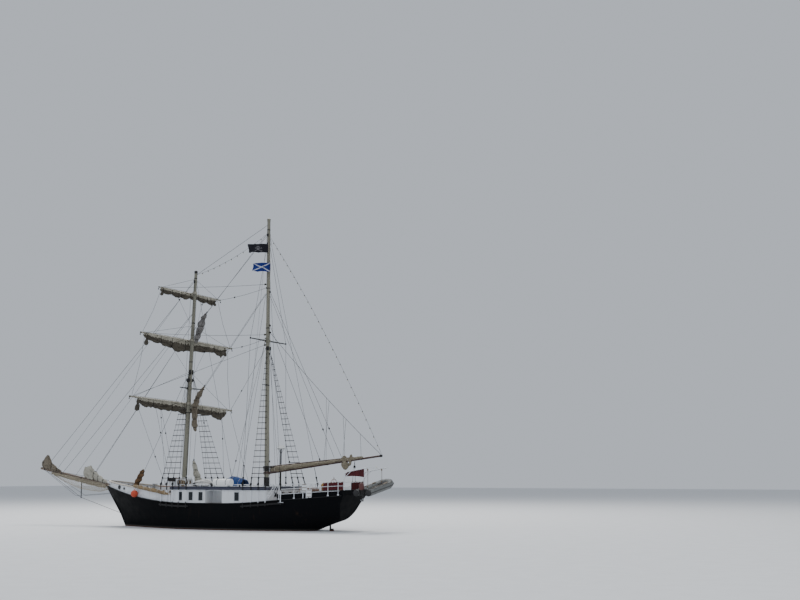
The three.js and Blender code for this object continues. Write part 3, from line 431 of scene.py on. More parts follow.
@dataclass(frozen=True)
class Paint(Finish):
    """Brushed paint with rain streaks, patches of chalking and a faint brush relief."""

    colour: Colour
    dirt: Colour
    share: float = 0.5
    roughness: float = 0.4
    grain: Grain = Grain.UPRIGHT
    relief: float = 0.0012

    def paint(self, graph: Graph) -> None:
        """Paints the graph.

        Args:
            graph: the material's nodes.
        """
        streaks = graph.patches(7.0, 5.0, 0.52, 0.78, self.grain)
        patches = graph.patches(1.7, 6.0, 0.42, 0.72)
        blend_mask = graph.times(graph.times(streaks, patches), self.share)
        light = tuple(min(1.0, c * 1.12 + 0.01) for c in self.colour)
        colour = graph.mix(graph.noise(0.9, 3.0), self.colour, light)
        colour = graph.mix(blend_mask, colour, self.dirt)
        rough = graph.sum("MULTIPLY_ADD", patches, 0.18)
        rough.node.inputs[2].default_value = self.roughness
        graph.bump(graph.noise(60.0, 3.0, self.grain), self.relief)
        graph.dress(colour, rough, Specular_IOR_Level=0.25)


@dataclass(frozen=True)
class HullPaint(Finish):
    """Topside paint over planks, a boot line, and antifouling under water."""

    colour: Colour = (0.0035, 0.004, 0.005)
    bottom: Colour = (0.16, 0.045, 0.03)
    line: Colour = (0.05, 0.05, 0.045)
    rust: Colour = (0.05, 0.028, 0.017)
    plank: float = 0.21

    def paint(self, graph: Graph) -> None:
        """Paints the graph.

        Args:
            graph: the material's nodes.
        """
        z = graph.height()
        streaks = graph.patches(5.0, 6.0, 0.56, 0.82, Grain.UPRIGHT)
        patches = graph.patches(0.8, 5.0, 0.45, 0.75)
        blend_mask = graph.times(streaks, patches)
        grey = tuple(c + 0.004 for c in self.colour)
        top = graph.mix(graph.noise(0.5, 4.0, Grain.FORE_AND_AFT), self.colour, grey)
        top = graph.mix(graph.times(blend_mask, 0.55), top, self.rust)
        low = graph.mix(graph.noise(3.0, 6.0), self.bottom, shade(self.bottom, 0.55))
        wet = graph.mix(graph.level(z, 0.03, 0.06), low, self.line)
        colour = graph.mix(graph.level(z, 0.12, 0.16), wet, top)
        seam = graph.sum("PINGPONG", z, self.plank / 2)
        seam = graph.level(seam, 0.0, 0.008)
        graph.bump(graph.sum("ADD", seam, graph.times(graph.noise(9.0, 4.0), 0.35)), 0.004, 0.7)
        rough = graph.patches(2.2, 5.0, -0.6, 1.5)
        graph.dress(colour, rough, IOR=1.07)


@dataclass(frozen=True)
class Banded(Finish):
    """Weathered paint, darker aloft as painted shade, with another colour between two distances along an axis."""

    colour: Colour
    other: Colour
    axis: str
    low: float
    high: float = 99.0
    roughness: float = 0.55

    def paint(self, graph: Graph) -> None:
        """Paints the graph.

        Args:
            graph: the material's nodes.
        """
        far = graph.sum("ABSOLUTE", graph.height(self.axis), 0.0)
        inside = graph.sum(
            "MULTIPLY", graph.sum("GREATER_THAN", far, self.low), graph.sum("LESS_THAN", far, self.high)
        )
        streaks = graph.patches(5.0, 6.0, 0.45, 0.8, Grain.UPRIGHT)
        # Painted shade: the colour darkens from 3 m to 16 m up, added to the rain streaks in the mask below.
        aloft = graph.level(graph.height(), 3.0, 16.0)
        blend_mask = graph.sum("ADD", graph.times(streaks, 0.5), graph.times(aloft, 0.45))
        colour = graph.mix(blend_mask, self.colour, shade(self.colour, 0.45))
        graph.bump(graph.noise(50.0, 3.0, Grain.UPRIGHT), 0.0012)
        graph.dress(graph.mix(inside, colour, self.other), self.roughness, Specular_IOR_Level=0.3)


@dataclass(frozen=True)
class Planks(Finish):
    """Laid deck planks with dark seams, each board its own shade."""

    colour: Colour = (0.34, 0.27, 0.19)
    dark: Colour = (0.25, 0.2, 0.14)
    seam: Colour = (0.02, 0.018, 0.016)
    board: float = 0.115

    def paint(self, graph: Graph) -> None:
        """Paints the graph.

        Args:
            graph: the material's nodes.
        """
        bricks = graph.node(
            "ShaderNodeTexBrick",
            {
                "Vector": graph.place, "Color1": self.colour, "Color2": self.dark, "Mortar": self.seam,
                "Scale": 1.0, "Mortar Size": 0.006, "Mortar Smooth": 0.1, "Bias": 0.1, "Brick Width": 3.4,
                "Row Height": self.board
            }
        )
        grey = graph.mix(graph.noise(40.0, 4.0, Grain.FORE_AND_AFT), bricks.outputs[0], (0.2, 0.18, 0.15))
        colour = graph.mix(graph.times(graph.noise(1.2, 5.0), 0.35), bricks.outputs[0], grey)
        inverse = graph.sum("SUBTRACT", 1.0, bricks.outputs[1])
        graph.bump(inverse, 0.003, 0.8)
        graph.dress(colour, 0.75, Specular_IOR_Level=0.25)


@dataclass(frozen=True)
class Timber(Finish):
    """Oiled or varnished wood with grain along one axis."""

    light: Colour
    dark: Colour
    grain: Grain = Grain.FORE_AND_AFT
    roughness: float = 0.5
    gloss: float = 0.1

    def paint(self, graph: Graph) -> None:
        """Paints the graph.

        Args:
            graph: the material's nodes.
        """
        fibres = graph.noise(38.0, 6.0, self.grain)
        bands = graph.patches(11.0, 3.0, 0.3, 0.7, self.grain)
        colour = graph.mix(bands, self.dark, self.light)
        colour = graph.mix(graph.level(fibres, 0.45, 0.75), colour, shade(self.dark, 0.6))
        weather = graph.patches(1.4, 5.0, 0.5, 0.8)
        colour = graph.mix(graph.times(weather, 0.35), colour, (0.19, 0.165, 0.14))
        graph.bump(fibres, 0.0015, 0.6)
        graph.dress(colour, self.roughness, Coat_Weight=self.gloss)


@dataclass(frozen=True)
class Canvas(Finish):
    """Woven cloth with weather stains, small creases and a soft sheen."""

    colour: Colour
    stain: Colour
    share: float = 0.6
    grain: Grain = Grain.EVEN

    def paint(self, graph: Graph) -> None:
        """Paints the graph.

        Args:
            graph: the material's nodes.
        """
        patches = graph.patches(1.9, 7.0, 0.42, 0.74, self.grain)
        specks = graph.patches(13.0, 5.0, 0.45, 0.8, self.grain)
        dirt = graph.times(graph.sum("ADD", patches, graph.times(specks, 0.5)), self.share)
        colour = graph.mix(dirt, self.colour, self.stain)
        weave = graph.noise(420.0, 2.0)
        crease = graph.noise(16.0, 5.0, self.grain)
        graph.bump(graph.sum("ADD", crease, graph.times(weave, 0.15)), 0.012, 0.55)
        graph.dress(colour, 0.88, Specular_IOR_Level=0.2, Sheen_Weight=0.15)


@dataclass(frozen=True)
class Metal(Finish):
    """Bare or galvanized metal with dull patches and rust."""

    colour: Colour
    rust: Colour = (0.2, 0.09, 0.045)
    share: float = 0.3
    metallic: float = 0.8
    roughness: float = 0.45

    def paint(self, graph: Graph) -> None:
        """Paints the graph.

        Args:
            graph: the material's nodes.
        """
        patches = graph.patches(6.0, 7.0, 0.5, 0.75)
        colour = graph.mix(graph.times(patches, self.share), self.colour, self.rust)
        rough = graph.sum("MULTIPLY_ADD", patches, 0.25)
        rough.node.inputs[2].default_value = self.roughness
        graph.bump(graph.noise(90.0, 4.0), 0.0008)
        graph.dress(colour, rough, Metallic=self.metallic)


@dataclass(frozen=True)
class Rope(Finish):
    """Laid rope: slanting strands and a little fuzz."""

    colour: Colour
    dark: Colour

    def paint(self, graph: Graph) -> None:
        """Paints the graph.

        Args:
            graph: the material's nodes.
        """
        strands = graph.node(
            "ShaderNodeTexWave", {"Vector": graph.place, "Scale": 26.0, "Distortion": 1.0},
            bands_direction="DIAGONAL"
        ).outputs[1]
        colour = graph.mix(strands, self.dark, self.colour)
        colour = graph.mix(graph.times(graph.noise(5.0, 4.0), 0.3), colour, self.dark)
        graph.bump(strands, 0.003, 0.7)
        graph.dress(colour, 0.85, Specular_IOR_Level=0.2)


@dataclass(frozen=True)
class Glass(Finish):
    """Tinted window glass with a few water marks."""

    colour: Colour = (0.012, 0.016, 0.02)

    def paint(self, graph: Graph) -> None:
        """Paints the graph.

        Args:
            graph: the material's nodes.
        """
        marks = graph.patches(12.0, 6.0, 0.3, 2.6)
        graph.dress(self.colour, marks, IOR=1.45, Transmission_Weight=0.2, Specular_IOR_Level=0.45)


@dataclass(frozen=True)
class Fascia(Finish):
    """The deckhouse roof's painted edge: dark blue with a pale bead and a black one."""

    colour: Colour = (0.003, 0.005, 0.021)
    bead: Colour = (0.16, 0.17, 0.19)
    beads: tuple[float, float] = (3.052, 3.062)

    def paint(self, graph: Graph) -> None:
        """Paints the graph.

        Args:
            graph: the material's nodes.
        """
        z = graph.height()
        low, high = self.beads
        above = graph.sum("GREATER_THAN", z, low)
        inside = graph.times(above, graph.sum("LESS_THAN", z, high))
        faded = graph.mix(graph.noise(2.5, 5.0), self.colour, shade(self.colour, 1.7))
        colour = graph.mix(inside, faded, self.bead)
        graph.bump(graph.noise(45.0, 3.0, Grain.FORE_AND_AFT), 0.001)
        graph.dress(colour, 0.42, Coat_Weight=0.1)


class Look(Enum):
    """Every finish on the ship, by name."""

    TOPSIDES = HullPaint("topside_paint")
    DECK = Planks("deck_planks")
    SOLE = Planks("cabin_sole", (0.3, 0.17, 0.09), (0.22, 0.12, 0.06), (0.02, 0.015, 0.01), 0.09)
    WHITE = Paint("white_enamel", (0.57, 0.59, 0.62), (0.27, 0.215, 0.155), 0.45)
    BULWARK = Paint("bulwark_white", (0.55, 0.57, 0.6), (0.25, 0.18, 0.12), 0.6)
    LINING = Paint("cabin_lining", (0.62, 0.58, 0.5), (0.3, 0.25, 0.2), 0.2)
    BLACK = Paint("black_enamel", (0.005, 0.0055, 0.0065), (0.05, 0.04, 0.03), 0.3, 0.5)
    # Mast paint darkened to stand in for the masts' shade, on top of its painted shade aloft.
    SPAR = Banded("mast_paint", (0.225, 0.217, 0.172), (0.012, 0.012, 0.013), "Y", 0.28)
    PLATES = Banded("chain_plate_paint", (0.008, 0.008, 0.009), (0.6, 0.62, 0.66), "Z", 2.06, 2.92)
    FASCIA = Fascia("roof_fascia")
    ROOF = Paint("roof_deck_paint", (0.42, 0.44, 0.45), (0.22, 0.2, 0.17), 0.6, 0.8, Grain.EVEN, 0.004)
    RAIL = Timber("bleached_rail", (0.56, 0.52, 0.45), (0.4, 0.35, 0.28))
    YARD = Timber("yard_timber", (0.34, 0.33, 0.27), (0.22, 0.2, 0.155), Grain.ATHWART, 0.6)
    VARNISH = Timber("varnished_teak", (0.24, 0.11, 0.045), (0.13, 0.055, 0.022), Grain.UPRIGHT, 0.35, 0.5)
    BOWSPRIT = Timber("bowsprit_timber", (0.16, 0.1, 0.06), (0.08, 0.05, 0.03), Grain.FORE_AND_AFT, 0.5)
    BOOM = Timber("boom_timber", (0.06, 0.024, 0.017), (0.03, 0.013, 0.01), Grain.FORE_AND_AFT, 0.5)
    BATTEN = Timber(
        "ratline_batten", (0.022, 0.018, 0.015), (0.012, 0.01, 0.009), Grain.FORE_AND_AFT, 0.8, 0.0
    )
    BAG = Canvas("dark_bag_cloth", (0.02, 0.021, 0.025), (0.05, 0.045, 0.04), 0.5)
    COAT = Canvas("mast_coat", (0.3, 0.235, 0.14), (0.13, 0.095, 0.055), 0.6)
    OAK = Timber("grey_oak", (0.3, 0.25, 0.19), (0.19, 0.155, 0.12), Grain.ATHWART, 0.7, 0.0)
    # A lighter copy of the furled sails' cloth, painted as light falling on their tops.
    SAIL_TOP = Canvas("bleached_sail", (0.3, 0.285, 0.235), (0.13, 0.11, 0.08), 0.5)
    # The furled square sails' cloth: its dark colour is painted shade as well as weather stains.
    SAIL = Canvas("weathered_sail", (0.068, 0.059, 0.045), (0.024, 0.019, 0.014), 0.6)
    MAINSAIL = Canvas("stowed_sail", (0.21, 0.185, 0.135), (0.08, 0.06, 0.04), 0.55, Grain.FORE_AND_AFT)
    BROWN = Canvas("brown_sail", (0.155, 0.09, 0.045), (0.05, 0.03, 0.018), 0.7)
    AWNING = Canvas("rolled_awning", (0.23, 0.165, 0.09), (0.085, 0.055, 0.03), 0.6)
    SAIL_PALE = Canvas("pale_weathered_sail", (0.15, 0.127, 0.095), (0.05, 0.04, 0.03), 0.65)
    JIB_GREY = Canvas("grey_sail", (0.15, 0.143, 0.14), (0.04, 0.037, 0.036), 0.7)
    JIB = Canvas("white_sail", (0.37, 0.36, 0.31), (0.14, 0.12, 0.09), 0.55)
    RED = Canvas("red_cloth", (0.07, 0.009, 0.012), (0.025, 0.006, 0.008), 0.6, Grain.UPRIGHT)
    TARP = Canvas("blue_tarpaulin_cloth", (0.008, 0.046, 0.18), (0.008, 0.025, 0.075), 0.55)
    SHADE = Canvas("faded_white_cover", (0.64, 0.64, 0.63), (0.3, 0.27, 0.23), 0.4)
    WIRE = Metal("tarred_wire", (0.012, 0.012, 0.014), (0.035, 0.026, 0.02), 0.3, 0.2, 0.7)
    STEEL = Metal("galvanized_iron", (0.36, 0.37, 0.38))
    BRONZE = Metal("cast_bronze", (0.42, 0.26, 0.1), (0.05, 0.13, 0.09), 0.35, 0.9, 0.38)
    RUST = Metal("rusty_chain", (0.16, 0.12, 0.1), (0.22, 0.085, 0.035), 0.7, 0.5, 0.7)
    ROPE = Rope("tarred_rope", (0.026, 0.023, 0.019), (0.012, 0.011, 0.01))
    MANILA = Rope("manila_rope", (0.25, 0.175, 0.1), (0.14, 0.09, 0.05))
    PALE_ROPE = Rope("pale_rope", (0.48, 0.44, 0.36), (0.3, 0.26, 0.2))
    GLASS = Glass("window_glass")
    TUBE = Paint("grey_tube_skin", (0.115, 0.12, 0.117), (0.06, 0.06, 0.055), 0.6, 0.62, Grain.EVEN)
    RUBBER = Paint("black_rubber", (0.018, 0.018, 0.019), (0.06, 0.055, 0.05), 0.4, 0.6, Grain.EVEN)
    COWL = Paint("motor_leg", (0.012, 0.011, 0.012), (0.04, 0.03, 0.025), 0.4, 0.4, Grain.EVEN)
    COWL_TRIM = Paint("motor_cover", (0.085, 0.03, 0.028), (0.035, 0.015, 0.014), 0.5, 0.4, Grain.EVEN)
    GEL = Paint("raft_shell", (0.7, 0.71, 0.7), (0.38, 0.35, 0.29), 0.4, 0.3, Grain.EVEN)
    ORANGE = Paint("fender_orange", (0.42, 0.055, 0.024), (0.22, 0.05, 0.03), 0.5, 0.5, Grain.EVEN)
    BULB = Paint("lamp_glass", (0.6, 0.58, 0.5), (0.4, 0.36, 0.28), 0.3, 0.2, Grain.EVEN)
    FLAG_BLACK = Canvas("flag_black", (0.006, 0.006, 0.01), (0.018, 0.018, 0.024), 0.5)
    FLAG_BLUE = Canvas("flag_blue", (0.005, 0.018, 0.15), (0.004, 0.01, 0.075), 0.4)
    FLAG_WHITE = Canvas("flag_white", (0.4, 0.42, 0.48), (0.27, 0.28, 0.33), 0.4)
    FLAG_GREY = Canvas("flag_grey", (0.12, 0.115, 0.125), (0.06, 0.06, 0.065), 0.5)
    FLOOR = Paint("floor_paint", (0.66, 0.67, 0.68), (0.6, 0.6, 0.6), 0.1, 0.85, Grain.EVEN)


Looks = Look | Sequence[Look]


def materials(finishes: Looks) -> list[bpy.types.Material]:
    """Returns the material of one finish, or of several in order."""
    several = [finishes] if isinstance(finishes, Look) else list(finishes)
    return [finish.value.material() for finish in several]


class Builder:
    """Gathers tubes, blocks, lathed shapes and skins into one mesh piece."""

    def __init__(self) -> None:
        """Starts an empty mesh."""
        self.bm = bmesh.new()
        self.finish = 0

    def use(self, finish: int) -> "Builder":
        """Chooses which of the piece's finishes the next shapes take."""
        self.finish = finish
        return self

    def face(self, corners: Iterable[bmesh.types.BMVert]) -> None:
        """Adds one face with the finish in use.

        Args:
            corners: its corners in order.
        """
        made = self.bm.faces.new(list(corners))
        made.material_index = self.finish
        made.smooth = True

    def skin(self, rings: Sequence[Sequence[Vector]], closed: bool = True, caps: bool = True) -> None:
        """Joins rings of equal counts into a surface.

        Args:
            rings: rows of points.
            closed: whether each row closes on itself.
            caps: whether the first and last rows are filled.
        """
        rows = [[self.bm.verts.new(p) for p in ring] for ring in rings]
        count = len(rows[0])
        for low, high in zip(rows, rows[1:]):
            for k in range(count if closed else count - 1):
                n = (k + 1) % count
                self.face((low[k], low[n], high[n], high[k]))
        if caps and closed:
            self.face(reversed(rows[0]))
            self.face(rows[-1])

    def tube(self, points: Sequence[Point], radius: float | Sequence[float], sides: int = 6) -> None:
        """Adds a round bar along points.

        Args:
            points: the middle line.
            radius: one radius, or one for each point.
            sides: how many sides it has.
        """
        line = [Vector(p) for p in points]
        radii = [radius] * len(line) if isinstance(radius, (int, float)) else list(radius)
        side = (line[1] - line[0]).orthogonal().normalized()
        rings = []
        for i, point in enumerate(line):
            along = (line[min(i + 1, len(line) - 1)] - line[max(i - 1, 0)]).normalized()
            side = (side - along * side.dot(along)).normalized()
            rise = along.cross(side)
            rings.append([point + (side * cos(t) + rise * sin(t)) * radii[i] for t in turns(sides)])
        self.skin(rings)

    def lathe(
        self, base: Point, axis: Point, profile: Sequence[tuple[float, float]], sides: int = 16
    ) -> None:
        """Adds a turned shape.

        Args:
            base: where the profile starts.
            axis: which way it runs.
            profile: rows of distance along the axis and radius.
            sides: how many sides it has.
        """
        start, along = Vector(base), Vector(axis).normalized()
        side = along.orthogonal().normalized()
        rise = along.cross(side)
        self.skin([
            [
                start + along * far + (side * cos(t) + rise * sin(t)) * max(r, 0.0005)
                for t in turns(sides, 0.5)
            ] for far, r in profile
        ])

    def block(self, low: Point, high: Point, bevel: float = 0.008) -> None:
        """Adds a block with softened edges between two corners.

        Args:
            low: one corner.
            high: the corner across from it.
            bevel: how far its edges are cut.
        """
        lo, hi = Vector(map(min, low, high)), Vector(map(max, low, high))
        made = bmesh.ops.create_cube(self.bm, size=1.0)["verts"]
        size, middle = hi - lo, (hi + lo) / 2
        for vert in made:
            vert.co = Vector(c * s for c, s in zip(vert.co, size)) + middle
        edges = list(dict.fromkeys(edge for vert in made for edge in vert.link_edges))
        faces = list(dict.fromkeys(face for vert in made for face in vert.link_faces))
        soft = min(bevel, min(size) * 0.45)
        if soft > 0.0005:
            cut = bmesh.ops.bevel(self.bm, geom=edges, offset=soft, segments=2, affect="EDGES")
            faces = [face for face in faces if face.is_valid] + cut["faces"]
        for face in faces:
            face.material_index = self.finish
            face.smooth = True

    def bars(self, corners: Sequence[Point], radius: float) -> None:
        """Adds straight round bars from corner to corner."""
        for a, b in zip(corners, corners[1:]):
            self.tube([a, b], radius, 8)

    def sheet(self, rows: Sequence[Sequence[Vector]]) -> None:
        """Adds an open cloth through rows of points."""
        self.skin(rows, closed=False, caps=False)

    def hoop(self, middle: Point, axis: Point, radius: float, thick: float, sides: int = 20) -> None:
        """Adds a ring round an axis.

        Args:
            middle: its middle.
            axis: the axis.
            radius: the ring's radius.
            thick: the bar's radius.
            sides: how many sides the ring has.
        """
        centre, along = Vector(middle), Vector(axis).normalized()
        side = along.orthogonal().normalized()
        rise = along.cross(side)
        rings = []
        for k in range(sides + 1):
            out = side * cos(tau * k / sides) + rise * sin(tau * k / sides)
            rings.append([
                centre + out * (radius + thick * cos(t)) + along * thick * sin(t) for t in turns(6)
            ])
        self.skin(rings, caps=False)

    def ball(self, middle: Point, radii: Point, sides: int = 12) -> None:
        """Adds a rounded lump with three half sizes.

        Args:
            middle: its middle.
            radii: its half sizes.
            sides: how many sides it has.
        """
        centre, rows = Vector(middle), max(4, sides // 2)
        rings = []
        for i in range(rows + 1):
            lift = pi * (i / rows - 0.5) * 0.999
            rings.append([
                centre + Vector((
                    radii[0] * cos(lift) * cos(t), radii[1] * cos(lift) * sin(t), radii[2] * sin(lift)
                )) for t in turns(sides)
            ])
        self.skin(rings)

    def pulley(self, place: Point, along: Point, size: float = 0.09) -> None:
        """Adds a rigging block: two rounded cheeks, a sheave and a strop eye.

        Args:
            place: its middle.
            along: which way its rope runs.
            size: its cheeks' radius.
        """
        centre, way = Vector(place), Vector(along).normalized()
        side = way.orthogonal().normalized()
        for out in (-0.35, 0.35):
            self.lathe(
                centre + side * size * (out - 0.11), side,
                [(0, size * 0.8), (size * 0.11, size), (size * 0.22, size * 0.8)], 10
            )
        self.lathe(centre - side * size * 0.3, side, [(0, size * 0.62), (size * 0.6, size * 0.62)], 10)
        self.hoop(centre - way * size * 1.15, side, size * 0.22, size * 0.08, 8)

    def piece(
        self, name: str, finishes: Looks, body: str | None = "ship", slot: str | None = None,
        stands_for: Sequence[str] = (), angle: float = 38.0
    ) -> bpy.types.Object:
        """Makes the object and hangs it on its body.

        Args:
            name: the piece's name.
            finishes: one finish, or several in the order that use() counts them.
            body: the body it rides on, or None where the caller hangs it.
            slot: the record's material slot.
            stands_for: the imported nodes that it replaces.
            angle: edges sharper than this stay sharp, in degrees.

        Returns:
            The object.
        """
        bmesh.ops.recalc_face_normals(self.bm, faces=self.bm.faces)
        mesh = bpy.data.meshes.new(name)
        self.bm.to_mesh(mesh)
        self.bm.free()
        mesh.set_sharp_from_angle(angle=radians(angle))
        for material in materials(finishes):
            mesh.materials.append(material)
        made = bpy.data.objects.new(name, mesh)
        bpy.context.scene.collection.objects.link(made)
        if body:
            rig.ride(made, body)
        if slot:
            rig.slot(made, slot)
        if stands_for:
            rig.replaces(made, *stands_for)
        log.info("%s: %d faces", name, len(mesh.polygons))
        return made


def dress(
    node: str, finishes: Looks, sort: Callable[[Vector, Vector], int] | None = None, angle: float = 34.0
) -> None:
    """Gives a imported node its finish, and smooths its shading with modifiers only.

    Args:
        node: the node's name.
        finishes: one finish, or several.
        sort: picks a finish from a face's middle and normal.
        angle: edges sharper than this stay sharp, in degrees.
    """
    made = frame["nodes"][node]
    mesh = made.data
    mesh.materials.clear()
    for material in materials(finishes):
        mesh.materials.append(material)
    if "custom_normal" in mesh.attributes:
        mesh.attributes.remove(mesh.attributes["custom_normal"])
    for face in mesh.polygons:
        face.use_smooth = True
        face.material_index = sort(face.center, face.normal) if sort else 0
    weld = made.modifiers.new("weld", "WELD")
    weld.merge_threshold = 0.00005
    split = made.modifiers.new("edges", "EDGE_SPLIT")
    split.split_angle = radians(angle)
    log.info("%s: dressed", node)


def lay_out(made: bpy.types.Object, width: float, held: str, rests_on: Sequence[str]) -> None:
    """Declares a piece as a sheet of the cloth that its mesh holds.

    Args:
        made: the piece.
        width: the width that it was cut to.
        held: how it is held.
        rests_on: what carries it.
    """
    area = sum(face.area for face in made.data.polygons)
    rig.sheet(made, (width, area / width), held, rests_on)


@dataclass(frozen=True)
class Spar:
    """A straight tapered pole from a foot to a tip."""

    foot: Vector
    tip: Vector
    thick: float
    thin: float

    def at(self, share: float) -> Vector:
        """Returns the point at a share of its length."""
        return self.foot.lerp(self.tip, share)

    def radius(self, share: float) -> float:
        """Returns the radius at a share of its length."""
        return self.thick + (self.thin - self.thick) * share

    @property
    def way(self) -> Vector:
        """Which way it runs."""
        return (self.tip - self.foot).normalized()

    def sleeve(self, builder: Builder, low: float, high: float, grow: float, sides: int = 18) -> None:
        """Adds a band round it between two shares of its length."""
        radii = [self.radius(low) + grow, self.radius(high) + grow]
        builder.tube([self.at(low), self.at(high)], radii, sides)


@dataclass(frozen=True)
class Mast(Spar):
    """A mast, read by height."""

    def share(self, z: float) -> float:
        """Returns the share of its length at a height."""
        return (z - self.foot.z) / (self.tip.z - self.foot.z)

    def by_height(self, z: float, ahead: float = 0.0, port: float = 0.0) -> Vector:
        """Returns a point of its axis at a height, moved ahead and to port."""
        return self.at(self.share(z)) + Vector((ahead, port, 0))

    def girth(self, z: float) -> float:
        """Returns its radius at a height."""
        return self.radius(self.share(z))

    def band(self, builder: Builder, low: float, high: float, grow: float) -> None:
        """Adds a band round it between two heights."""
        self.sleeve(builder, self.share(low), self.share(high), grow)


FOREMAST = Mast(Vector((7.7807, 0, 3.17)), Vector((7.1163, 0, 20.12)), 0.19, 0.12)
MAINMAST = Mast(Vector((0.0106, 0, 1.2)), Vector((0.2094, 0, 23.7)), 0.19, 0.125)
BOWSPRIT = Spar(Vector((12.95, 0, 2.7838)), Vector((22.75, 0, 4.5968)), 0.165, 0.095)
BOOM = Spar(Vector((-0.19, 0, 4.2)), Vector((-9.85, 0, 5.4075)), 0.105, 0.0735)
GAFF = Spar(Vector((-0.26, 0, 4.64)), Vector((-7.5, 0, 5.2916)), 0.08, 0.056)


def on_bowsprit(x: float) -> Vector:
    """Returns the bowsprit's axis at a place along the ship."""
    return Vector((x, 0, 3.2 + 0.185 * (x - 15.2)))


def on_boom(x: float) -> Vector:
    """Returns the boom's axis at a place along the ship."""
    return Vector((x, 0, 4.2 - 0.125 * (x + 0.19)))


@dataclass(frozen=True)
class Edge:
    """The deck's edge. Rows: place along the ship, half breadth, height."""

    rows: tuple[Point, ...] = (
        (-7.642, 1.72, 2.604), (-7.29, 1.815, 2.582), (-6.937, 1.9, 2.559), (-6.349, 2.002, 2.517),
        (-5.757, 2.09, 2.466), (-4.935, 2.208, 2.399), (-4.124, 2.32, 2.346), (-3.094, 2.462, 2.287),
        (-2.066, 2.59, 2.203), (-0.829, 2.727, 2.102), (0.385, 2.83, 2.012), (1.804, 2.911, 1.97),
        (3.223, 2.95, 1.97), (4.533, 2.942, 1.97), (5.843, 2.92, 1.97), (6.728, 2.869, 1.999),
        (7.629, 2.78, 2.059), (8.545, 2.652, 2.134), (9.49, 2.48, 2.243), (10.341, 2.292, 2.356),
        (11.212, 2.06, 2.484), (11.973, 1.82, 2.608), (12.746, 1.54, 2.748), (13.4, 1.277, 2.879),
        (14.054, 0.98, 3.002), (14.578, 0.715, 3.096), (15.102, 0.42, 3.184), (15.364, 0.252, 3.225),
        (15.627, 0.075, 3.267)
    )
    cap: tuple[Point, ...] = ((6.8, 2.6), (8.6, 2.84), (10.35, 3.08), (12.9, 3.33), (15.3, 3.62))
    quarter: tuple[Point, ...] = ((-8.2, 3.01), (-5.82, 2.87), (-2.7, 2.65))
    rail: tuple[Point, ...] = ((-8.2, 3.64), (-6.5, 3.56), (-2.7, 3.33))

    def half(self, x: float) -> float:
        """Returns the half breadth of the deck."""
        return between(self.rows, x)

    def deck(self, x: float) -> float:
        """Returns the height of the deck's edge."""
        return between(self.rows, x, 2)

    def at(self, x: float, side: int, out: float = 0.0, z: float | None = None) -> Vector:
        """Returns a point outside the deck's edge by out, at deck height or at z."""
        return Vector((x, side * (self.half(x) + out), self.deck(x) if z is None else z))

    def cap_top(self, x: float) -> float:
        """Returns the top of the foredeck's cap rail."""
        return between(self.cap, x)

    def quarter_top(self, x: float) -> float:
        """Returns the top of the quarterdeck's bulwark."""
        return between(self.quarter, x)

    def rail_top(self, x: float) -> float:
        """Returns the top of the quarterdeck's rails."""
        return between(self.rail, x)


EDGE = Edge()


@dataclass(frozen=True)
class Yard:
    """A yard braced round on the foremast. Its port end is forward and a little higher."""

    name: str
    z: float
    half: float
    radius: float
    cant: float
    ahead: float
    braced: float = 18.0

    @property
    def forward(self) -> Vector:
        """Which way its front faces."""
        turn = radians(self.braced)
        return Vector((cos(turn), -sin(turn), 0))

    @property
    def along(self) -> Vector:
        """Which way it runs, to port."""
        turn, lift = radians(self.braced), radians(self.cant)
        return Vector((sin(turn) * cos(lift), cos(turn) * cos(lift), sin(lift)))

    def at(self, share: float) -> Vector:
        """Returns a point of its axis, from -1 at starboard to 1 at port."""
        middle = Vector((7.905 - 0.0392 * self.z, 0, self.z)) + self.forward * self.ahead
        return middle + self.along * share * self.half

    def girth(self, share: float) -> float:
        """Returns its radius at a share of its half length."""
        return self.radius * (1 - 0.45 * abs(share))


TOPGALLANT = Yard("topgallant", 18.44, 2.993, 0.075, 4.45, 0.65)
TOPSAIL = Yard("topsail", 14.65, 4.403, 0.1, 4.3, 0.63)
COURSE = Yard("course", 9.64, 4.875, 0.115, 4.5, 0.86)
YARDS = (TOPGALLANT, TOPSAIL, COURSE)


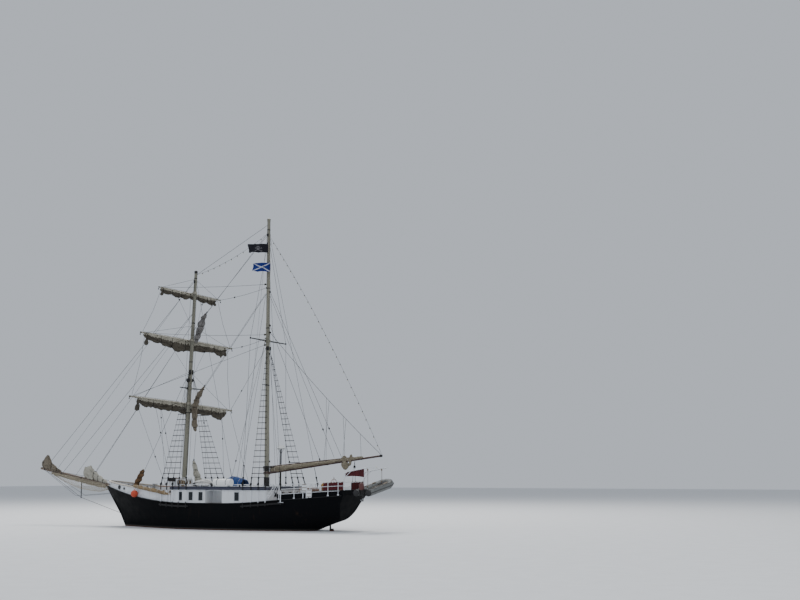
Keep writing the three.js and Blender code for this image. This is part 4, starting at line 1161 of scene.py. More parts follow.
@dataclass
class Hull:
    """The planked hull, its foredeck bulwark, cap rail and quarterdeck bulwark."""

    stem: tuple[Point, ...] = (
        (15.46, 3.05), (15.16, 2.6), (14.62, 2.02), (14.06, 1.33), (13.72, 0.65), (13.45, 0.0)
    )
    well_aft: float = -1.8
    well_fore: float = 6.7
    well_half: float = 2.35
    sole_low: float = 1.0
    lining_low: float = 1.15
    deck_low: float = 1.9
    bead_aft: float = 6.95
    timbers: tuple[float, float] = (7.3, 14.2)
    ports: tuple[float, ...] = (8.1, 9.8, 11.5)
    hawse: tuple[Point, ...] = ((13.0, 0.14), (12.3, 0.07))
    fairleads: tuple[float, ...] = (-6.9, -3.3, 9.2)
    horns: tuple[Point, ...] = ((-0.17, 0.03), (-0.06, -0.02), (0.06, -0.02), (0.17, 0.03))
    flat: float = 0.7
    frame_step: float = 0.86

    def sort(self, middle: Vector, normal: Vector) -> int:
        """Returns the finish of a hull face: topsides, deck, cabin sole or cabin lining.

        Args:
            middle: the face's middle.
            normal: its normal.

        Returns:
            The finish's number.
        """
        in_well = self.well_aft < middle.x < self.well_fore and abs(middle.y) < self.well_half
        inward = abs(normal.z) < self.flat and middle.y * normal.y <= 0.001
        if normal.z > self.flat and middle.z > self.deck_low:
            return 1
        if in_well and normal.z > self.flat and middle.z > self.sole_low:
            return 2
        if in_well and inward and middle.z > self.lining_low:
            return 3
        return 0

    def bulwark_side(self, middle: Vector, normal: Vector) -> int:
        """Returns 0 for the outside or an edge of a bulwark and 1 for its inside."""
        return 1 if middle.y * normal.y < -0.01 else 0

    def dress_solids(self) -> None:
        """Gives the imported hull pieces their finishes."""
        dress("hull", (Look.TOPSIDES, Look.DECK, Look.SOLE, Look.LINING), self.sort, 28.0)
        dress("fore_bulwark", Look.BULWARK)
        dress("fore_cap_rail", Look.RAIL)
        dress("quarter_bulwark", (Look.TOPSIDES, Look.WHITE), self.bulwark_side)

    def mouldings(self) -> None:
        """Adds the sheer moulding, the bulwark's bead and the quarter's cap."""
        builder = Builder()
        for _, side in SIDES:
            sheer = [EDGE.at(x, side, 0.004) - up(0.02) for x in spread(-7.5, 15.0, 60)]
            builder.tube(sheer, 0.028, 8)
            cap = [EDGE.at(x, side, -0.012, EDGE.quarter_top(x) + 0.012) for x in spread(-7.35, -2.6, 24)]
            builder.tube(cap, 0.034, 8)
        builder.piece("sheer_mouldings", Look.BLACK, slot="black_hull_paint")
        builder = Builder()
        for _, side in SIDES:
            points = [EDGE.at(x, side, 0.018, EDGE.cap_top(x) - 0.1) for x in spread(self.bead_aft, 15.1, 44)]
            builder.tube(points, 0.017, 8)
            points = [EDGE.at(x, side, 0.012, EDGE.deck(x) + 0.075) for x in spread(self.bead_aft, 15.0, 44)]
            builder.tube(points, 0.015, 8)
        builder.piece("bulwark_beads", Look.BULWARK, slot="white_paint")

    def frames(self) -> None:
        """Adds the timber heads inside the bulwarks, the waterway and the freeing ports' frames."""
        builder = Builder()
        for _, side in SIDES:
            x, last = self.timbers
            while x < last:
                foot = EDGE.at(x, side, -0.11)
                head = EDGE.at(x, side, -0.11, EDGE.cap_top(x) - 0.085)
                builder.block(foot + Vector((-0.05, -0.045, 0)), head + Vector((0.05, 0.045, 0)), 0.01)
                x += self.frame_step
            builder.tube([EDGE.at(x, side, -0.2) + up(0.02) for x in spread(7.0, 13.9, 30)], 0.045, 6)
            for x in self.ports:
                low, high = EDGE.at(x - 0.2, side, 0.004), EDGE.at(x + 0.2, side, 0.004)
                lift = up(0.11)
                builder.tube(
                    [low + lift, high + lift, high + lift * 2.1, low + lift * 2.1, low + lift], 0.014, 6
                )
        builder.piece("bulwark_timbers", Look.BULWARK, slot="white_paint")

    def iron(self) -> None:
        """Adds hawse rings, fairleads and the stem's iron."""
        builder = Builder()
        for _, side in SIDES:
            for x, size in self.hawse:
                out = EDGE.at(x, side, 0.022, (EDGE.deck(x) + EDGE.cap_top(x)) / 2)
                way = Vector((0.3, side, 0))
                builder.hoop(out, way, size, 0.024, 18)
                builder.use(1).lathe(
                    out - way.normalized() * 0.012, way, [(0, size * 0.98), (0.01, size * 0.98)], 16
                )
                builder.use(0)
            for x in self.fairleads:
                top = EDGE.quarter_top(x) if x < 0 else EDGE.cap_top(x)
                middle = EDGE.at(x, side, -0.03, top + 0.05)
                builder.tube([middle + Vector((dx, 0, dz)) for dx, dz in self.horns], 0.028, 8)
        builder.tube([(x, 0, z) for x, z in self.stem], 0.03, 8)
        builder.piece("hull_iron", (Look.BLACK, Look.RUBBER), slot="black_hull_paint")

    def build(self) -> None:
        """Builds and dresses the hull."""
        self.dress_solids()
        self.mouldings()
        self.frames()
        self.iron()


@dataclass
class DeckHouse:
    """The deckhouse, its doors, windows, roof and what stands on the roof."""

    level: float = 0.8
    side_windows: tuple[float, ...] = (5.88, 4.88, 3.96, 0.76)
    side_size: tuple[float, float, float] = (0.225, 2.13, 2.8)
    end_windows: tuple[float, ...] = (-1.5, -0.5, 0.5, 1.5)
    end_size: tuple[float, float, float] = (0.23, 2.42, 2.8)
    fore_wall: float = 6.8
    after_wall: float = -1.76
    door: tuple[float, float, float, float] = (2.443, 3.127, 2.0, 2.88)
    roof: float = 3.19
    door_face: float = 1.9705
    porch: tuple[float, float, float] = (2.78, 2.02, 3.56)
    gutter: tuple[float, float] = (-1.7, 6.7)
    vents: tuple[tuple[float, float], ...] = ((-1.2, 0.9), (1.3, -1.7), (5.4, -1.6))
    vent: tuple[Point, ...] = (
        (0, 0.1), (0.02, 0.1), (0.03, 0.055), (0.13, 0.055), (0.14, 0.13), (0.17, 0.12), (0.2, 0.06),
        (0.21, 0.01)
    )
    liferaft: tuple[float, float, float] = (2.6, 3.47, 0.29)
    cover_size: tuple[int, int] = (40, 46)
    cover_width: float = 2.3
    folds: tuple[tuple[Point, ...], ...] = (
        (
            (4.45, 0.9, 3.38, 0.22, 0.17), (4.9, 1.0, 3.45, 0.36, 0.24), (5.3, 0.95, 3.44, 0.4, 0.24),
            (5.7, 1.0, 3.4, 0.3, 0.2), (6.0, 0.95, 3.33, 0.14, 0.12)
        ),
        (
            (4.5, 1.3, 3.3, 0.14, 0.1), (4.8, 1.35, 3.33, 0.19, 0.13), (5.15, 1.32, 3.32, 0.17, 0.12),
            (5.45, 1.3, 3.29, 0.1, 0.08)
        )
    )
    bags: tuple[Point, ...] = ((5.85, 1.15, 0.19), (4.3, 1.15, 0.16), (5.62, 0.35, 0.2))
    bag_shape: tuple[Point, ...] = ((0.0, 0.5), (0.2, 0.95), (0.5, 1.05), (0.8, 0.95), (1.0, 0.4))
    post: tuple[float, float] = (-0.15, -1.65)
    dome_low: float = 5.98

    def roof_side(self, middle: Vector, normal: Vector) -> int:
        """Returns 0 for the roof's fascia, 1 for its top and 2 for its underside."""
        return 1 if normal.z > self.level else 2 if normal.z < -self.level else 0

    def wall_side(self, middle: Vector, normal: Vector) -> int:
        """Returns 0 for the outside of a wall and 1 for its inside."""
        return 1 if middle.y * normal.y < 0 and abs(normal.y) > 0.5 else 0

    def wall(self, x: float, side: int, out: float, z: float) -> Vector:
        """Returns a point on the outside of a side wall, moved out."""
        return Vector((x, side * (EDGE.half(x) - 0.04 + out), z))

    def window(
        self, frame_builder: Builder, pane_builder: Builder, corners: Sequence[Vector], out: Vector
    ) -> None:
        """Adds a window's frame, its pane and its drip moulding.

        Args:
            frame_builder: where the frame goes.
            pane_builder: where the pane goes.
            corners: its four corners in order, on the wall's face.
            out: which way is outside.
        """
        ring = [*corners, corners[0]]
        frame_builder.use(0)
        for a, b in zip(ring, ring[1:]):
            spare = (b - a).normalized() * 0.02
            frame_builder.tube([a - spare, b + spare], 0.03, 4)
            frame_builder.tube([a + out * 0.012, b + out * 0.012], 0.017, 6)
        top, other = corners[2] + up(0.055), corners[3] + up(0.055)
        frame_builder.tube(
            [top + out * 0.02 + (top - other) * 0.06, other + out * 0.02 + (other - top) * 0.06], 0.016, 6
        )
        pane_builder.skin([[c - out * 0.035 for c in corners], [c - out * 0.022 for c in corners]])

    def windows(self) -> None:
        """Makes every window."""
        frames, panes = Builder(), Builder()
        half, low, high = self.side_size
        for x in self.side_windows:
            for _, side in SIDES:
                corners = [self.wall(x + far, side, 0, z) for far, z in square(half, low, high)]
                self.window(frames, panes, corners, Vector((0, side, 0)))
        half, low, high = self.end_size
        for x, way in ((self.fore_wall, 1), (self.after_wall, -1)):
            for y in self.end_windows:
                corners = [Vector((x, y + far, z)) for far, z in square(half, low, high)]
                self.window(frames, panes, corners, Vector((way, 0, 0)))
        frames.piece("window_frames", Look.WHITE, slot="white_paint")
        panes.piece("window_panes", Look.GLASS, slot="black_plastic")

    def doors(self) -> None:
        """Adds each door's stiles, panels, light and handle, and the arch along the porch's top."""
        aft, fore, low, high = self.door
        for name, side in SIDES:
            face = side * self.door_face
            builder = Builder()
            foot, head, stile = low + 0.02, high - 0.02, fore - 0.1
            strips = [(aft + 0.055, aft + 0.12, foot, head), (stile, fore - 0.02, foot, head)]
            strips += [
                (aft + 0.12, stile, z, top)
                for z, top in ((foot, low + 0.12), (2.36, 2.44), (high - 0.1, head))
            ]
            for x0, x1, z0, z1 in strips:
                builder.block((x0, face, z0), (x1, face + side * 0.006, z1), 0.003)
            builder.use(1).block(
                (aft + 0.14, face, 2.46), (fore - 0.12, face + side * 0.003, high - 0.12), 0.001
            )
            builder.use(2).lathe(
                (fore - 0.06, face + side * 0.004, 2.4), (0, side, 0), [(0, 0.02), (0.004, 0.022)], 10
            )
            builder.piece(f"{name}_door_panels", (Look.WHITE, Look.GLASS, Look.BRONZE), f"{name}_door")
            builder = Builder()
            middle, after, ahead = self.porch
            curtain = [
                self.wall(x, side, -0.05, 2.94 - 0.16 * abs((x - middle) / 0.8) ** 2.2)
                for x in spread(after, ahead, 15)
            ]
            builder.tube(curtain, 0.028, 6)
            builder.piece(f"{name}_porch_arch", Look.WHITE, slot="white_paint")

    def boards(self) -> None:
        """Adds the wall's sill, its corner posts and its vertical battens."""
        builder = Builder()
        for _, side in SIDES:
            for low, high in ((-1.7, 1.9), (3.6, 6.75)):
                for z, thick in ((1.995, 0.024), (2.9, 0.02)):
                    points = [
                        self.wall(x, side, 0.008, z + (EDGE.deck(x) - 1.97 if z < 2.2 else 0))
                        for x in spread(low, high, 12)
                    ]
                    builder.tube(points, thick, 6)
            for x in (-1.72, -0.5, 1.5, 1.93, 3.55, 4.42, 5.38, 6.4, 6.76):
                builder.tube([self.wall(x, side, 0.006, z) for z in (EDGE.deck(x) + 0.02, 2.94)], 0.016, 6)
        builder.piece("house_battens", Look.WHITE, slot="white_paint")

    def roof_rails(self) -> None:
        """Adds the roof's grab rails, its beads and its vents."""
        builder = Builder()
        for _, side in SIDES:
            for low, high, inset in ((-1.5, 1.1, 0.16), (3.2, 6.4, 0.16), (-0.6, 1.6, 1.35)):
                points = [EDGE.at(x, side, -inset, self.roof + 0.13) for x in spread(low, high, 8)]
                builder.tube(points, 0.021, 6)
                for point in points[::2]:
                    builder.lathe(point - up(0.14), UP, [(0, 0.045), (0.02, 0.04), (0.13, 0.02)], 8)
        builder.piece("roof_grab_rails", Look.WHITE, slot="white_paint")
        builder = Builder()
        for _, side in SIDES:
            for out, z, thick in ((0.045, self.roof - 0.012, 0.016), (0.048, 2.962, 0.013)):
                builder.tube([EDGE.at(x, side, out, z) for x in spread(*self.gutter, 26)], thick, 6)
        builder.piece("roof_beads", Look.FASCIA, slot="navy_paint")
        builder = Builder()
        for x, y in self.vents:
            builder.lathe((x, y, self.roof - 0.01), UP, self.vent, 16)
        builder.piece("roof_vents", Look.WHITE, slot="white_paint")

    def raft(self) -> None:
        """Dresses the liferaft and adds its bands, seam and painter."""
        dress("port_liferaft", Look.GEL)
        builder = Builder()
        y, z, reach = self.liferaft
        for x in (1.75, 2.55):
            builder.hoop((x, y, z), AHEAD, reach + 0.004, 0.018, 24)
        builder.use(1)
        for side in (1, -1):
            builder.tube([(x, y + side * (reach + 0.003), z) for x in (1.42, 2.15, 2.88)], 0.014, 6)
        builder.use(0).tube(
            [(2.9, 2.6, 3.45), (3.0, 2.62, 3.3), (3.05, 2.7, 3.2), (3.2, 2.72, 3.2)], 0.011, 6
        )
        builder.piece("raft_bands", (Look.RUBBER, Look.GEL), slot="black_plastic")

    def cover(self) -> None:
        """Makes the blue cloth drawn over the gear on the roof, with its cord."""
        builder, grid = Builder(), []
        rows, columns = self.cover_size
        for u in spread(-1, 1, rows):
            line = []
            for v in spread(-1, 1, columns):
                x = 3.05 + u * 1.14 + 0.03 * noise.noise(Vector((u * 3, v * 3, 1)))
                half = 0.62 - 0.1 * (u > 0.3) * (u - 0.3)
                y = 0.1 + v * half + 0.03 * noise.noise(Vector((u * 3, v * 3, 7)))
                hump = 0.62 * max(0.0, 1 - abs(u + 0.35) ** 2.6) ** 0.8
                ridge = hump + 0.16 * max(0.0, 1 - abs(u - 0.55) ** 3)
                swell = ridge * max(0.0, 1 - abs(v) ** 3.2)
                fold = 0.03 * sin(8 * v + 5 * noise.noise(Vector((u * 1.6, v, 3)))) * (1 - swell)
                ripple = 0.05 * noise.noise(Vector((u * 3.4, v * 4.2, 11)))
                lift = max(0.0, swell + fold * (abs(v) < 0.97) + ripple * swell)
                line.append(Vector((x, y, self.roof + 0.012 + lift)))
            grid.append(line)
        builder.sheet(grid)
        made = builder.piece(
            "roof_cover_cloth", Look.TARP, slot="blue_tarpaulin", stands_for=("roof_locker",)
        )
        lay_out(made, self.cover_width, "draped", ("deckhouse_roof",))
        cord = Builder()
        for u in (-0.75, -0.2, 0.35):
            i = round((u + 1) / 2 * (rows - 1))
            cord.tube([p + up(0.008) for p in grid[i]], 0.009, 5)
        cord.piece("cover_cords", Look.PALE_ROPE)

    def heap(self) -> None:
        """Makes the pale sail heaped on the roof."""
        builder = Builder()
        for seed, rows in enumerate(self.folds):
            line = tuple((Vector((x, y, z)), half, deep) for x, y, z, half, deep in rows)
            Bundle(line, ACROSS, DOWN, (0.45,), 70.0 + seed, 0.26, 0.0, 0.2, 0.04).cloth(builder)
        made = builder.piece("roof_heap_cloth", Look.SHADE, slot="white_canvas", stands_for=("roof_bundle",))
        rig.padded(made, 0.3)

    def dark_bags(self) -> None:
        """Makes the dark bags that lie on the roof."""
        for number, (x, y, size) in enumerate(self.bags):
            z = self.roof + size * 0.7
            rows = tuple(
                (Vector((x - size * 1.2 + 2.4 * size * t, y, z)), size * wide, size * 0.68 * wide)
                for t, wide in self.bag_shape
            )
            bag = Builder()
            Bundle(rows, ACROSS, DOWN, (0.86,), 80.0 + number, 0.08, 0.0, 0.4, 0.03, 22).cloth(bag)
            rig.padded(bag.piece(f"roof_bag_{number}", Look.BAG), 0.7)

    def dome_side(self, middle: Vector, normal: Vector) -> int:
        """Returns 0 for the top and sides of the radar's dome, and 1 for the post and for the dome's underside, which
        is painted black as shade.
        """
        return 0 if middle.z > self.dome_low and normal.z > -0.5 else 1

    def radar(self) -> None:
        """Dresses the radar post and adds its bracket, band and cable."""
        # The dome's underside takes black enamel as painted shade; the post below it is black too.
        dress("radar_mast", (Look.GEL, Look.BLACK), self.dome_side)
        builder = Builder()
        foot = Vector((*self.post, self.roof))
        builder.lathe(foot, UP, [(0, 0.13), (0.02, 0.13), (0.03, 0.075), (0.1, 0.068)], 14)
        builder.hoop(foot + up(2.83), UP, 0.29, 0.022, 28)
        builder.tube([foot + Vector((0.06, 0.05, z)) for z in (0.0, 0.9, 1.8, 2.75)], 0.011, 6)
        for turn in range(3):
            out = Vector((cos(turn * 2.1), sin(turn * 2.1), 0))
            builder.tube([foot + out * 0.05 + up(2.5), foot + out * 0.2 + up(2.78)], 0.014, 6)
        builder.piece("radar_fittings", Look.BLACK)

    def build(self) -> None:
        """Builds and dresses the deckhouse."""
        dress("deckhouse_walls", (Look.WHITE, Look.LINING), self.wall_side)
        dress("deckhouse_roof", (Look.FASCIA, Look.ROOF, Look.WHITE), self.roof_side)
        dress("port_door", Look.WHITE)
        dress("starboard_door", Look.WHITE)
        self.windows()
        self.doors()
        self.boards()
        self.roof_rails()
        self.raft()
        self.cover()
        self.heap()
        self.dark_bags()
        self.radar()


@dataclass(frozen=True)
class Bundle:
    """Gathered cloth along a line, folded lengthwise and pinched by its ties.

    rows: middle of the section, half across, half deep.
    """

    rows: tuple[Section, ...]
    across: Vector
    deep: Vector
    ties: tuple[float, ...]
    seed: float
    fold: float = 0.13
    scallop: float = 0.0
    pinch: float = 0.34
    step: float = 0.05
    ring: int = 34
    # Level above which faces on the upper side take a lighter finish, painted as light from above; 1.0 leaves none.
    crown: float = 1.0

    @property
    def length(self) -> float:
        """How long the line is."""
        return sum((b[0] - a[0]).length for a, b in zip(self.rows, self.rows[1:]))

    def section(self, share: float) -> Section:
        """Returns the middle, half across and half deep at a share of the rows.

        Args:
            share: from 0 at the first row to 1 at the last.

        Returns:
            The middle and both halves.
        """
        place = min(max(share, 0.0), 1.0) * (len(self.rows) - 1)
        low = min(int(place), len(self.rows) - 2)
        a, b, t = self.rows[low], self.rows[low + 1], place - low
        soft = t * t * (3 - 2 * t)
        return a[0].lerp(b[0], t), a[1] + (b[1] - a[1]) * soft, a[2] + (b[2] - a[2]) * soft

    def pinched(self, share: float) -> float:
        """Returns how far the nearest tie draws the section in."""
        near = min((abs(share - tie) for tie in self.ties), default=1.0) * self.length
        return 1.0 - self.pinch * exp(-((near / 0.09) ** 2))

    def swag(self, share: float) -> float:
        """Returns how far the cloth hangs between its ties, from 0 to 1.

        Args:
            share: the place along the line.

        Returns:
            The hang.
        """
        marks = sorted({0.0, 1.0, *self.ties})
        for low, high in zip(marks, marks[1:]):
            if low <= share <= high:
                return sin(pi * (share - low) / (high - low))
        return 0.0

    def outline(self, share: float, grow: float = 0.0) -> list[Vector]:
        """Returns the ring of points at a share, grown outwards.

        Args:
            share: the place along the line.
            grow: how far it stands off the cloth.

        Returns:
            The points.
        """
        middle, half, deep = self.section(share)
        drawn, hang = self.pinched(share), self.swag(share)
        end = min(1.0, 0.25 + 9.0 * min(share, 1.0 - share) ** 0.7)
        far = share * self.length
        points = []
        for k in range(self.ring):
            turn = tau * k / self.ring
            x, z = cos(turn), sin(turn)
            drift = noise.noise(Vector((far * 0.9, self.seed, 0.0)))
            pleat = sin(9 * turn + 5 * drift) * 0.6 + sin(15 * turn - 7 * drift + self.seed) * 0.4
            lump = noise.noise(Vector((far * 3.1 + self.seed, x * 1.7, z * 1.7)))
            small = noise.noise(Vector((far * 9.0 + self.seed, x * 4.0, z * 4.0)))
            size = drawn * end * (1 + self.fold * pleat + 0.3 * lump + 0.12 * small)
            low = 1 + self.scallop * (hang - 0.55 + 0.5 * lump) * max(0.0, z)
            wide = half * size + grow
            points.append(middle + self.across * x * wide + self.deep * z * (deep * size * low + grow))
        return points

    def cloth(self, builder: Builder) -> None:
        """Adds the cloth. Where the crown level is below 1, the upper side takes finish 2, a lighter copy of the cloth
        painted as light from above.

        Args:
            builder: where it goes.
        """
        count = max(12, round(self.length / self.step))
        first = len(builder.bm.faces)
        builder.skin([self.outline(share) for share in spread(0, 1, count)])
        for number, face in enumerate(list(builder.bm.faces)[first:first + self.ring * (count - 1)]):
            along, around = divmod(number, self.ring)
            ragged = 0.3 * noise.noise(Vector((along * 0.35, self.seed, 0.0)))
            # Painted light: faces on the bundle's upper side take the lighter finish 2.
            if self.crown < 1.0 and -sin(tau * (around + 0.5) / self.ring) > self.crown + ragged:
                face.material_index = 2

    def lashings(self, builder: Builder, thick: float = 0.009) -> None:
        """Adds two turns of rope round the cloth at each tie.

        Args:
            builder: where they go.
            thick: the rope's radius.
        """
        for tie in self.ties:
            for shift in (-0.5, 0.5):
                ring = self.outline(tie + shift * 0.028 / self.length, thick)
                builder.tube([*ring, ring[0]], thick, 5)


def horizontal(rows: Iterable[Point], line: Callable[[float], Vector]) -> tuple[Section, ...]:
    """Turns a table of place, half width, top and bottom above a line into a bundle's rows.

    Args:
        rows: the table.
        line: gives a point of the line at a place.

    Returns:
        The rows.
    """
    return tuple(
        (line(x) + up((top + bottom) / 2), half, (top - bottom) / 2) for x, half, top, bottom in rows
    )


@dataclass
class Sails:
    """The furled square sails, the stowed mainsail, the jibs and the staysails."""

    square: dict[str, tuple[Point, ...]] = field(default_factory=lambda: {
        "topgallant": (
            (-0.85, 0.07, 0.2), (-0.7, 0.13, 0.5), (-0.45, 0.14, 0.46), (-0.2, 0.13, 0.4), (0.0, 0.13, 0.42),
            (0.25, 0.14, 0.46), (0.5, 0.14, 0.42), (0.75, 0.13, 0.42), (0.95, 0.08, 0.32)
        ),
        "topsail": (
            (-0.88, 0.08, 0.32), (-0.75, 0.13, 0.8), (-0.56, 0.14, 0.54), (0.0, 0.18, 0.8), (0.2, 0.19, 0.94),
            (0.4, 0.17, 0.74), (0.55, 0.16, 0.62), (0.78, 0.14, 0.5), (0.94, 0.08, 0.28)
        ),
        "course": (
            (-0.89, 0.09, 0.4), (-0.74, 0.13, 0.86), (-0.55, 0.15, 0.6), (-0.3, 0.17, 0.6), (0.0, 0.18, 0.64),
            (0.3, 0.18, 0.66), (0.55, 0.16, 0.6), (0.72, 0.14, 0.6), (0.86, 0.09, 0.34)
        )
    })
    gathers: dict[str, tuple[float, float]] = field(default_factory=lambda: {
        "topgallant": (2.4, 0.4), "topsail": (1.3, 0.06), "course": (1.2, 0.08)
    })
    clews: tuple[tuple[str, float, float, float], ...] = (
        ("topgallant", 0.86, 0.62, 0.09), ("topsail", 0.85, 0.92, 0.11), ("course", 0.83, 1.02, 0.14),
        ("topgallant", -0.78, 0.55, 0.08), ("topsail", -0.82, 0.7, 0.1)
    )
    stow: tuple[Point, ...] = (
        (-0.28, 0.12, 0.43, -0.02), (-1.4, 0.2, 0.4, -0.02), (-3.2, 0.19, 0.33, -0.01),
        (-5.2, 0.16, 0.25, 0.0), (-6.9, 0.13, 0.21, 0.0), (-7.9, 0.11, 0.2, -0.02), (-8.3, 0.08, 0.16, -0.03)
    )
    jibs: dict[str, tuple[Point, ...]] = field(default_factory=lambda: {
        "outer_jib": (
            (22.68, 0.08, 0.55, 0.14), (22.4, 0.14, 0.92, 0.06), (21.95, 0.17, 1.22, 0.03),
            (21.7, 0.16, 0.78, 0.0), (21.35, 0.16, 0.5, 0.0), (20.9, 0.12, 0.3, 0.02),
            (20.5, 0.07, 0.22, 0.06)
        ),
        "inner_jib": (
            (18.1, 0.07, 0.66, 0.3), (17.85, 0.13, 0.98, 0.16), (17.48, 0.18, 1.15, 0.08),
            (17.1, 0.19, 0.94, 0.06), (16.75, 0.18, 0.74, 0.04), (16.3, 0.17, 0.56, 0.02),
            (15.9, 0.15, 0.38, 0.0), (15.5, 0.08, 0.24, 0.04)
        )
    })
    staysails: dict[str, tuple[Point, ...]] = field(default_factory=lambda: {
        "upper_staysail": (
            (6.02, 16.75, 0.08), (6.26, 16.4, 0.21), (6.52, 15.7, 0.26), (6.76, 15.0, 0.22),
            (6.92, 14.4, 0.13)
        ),
        "lower_staysail": (
            (6.02, 10.96, 0.07), (6.4, 10.45, 0.18), (6.74, 9.9, 0.2), (6.88, 9.3, 0.2), (6.92, 8.6, 0.2),
            (6.88, 7.9, 0.2), (6.78, 7.4, 0.09)
        ),
        "fore_staysail": (
            (12.7, 2.95, 0.09), (12.55, 3.2, 0.2), (12.33, 3.6, 0.24), (12.11, 4.0, 0.22), (11.95, 4.3, 0.17),
            (11.84, 4.5, 0.06)
        ),
        "deck_staysail": (
            (6.88, 5.15, 0.08), (6.8, 4.8, 0.16), (6.65, 4.3, 0.2), (6.47, 3.9, 0.25), (6.36, 3.55, 0.3),
            (6.32, 3.2, 0.32)
        )
    })

    def make(
        self, name: str, bundles: Sequence[Bundle], cloth: Look, rope: Look, body: str, slot: str
    ) -> None:
        """Makes one sail from its bundles, with its lashings, and hangs it on a body.

        Args:
            name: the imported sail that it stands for.
            bundles: its bundles.
            cloth: the cloth's finish.
            rope: the lashings' finish.
            body: the body.
            slot: the record's material slot.
        """
        builder = Builder()
        for bundle in bundles:
            builder.use(0)
            bundle.cloth(builder)
            builder.use(1)
            bundle.lashings(builder)
        # Furled square sails add a lighter copy of the cloth for their tops, painted as light from above.
        finishes = (cloth, rope, Look.SAIL_TOP) if bundles[0].crown < 1.0 else (cloth, rope)
        made = builder.piece(f"{name}_cloth", finishes, body, slot, (name,), 60.0)
        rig.padded(made, 0.35)

    def square_sail(self, yard: Yard, seed: float) -> None:
        """Makes a square sail that hangs clewed up below its yard, with its hanging corners.

        Args:
            yard: its yard.
            seed: the seed of its folds.
        """
        rows = []
        for share, half, deep in self.square[yard.name]:
            top = yard.at(share) - up(yard.girth(share) * 0.35)
            rows.append((top - up(deep / 2), half, deep / 2))
        often, scallop = self.gathers[yard.name]
        gaskets = tuple(spread(0.06, 0.94, round(yard.half * often)))
        bundles = [Bundle(tuple(rows), yard.forward, DOWN, gaskets, seed, 0.12, scallop, 0.16, crown=0.3)]
        for name, share, deep, half in self.clews:
            if name == yard.name:
                head = yard.at(share) - up(yard.girth(share) * 0.5)
                foot = head + yard.along * copysign(0.12, share)
                line = tuple(
                    (head.lerp(foot, t) + DOWN * deep * t, half * wide, half * wide * 1.1)
                    for t, wide in ((0.0, 0.6), (0.35, 0.9), (0.7, 1.25), (0.9, 1.1), (1.0, 0.35))
                )
                bundles.append(Bundle(line, yard.forward, yard.along, (0.3,), seed + 3, 0.18, 0.0, 0.45))
        # The cloth is darkened as painted shade, and its top takes a lighter copy as painted light.
        self.make(f"{yard.name}_sail", bundles, Look.SAIL, Look.ROPE, yard.name, "weathered_canvas")

    def mainsail(self) -> None:
        """Makes the mainsail, flaked down on its boom under the gaff, with its loose after end."""
        rows = horizontal(self.stow, on_boom)
        body = Bundle(rows, ACROSS, DOWN, tuple(spread(0.07, 0.95, 8)), 31.0, 0.12, 0.1, 0.1)
        leech = tuple(
            (on_boom(-6.72 - 0.1 * t) + up(0.42 - 1.05 * t), 0.17 * wide, 0.24 * wide)
            for t, wide in ((0.0, 0.4), (0.2, 0.9), (0.5, 1.1), (0.8, 0.9), (1.0, 0.4))
        )
        peak = tuple(
            (on_boom(-7.3 + 0.12 * t) + up(0.45 - 0.85 * t), 0.12 * wide, 0.14 * wide)
            for t, wide in ((0.0, 0.4), (0.4, 1.0), (0.8, 0.8), (1.0, 0.3))
        )
        loose = (
            Bundle(leech, ACROSS, AHEAD, (0.45,), 35.0, 0.2, 0.0, 0.3),
            Bundle(peak, ACROSS, AHEAD, (0.6,), 37.0, 0.2, 0.0, 0.3)
        )
        self.make(
            "stowed_mainsail", (body, *loose), Look.MAINSAIL, Look.PALE_ROPE, "boom", "weathered_canvas"
        )

    def head_sails(self) -> None:
        """Makes the jibs, furled in lumps along the bowsprit, and the staysails gathered on their stays."""
        for seed, (name, table) in enumerate(self.jibs.items()):
            bundle = Bundle(
                horizontal(table, on_bowsprit), ACROSS, DOWN, ((0.12, 0.56, 0.8), (0.5, 0.66, 0.84))[seed],
                40.0 + seed, 0.2, 0.0, 0.26, 0.04
            )
            self.make(
                name, (bundle,), Look.JIB if seed else Look.SAIL_PALE, Look.ROPE, "ship", "white_canvas"
            )
        for seed, (name, table) in enumerate(self.staysails.items()):
            rows = tuple((Vector((x, 0, z)), r, r) for x, z, r in table)
            ties = (0.12, 0.35, 0.62) if name == "deck_staysail" else (0.1, 0.3, 0.5, 0.72, 0.9)
            bundle = Bundle(rows, ACROSS, AHEAD, ties, 50.0 + seed, 0.2, 0.0, 0.24, 0.045)
            cloth = (Look.JIB_GREY, Look.SAIL_PALE, Look.BROWN, Look.JIB)[seed]
            self.make(name, (bundle,), cloth, Look.ROPE, "ship", "white_canvas")

    def build(self) -> None:
        """Builds every sail."""
        for seed, yard in enumerate(YARDS):
            self.square_sail(yard, 11.0 + 5 * seed)
        self.mainsail()
        self.head_sails()


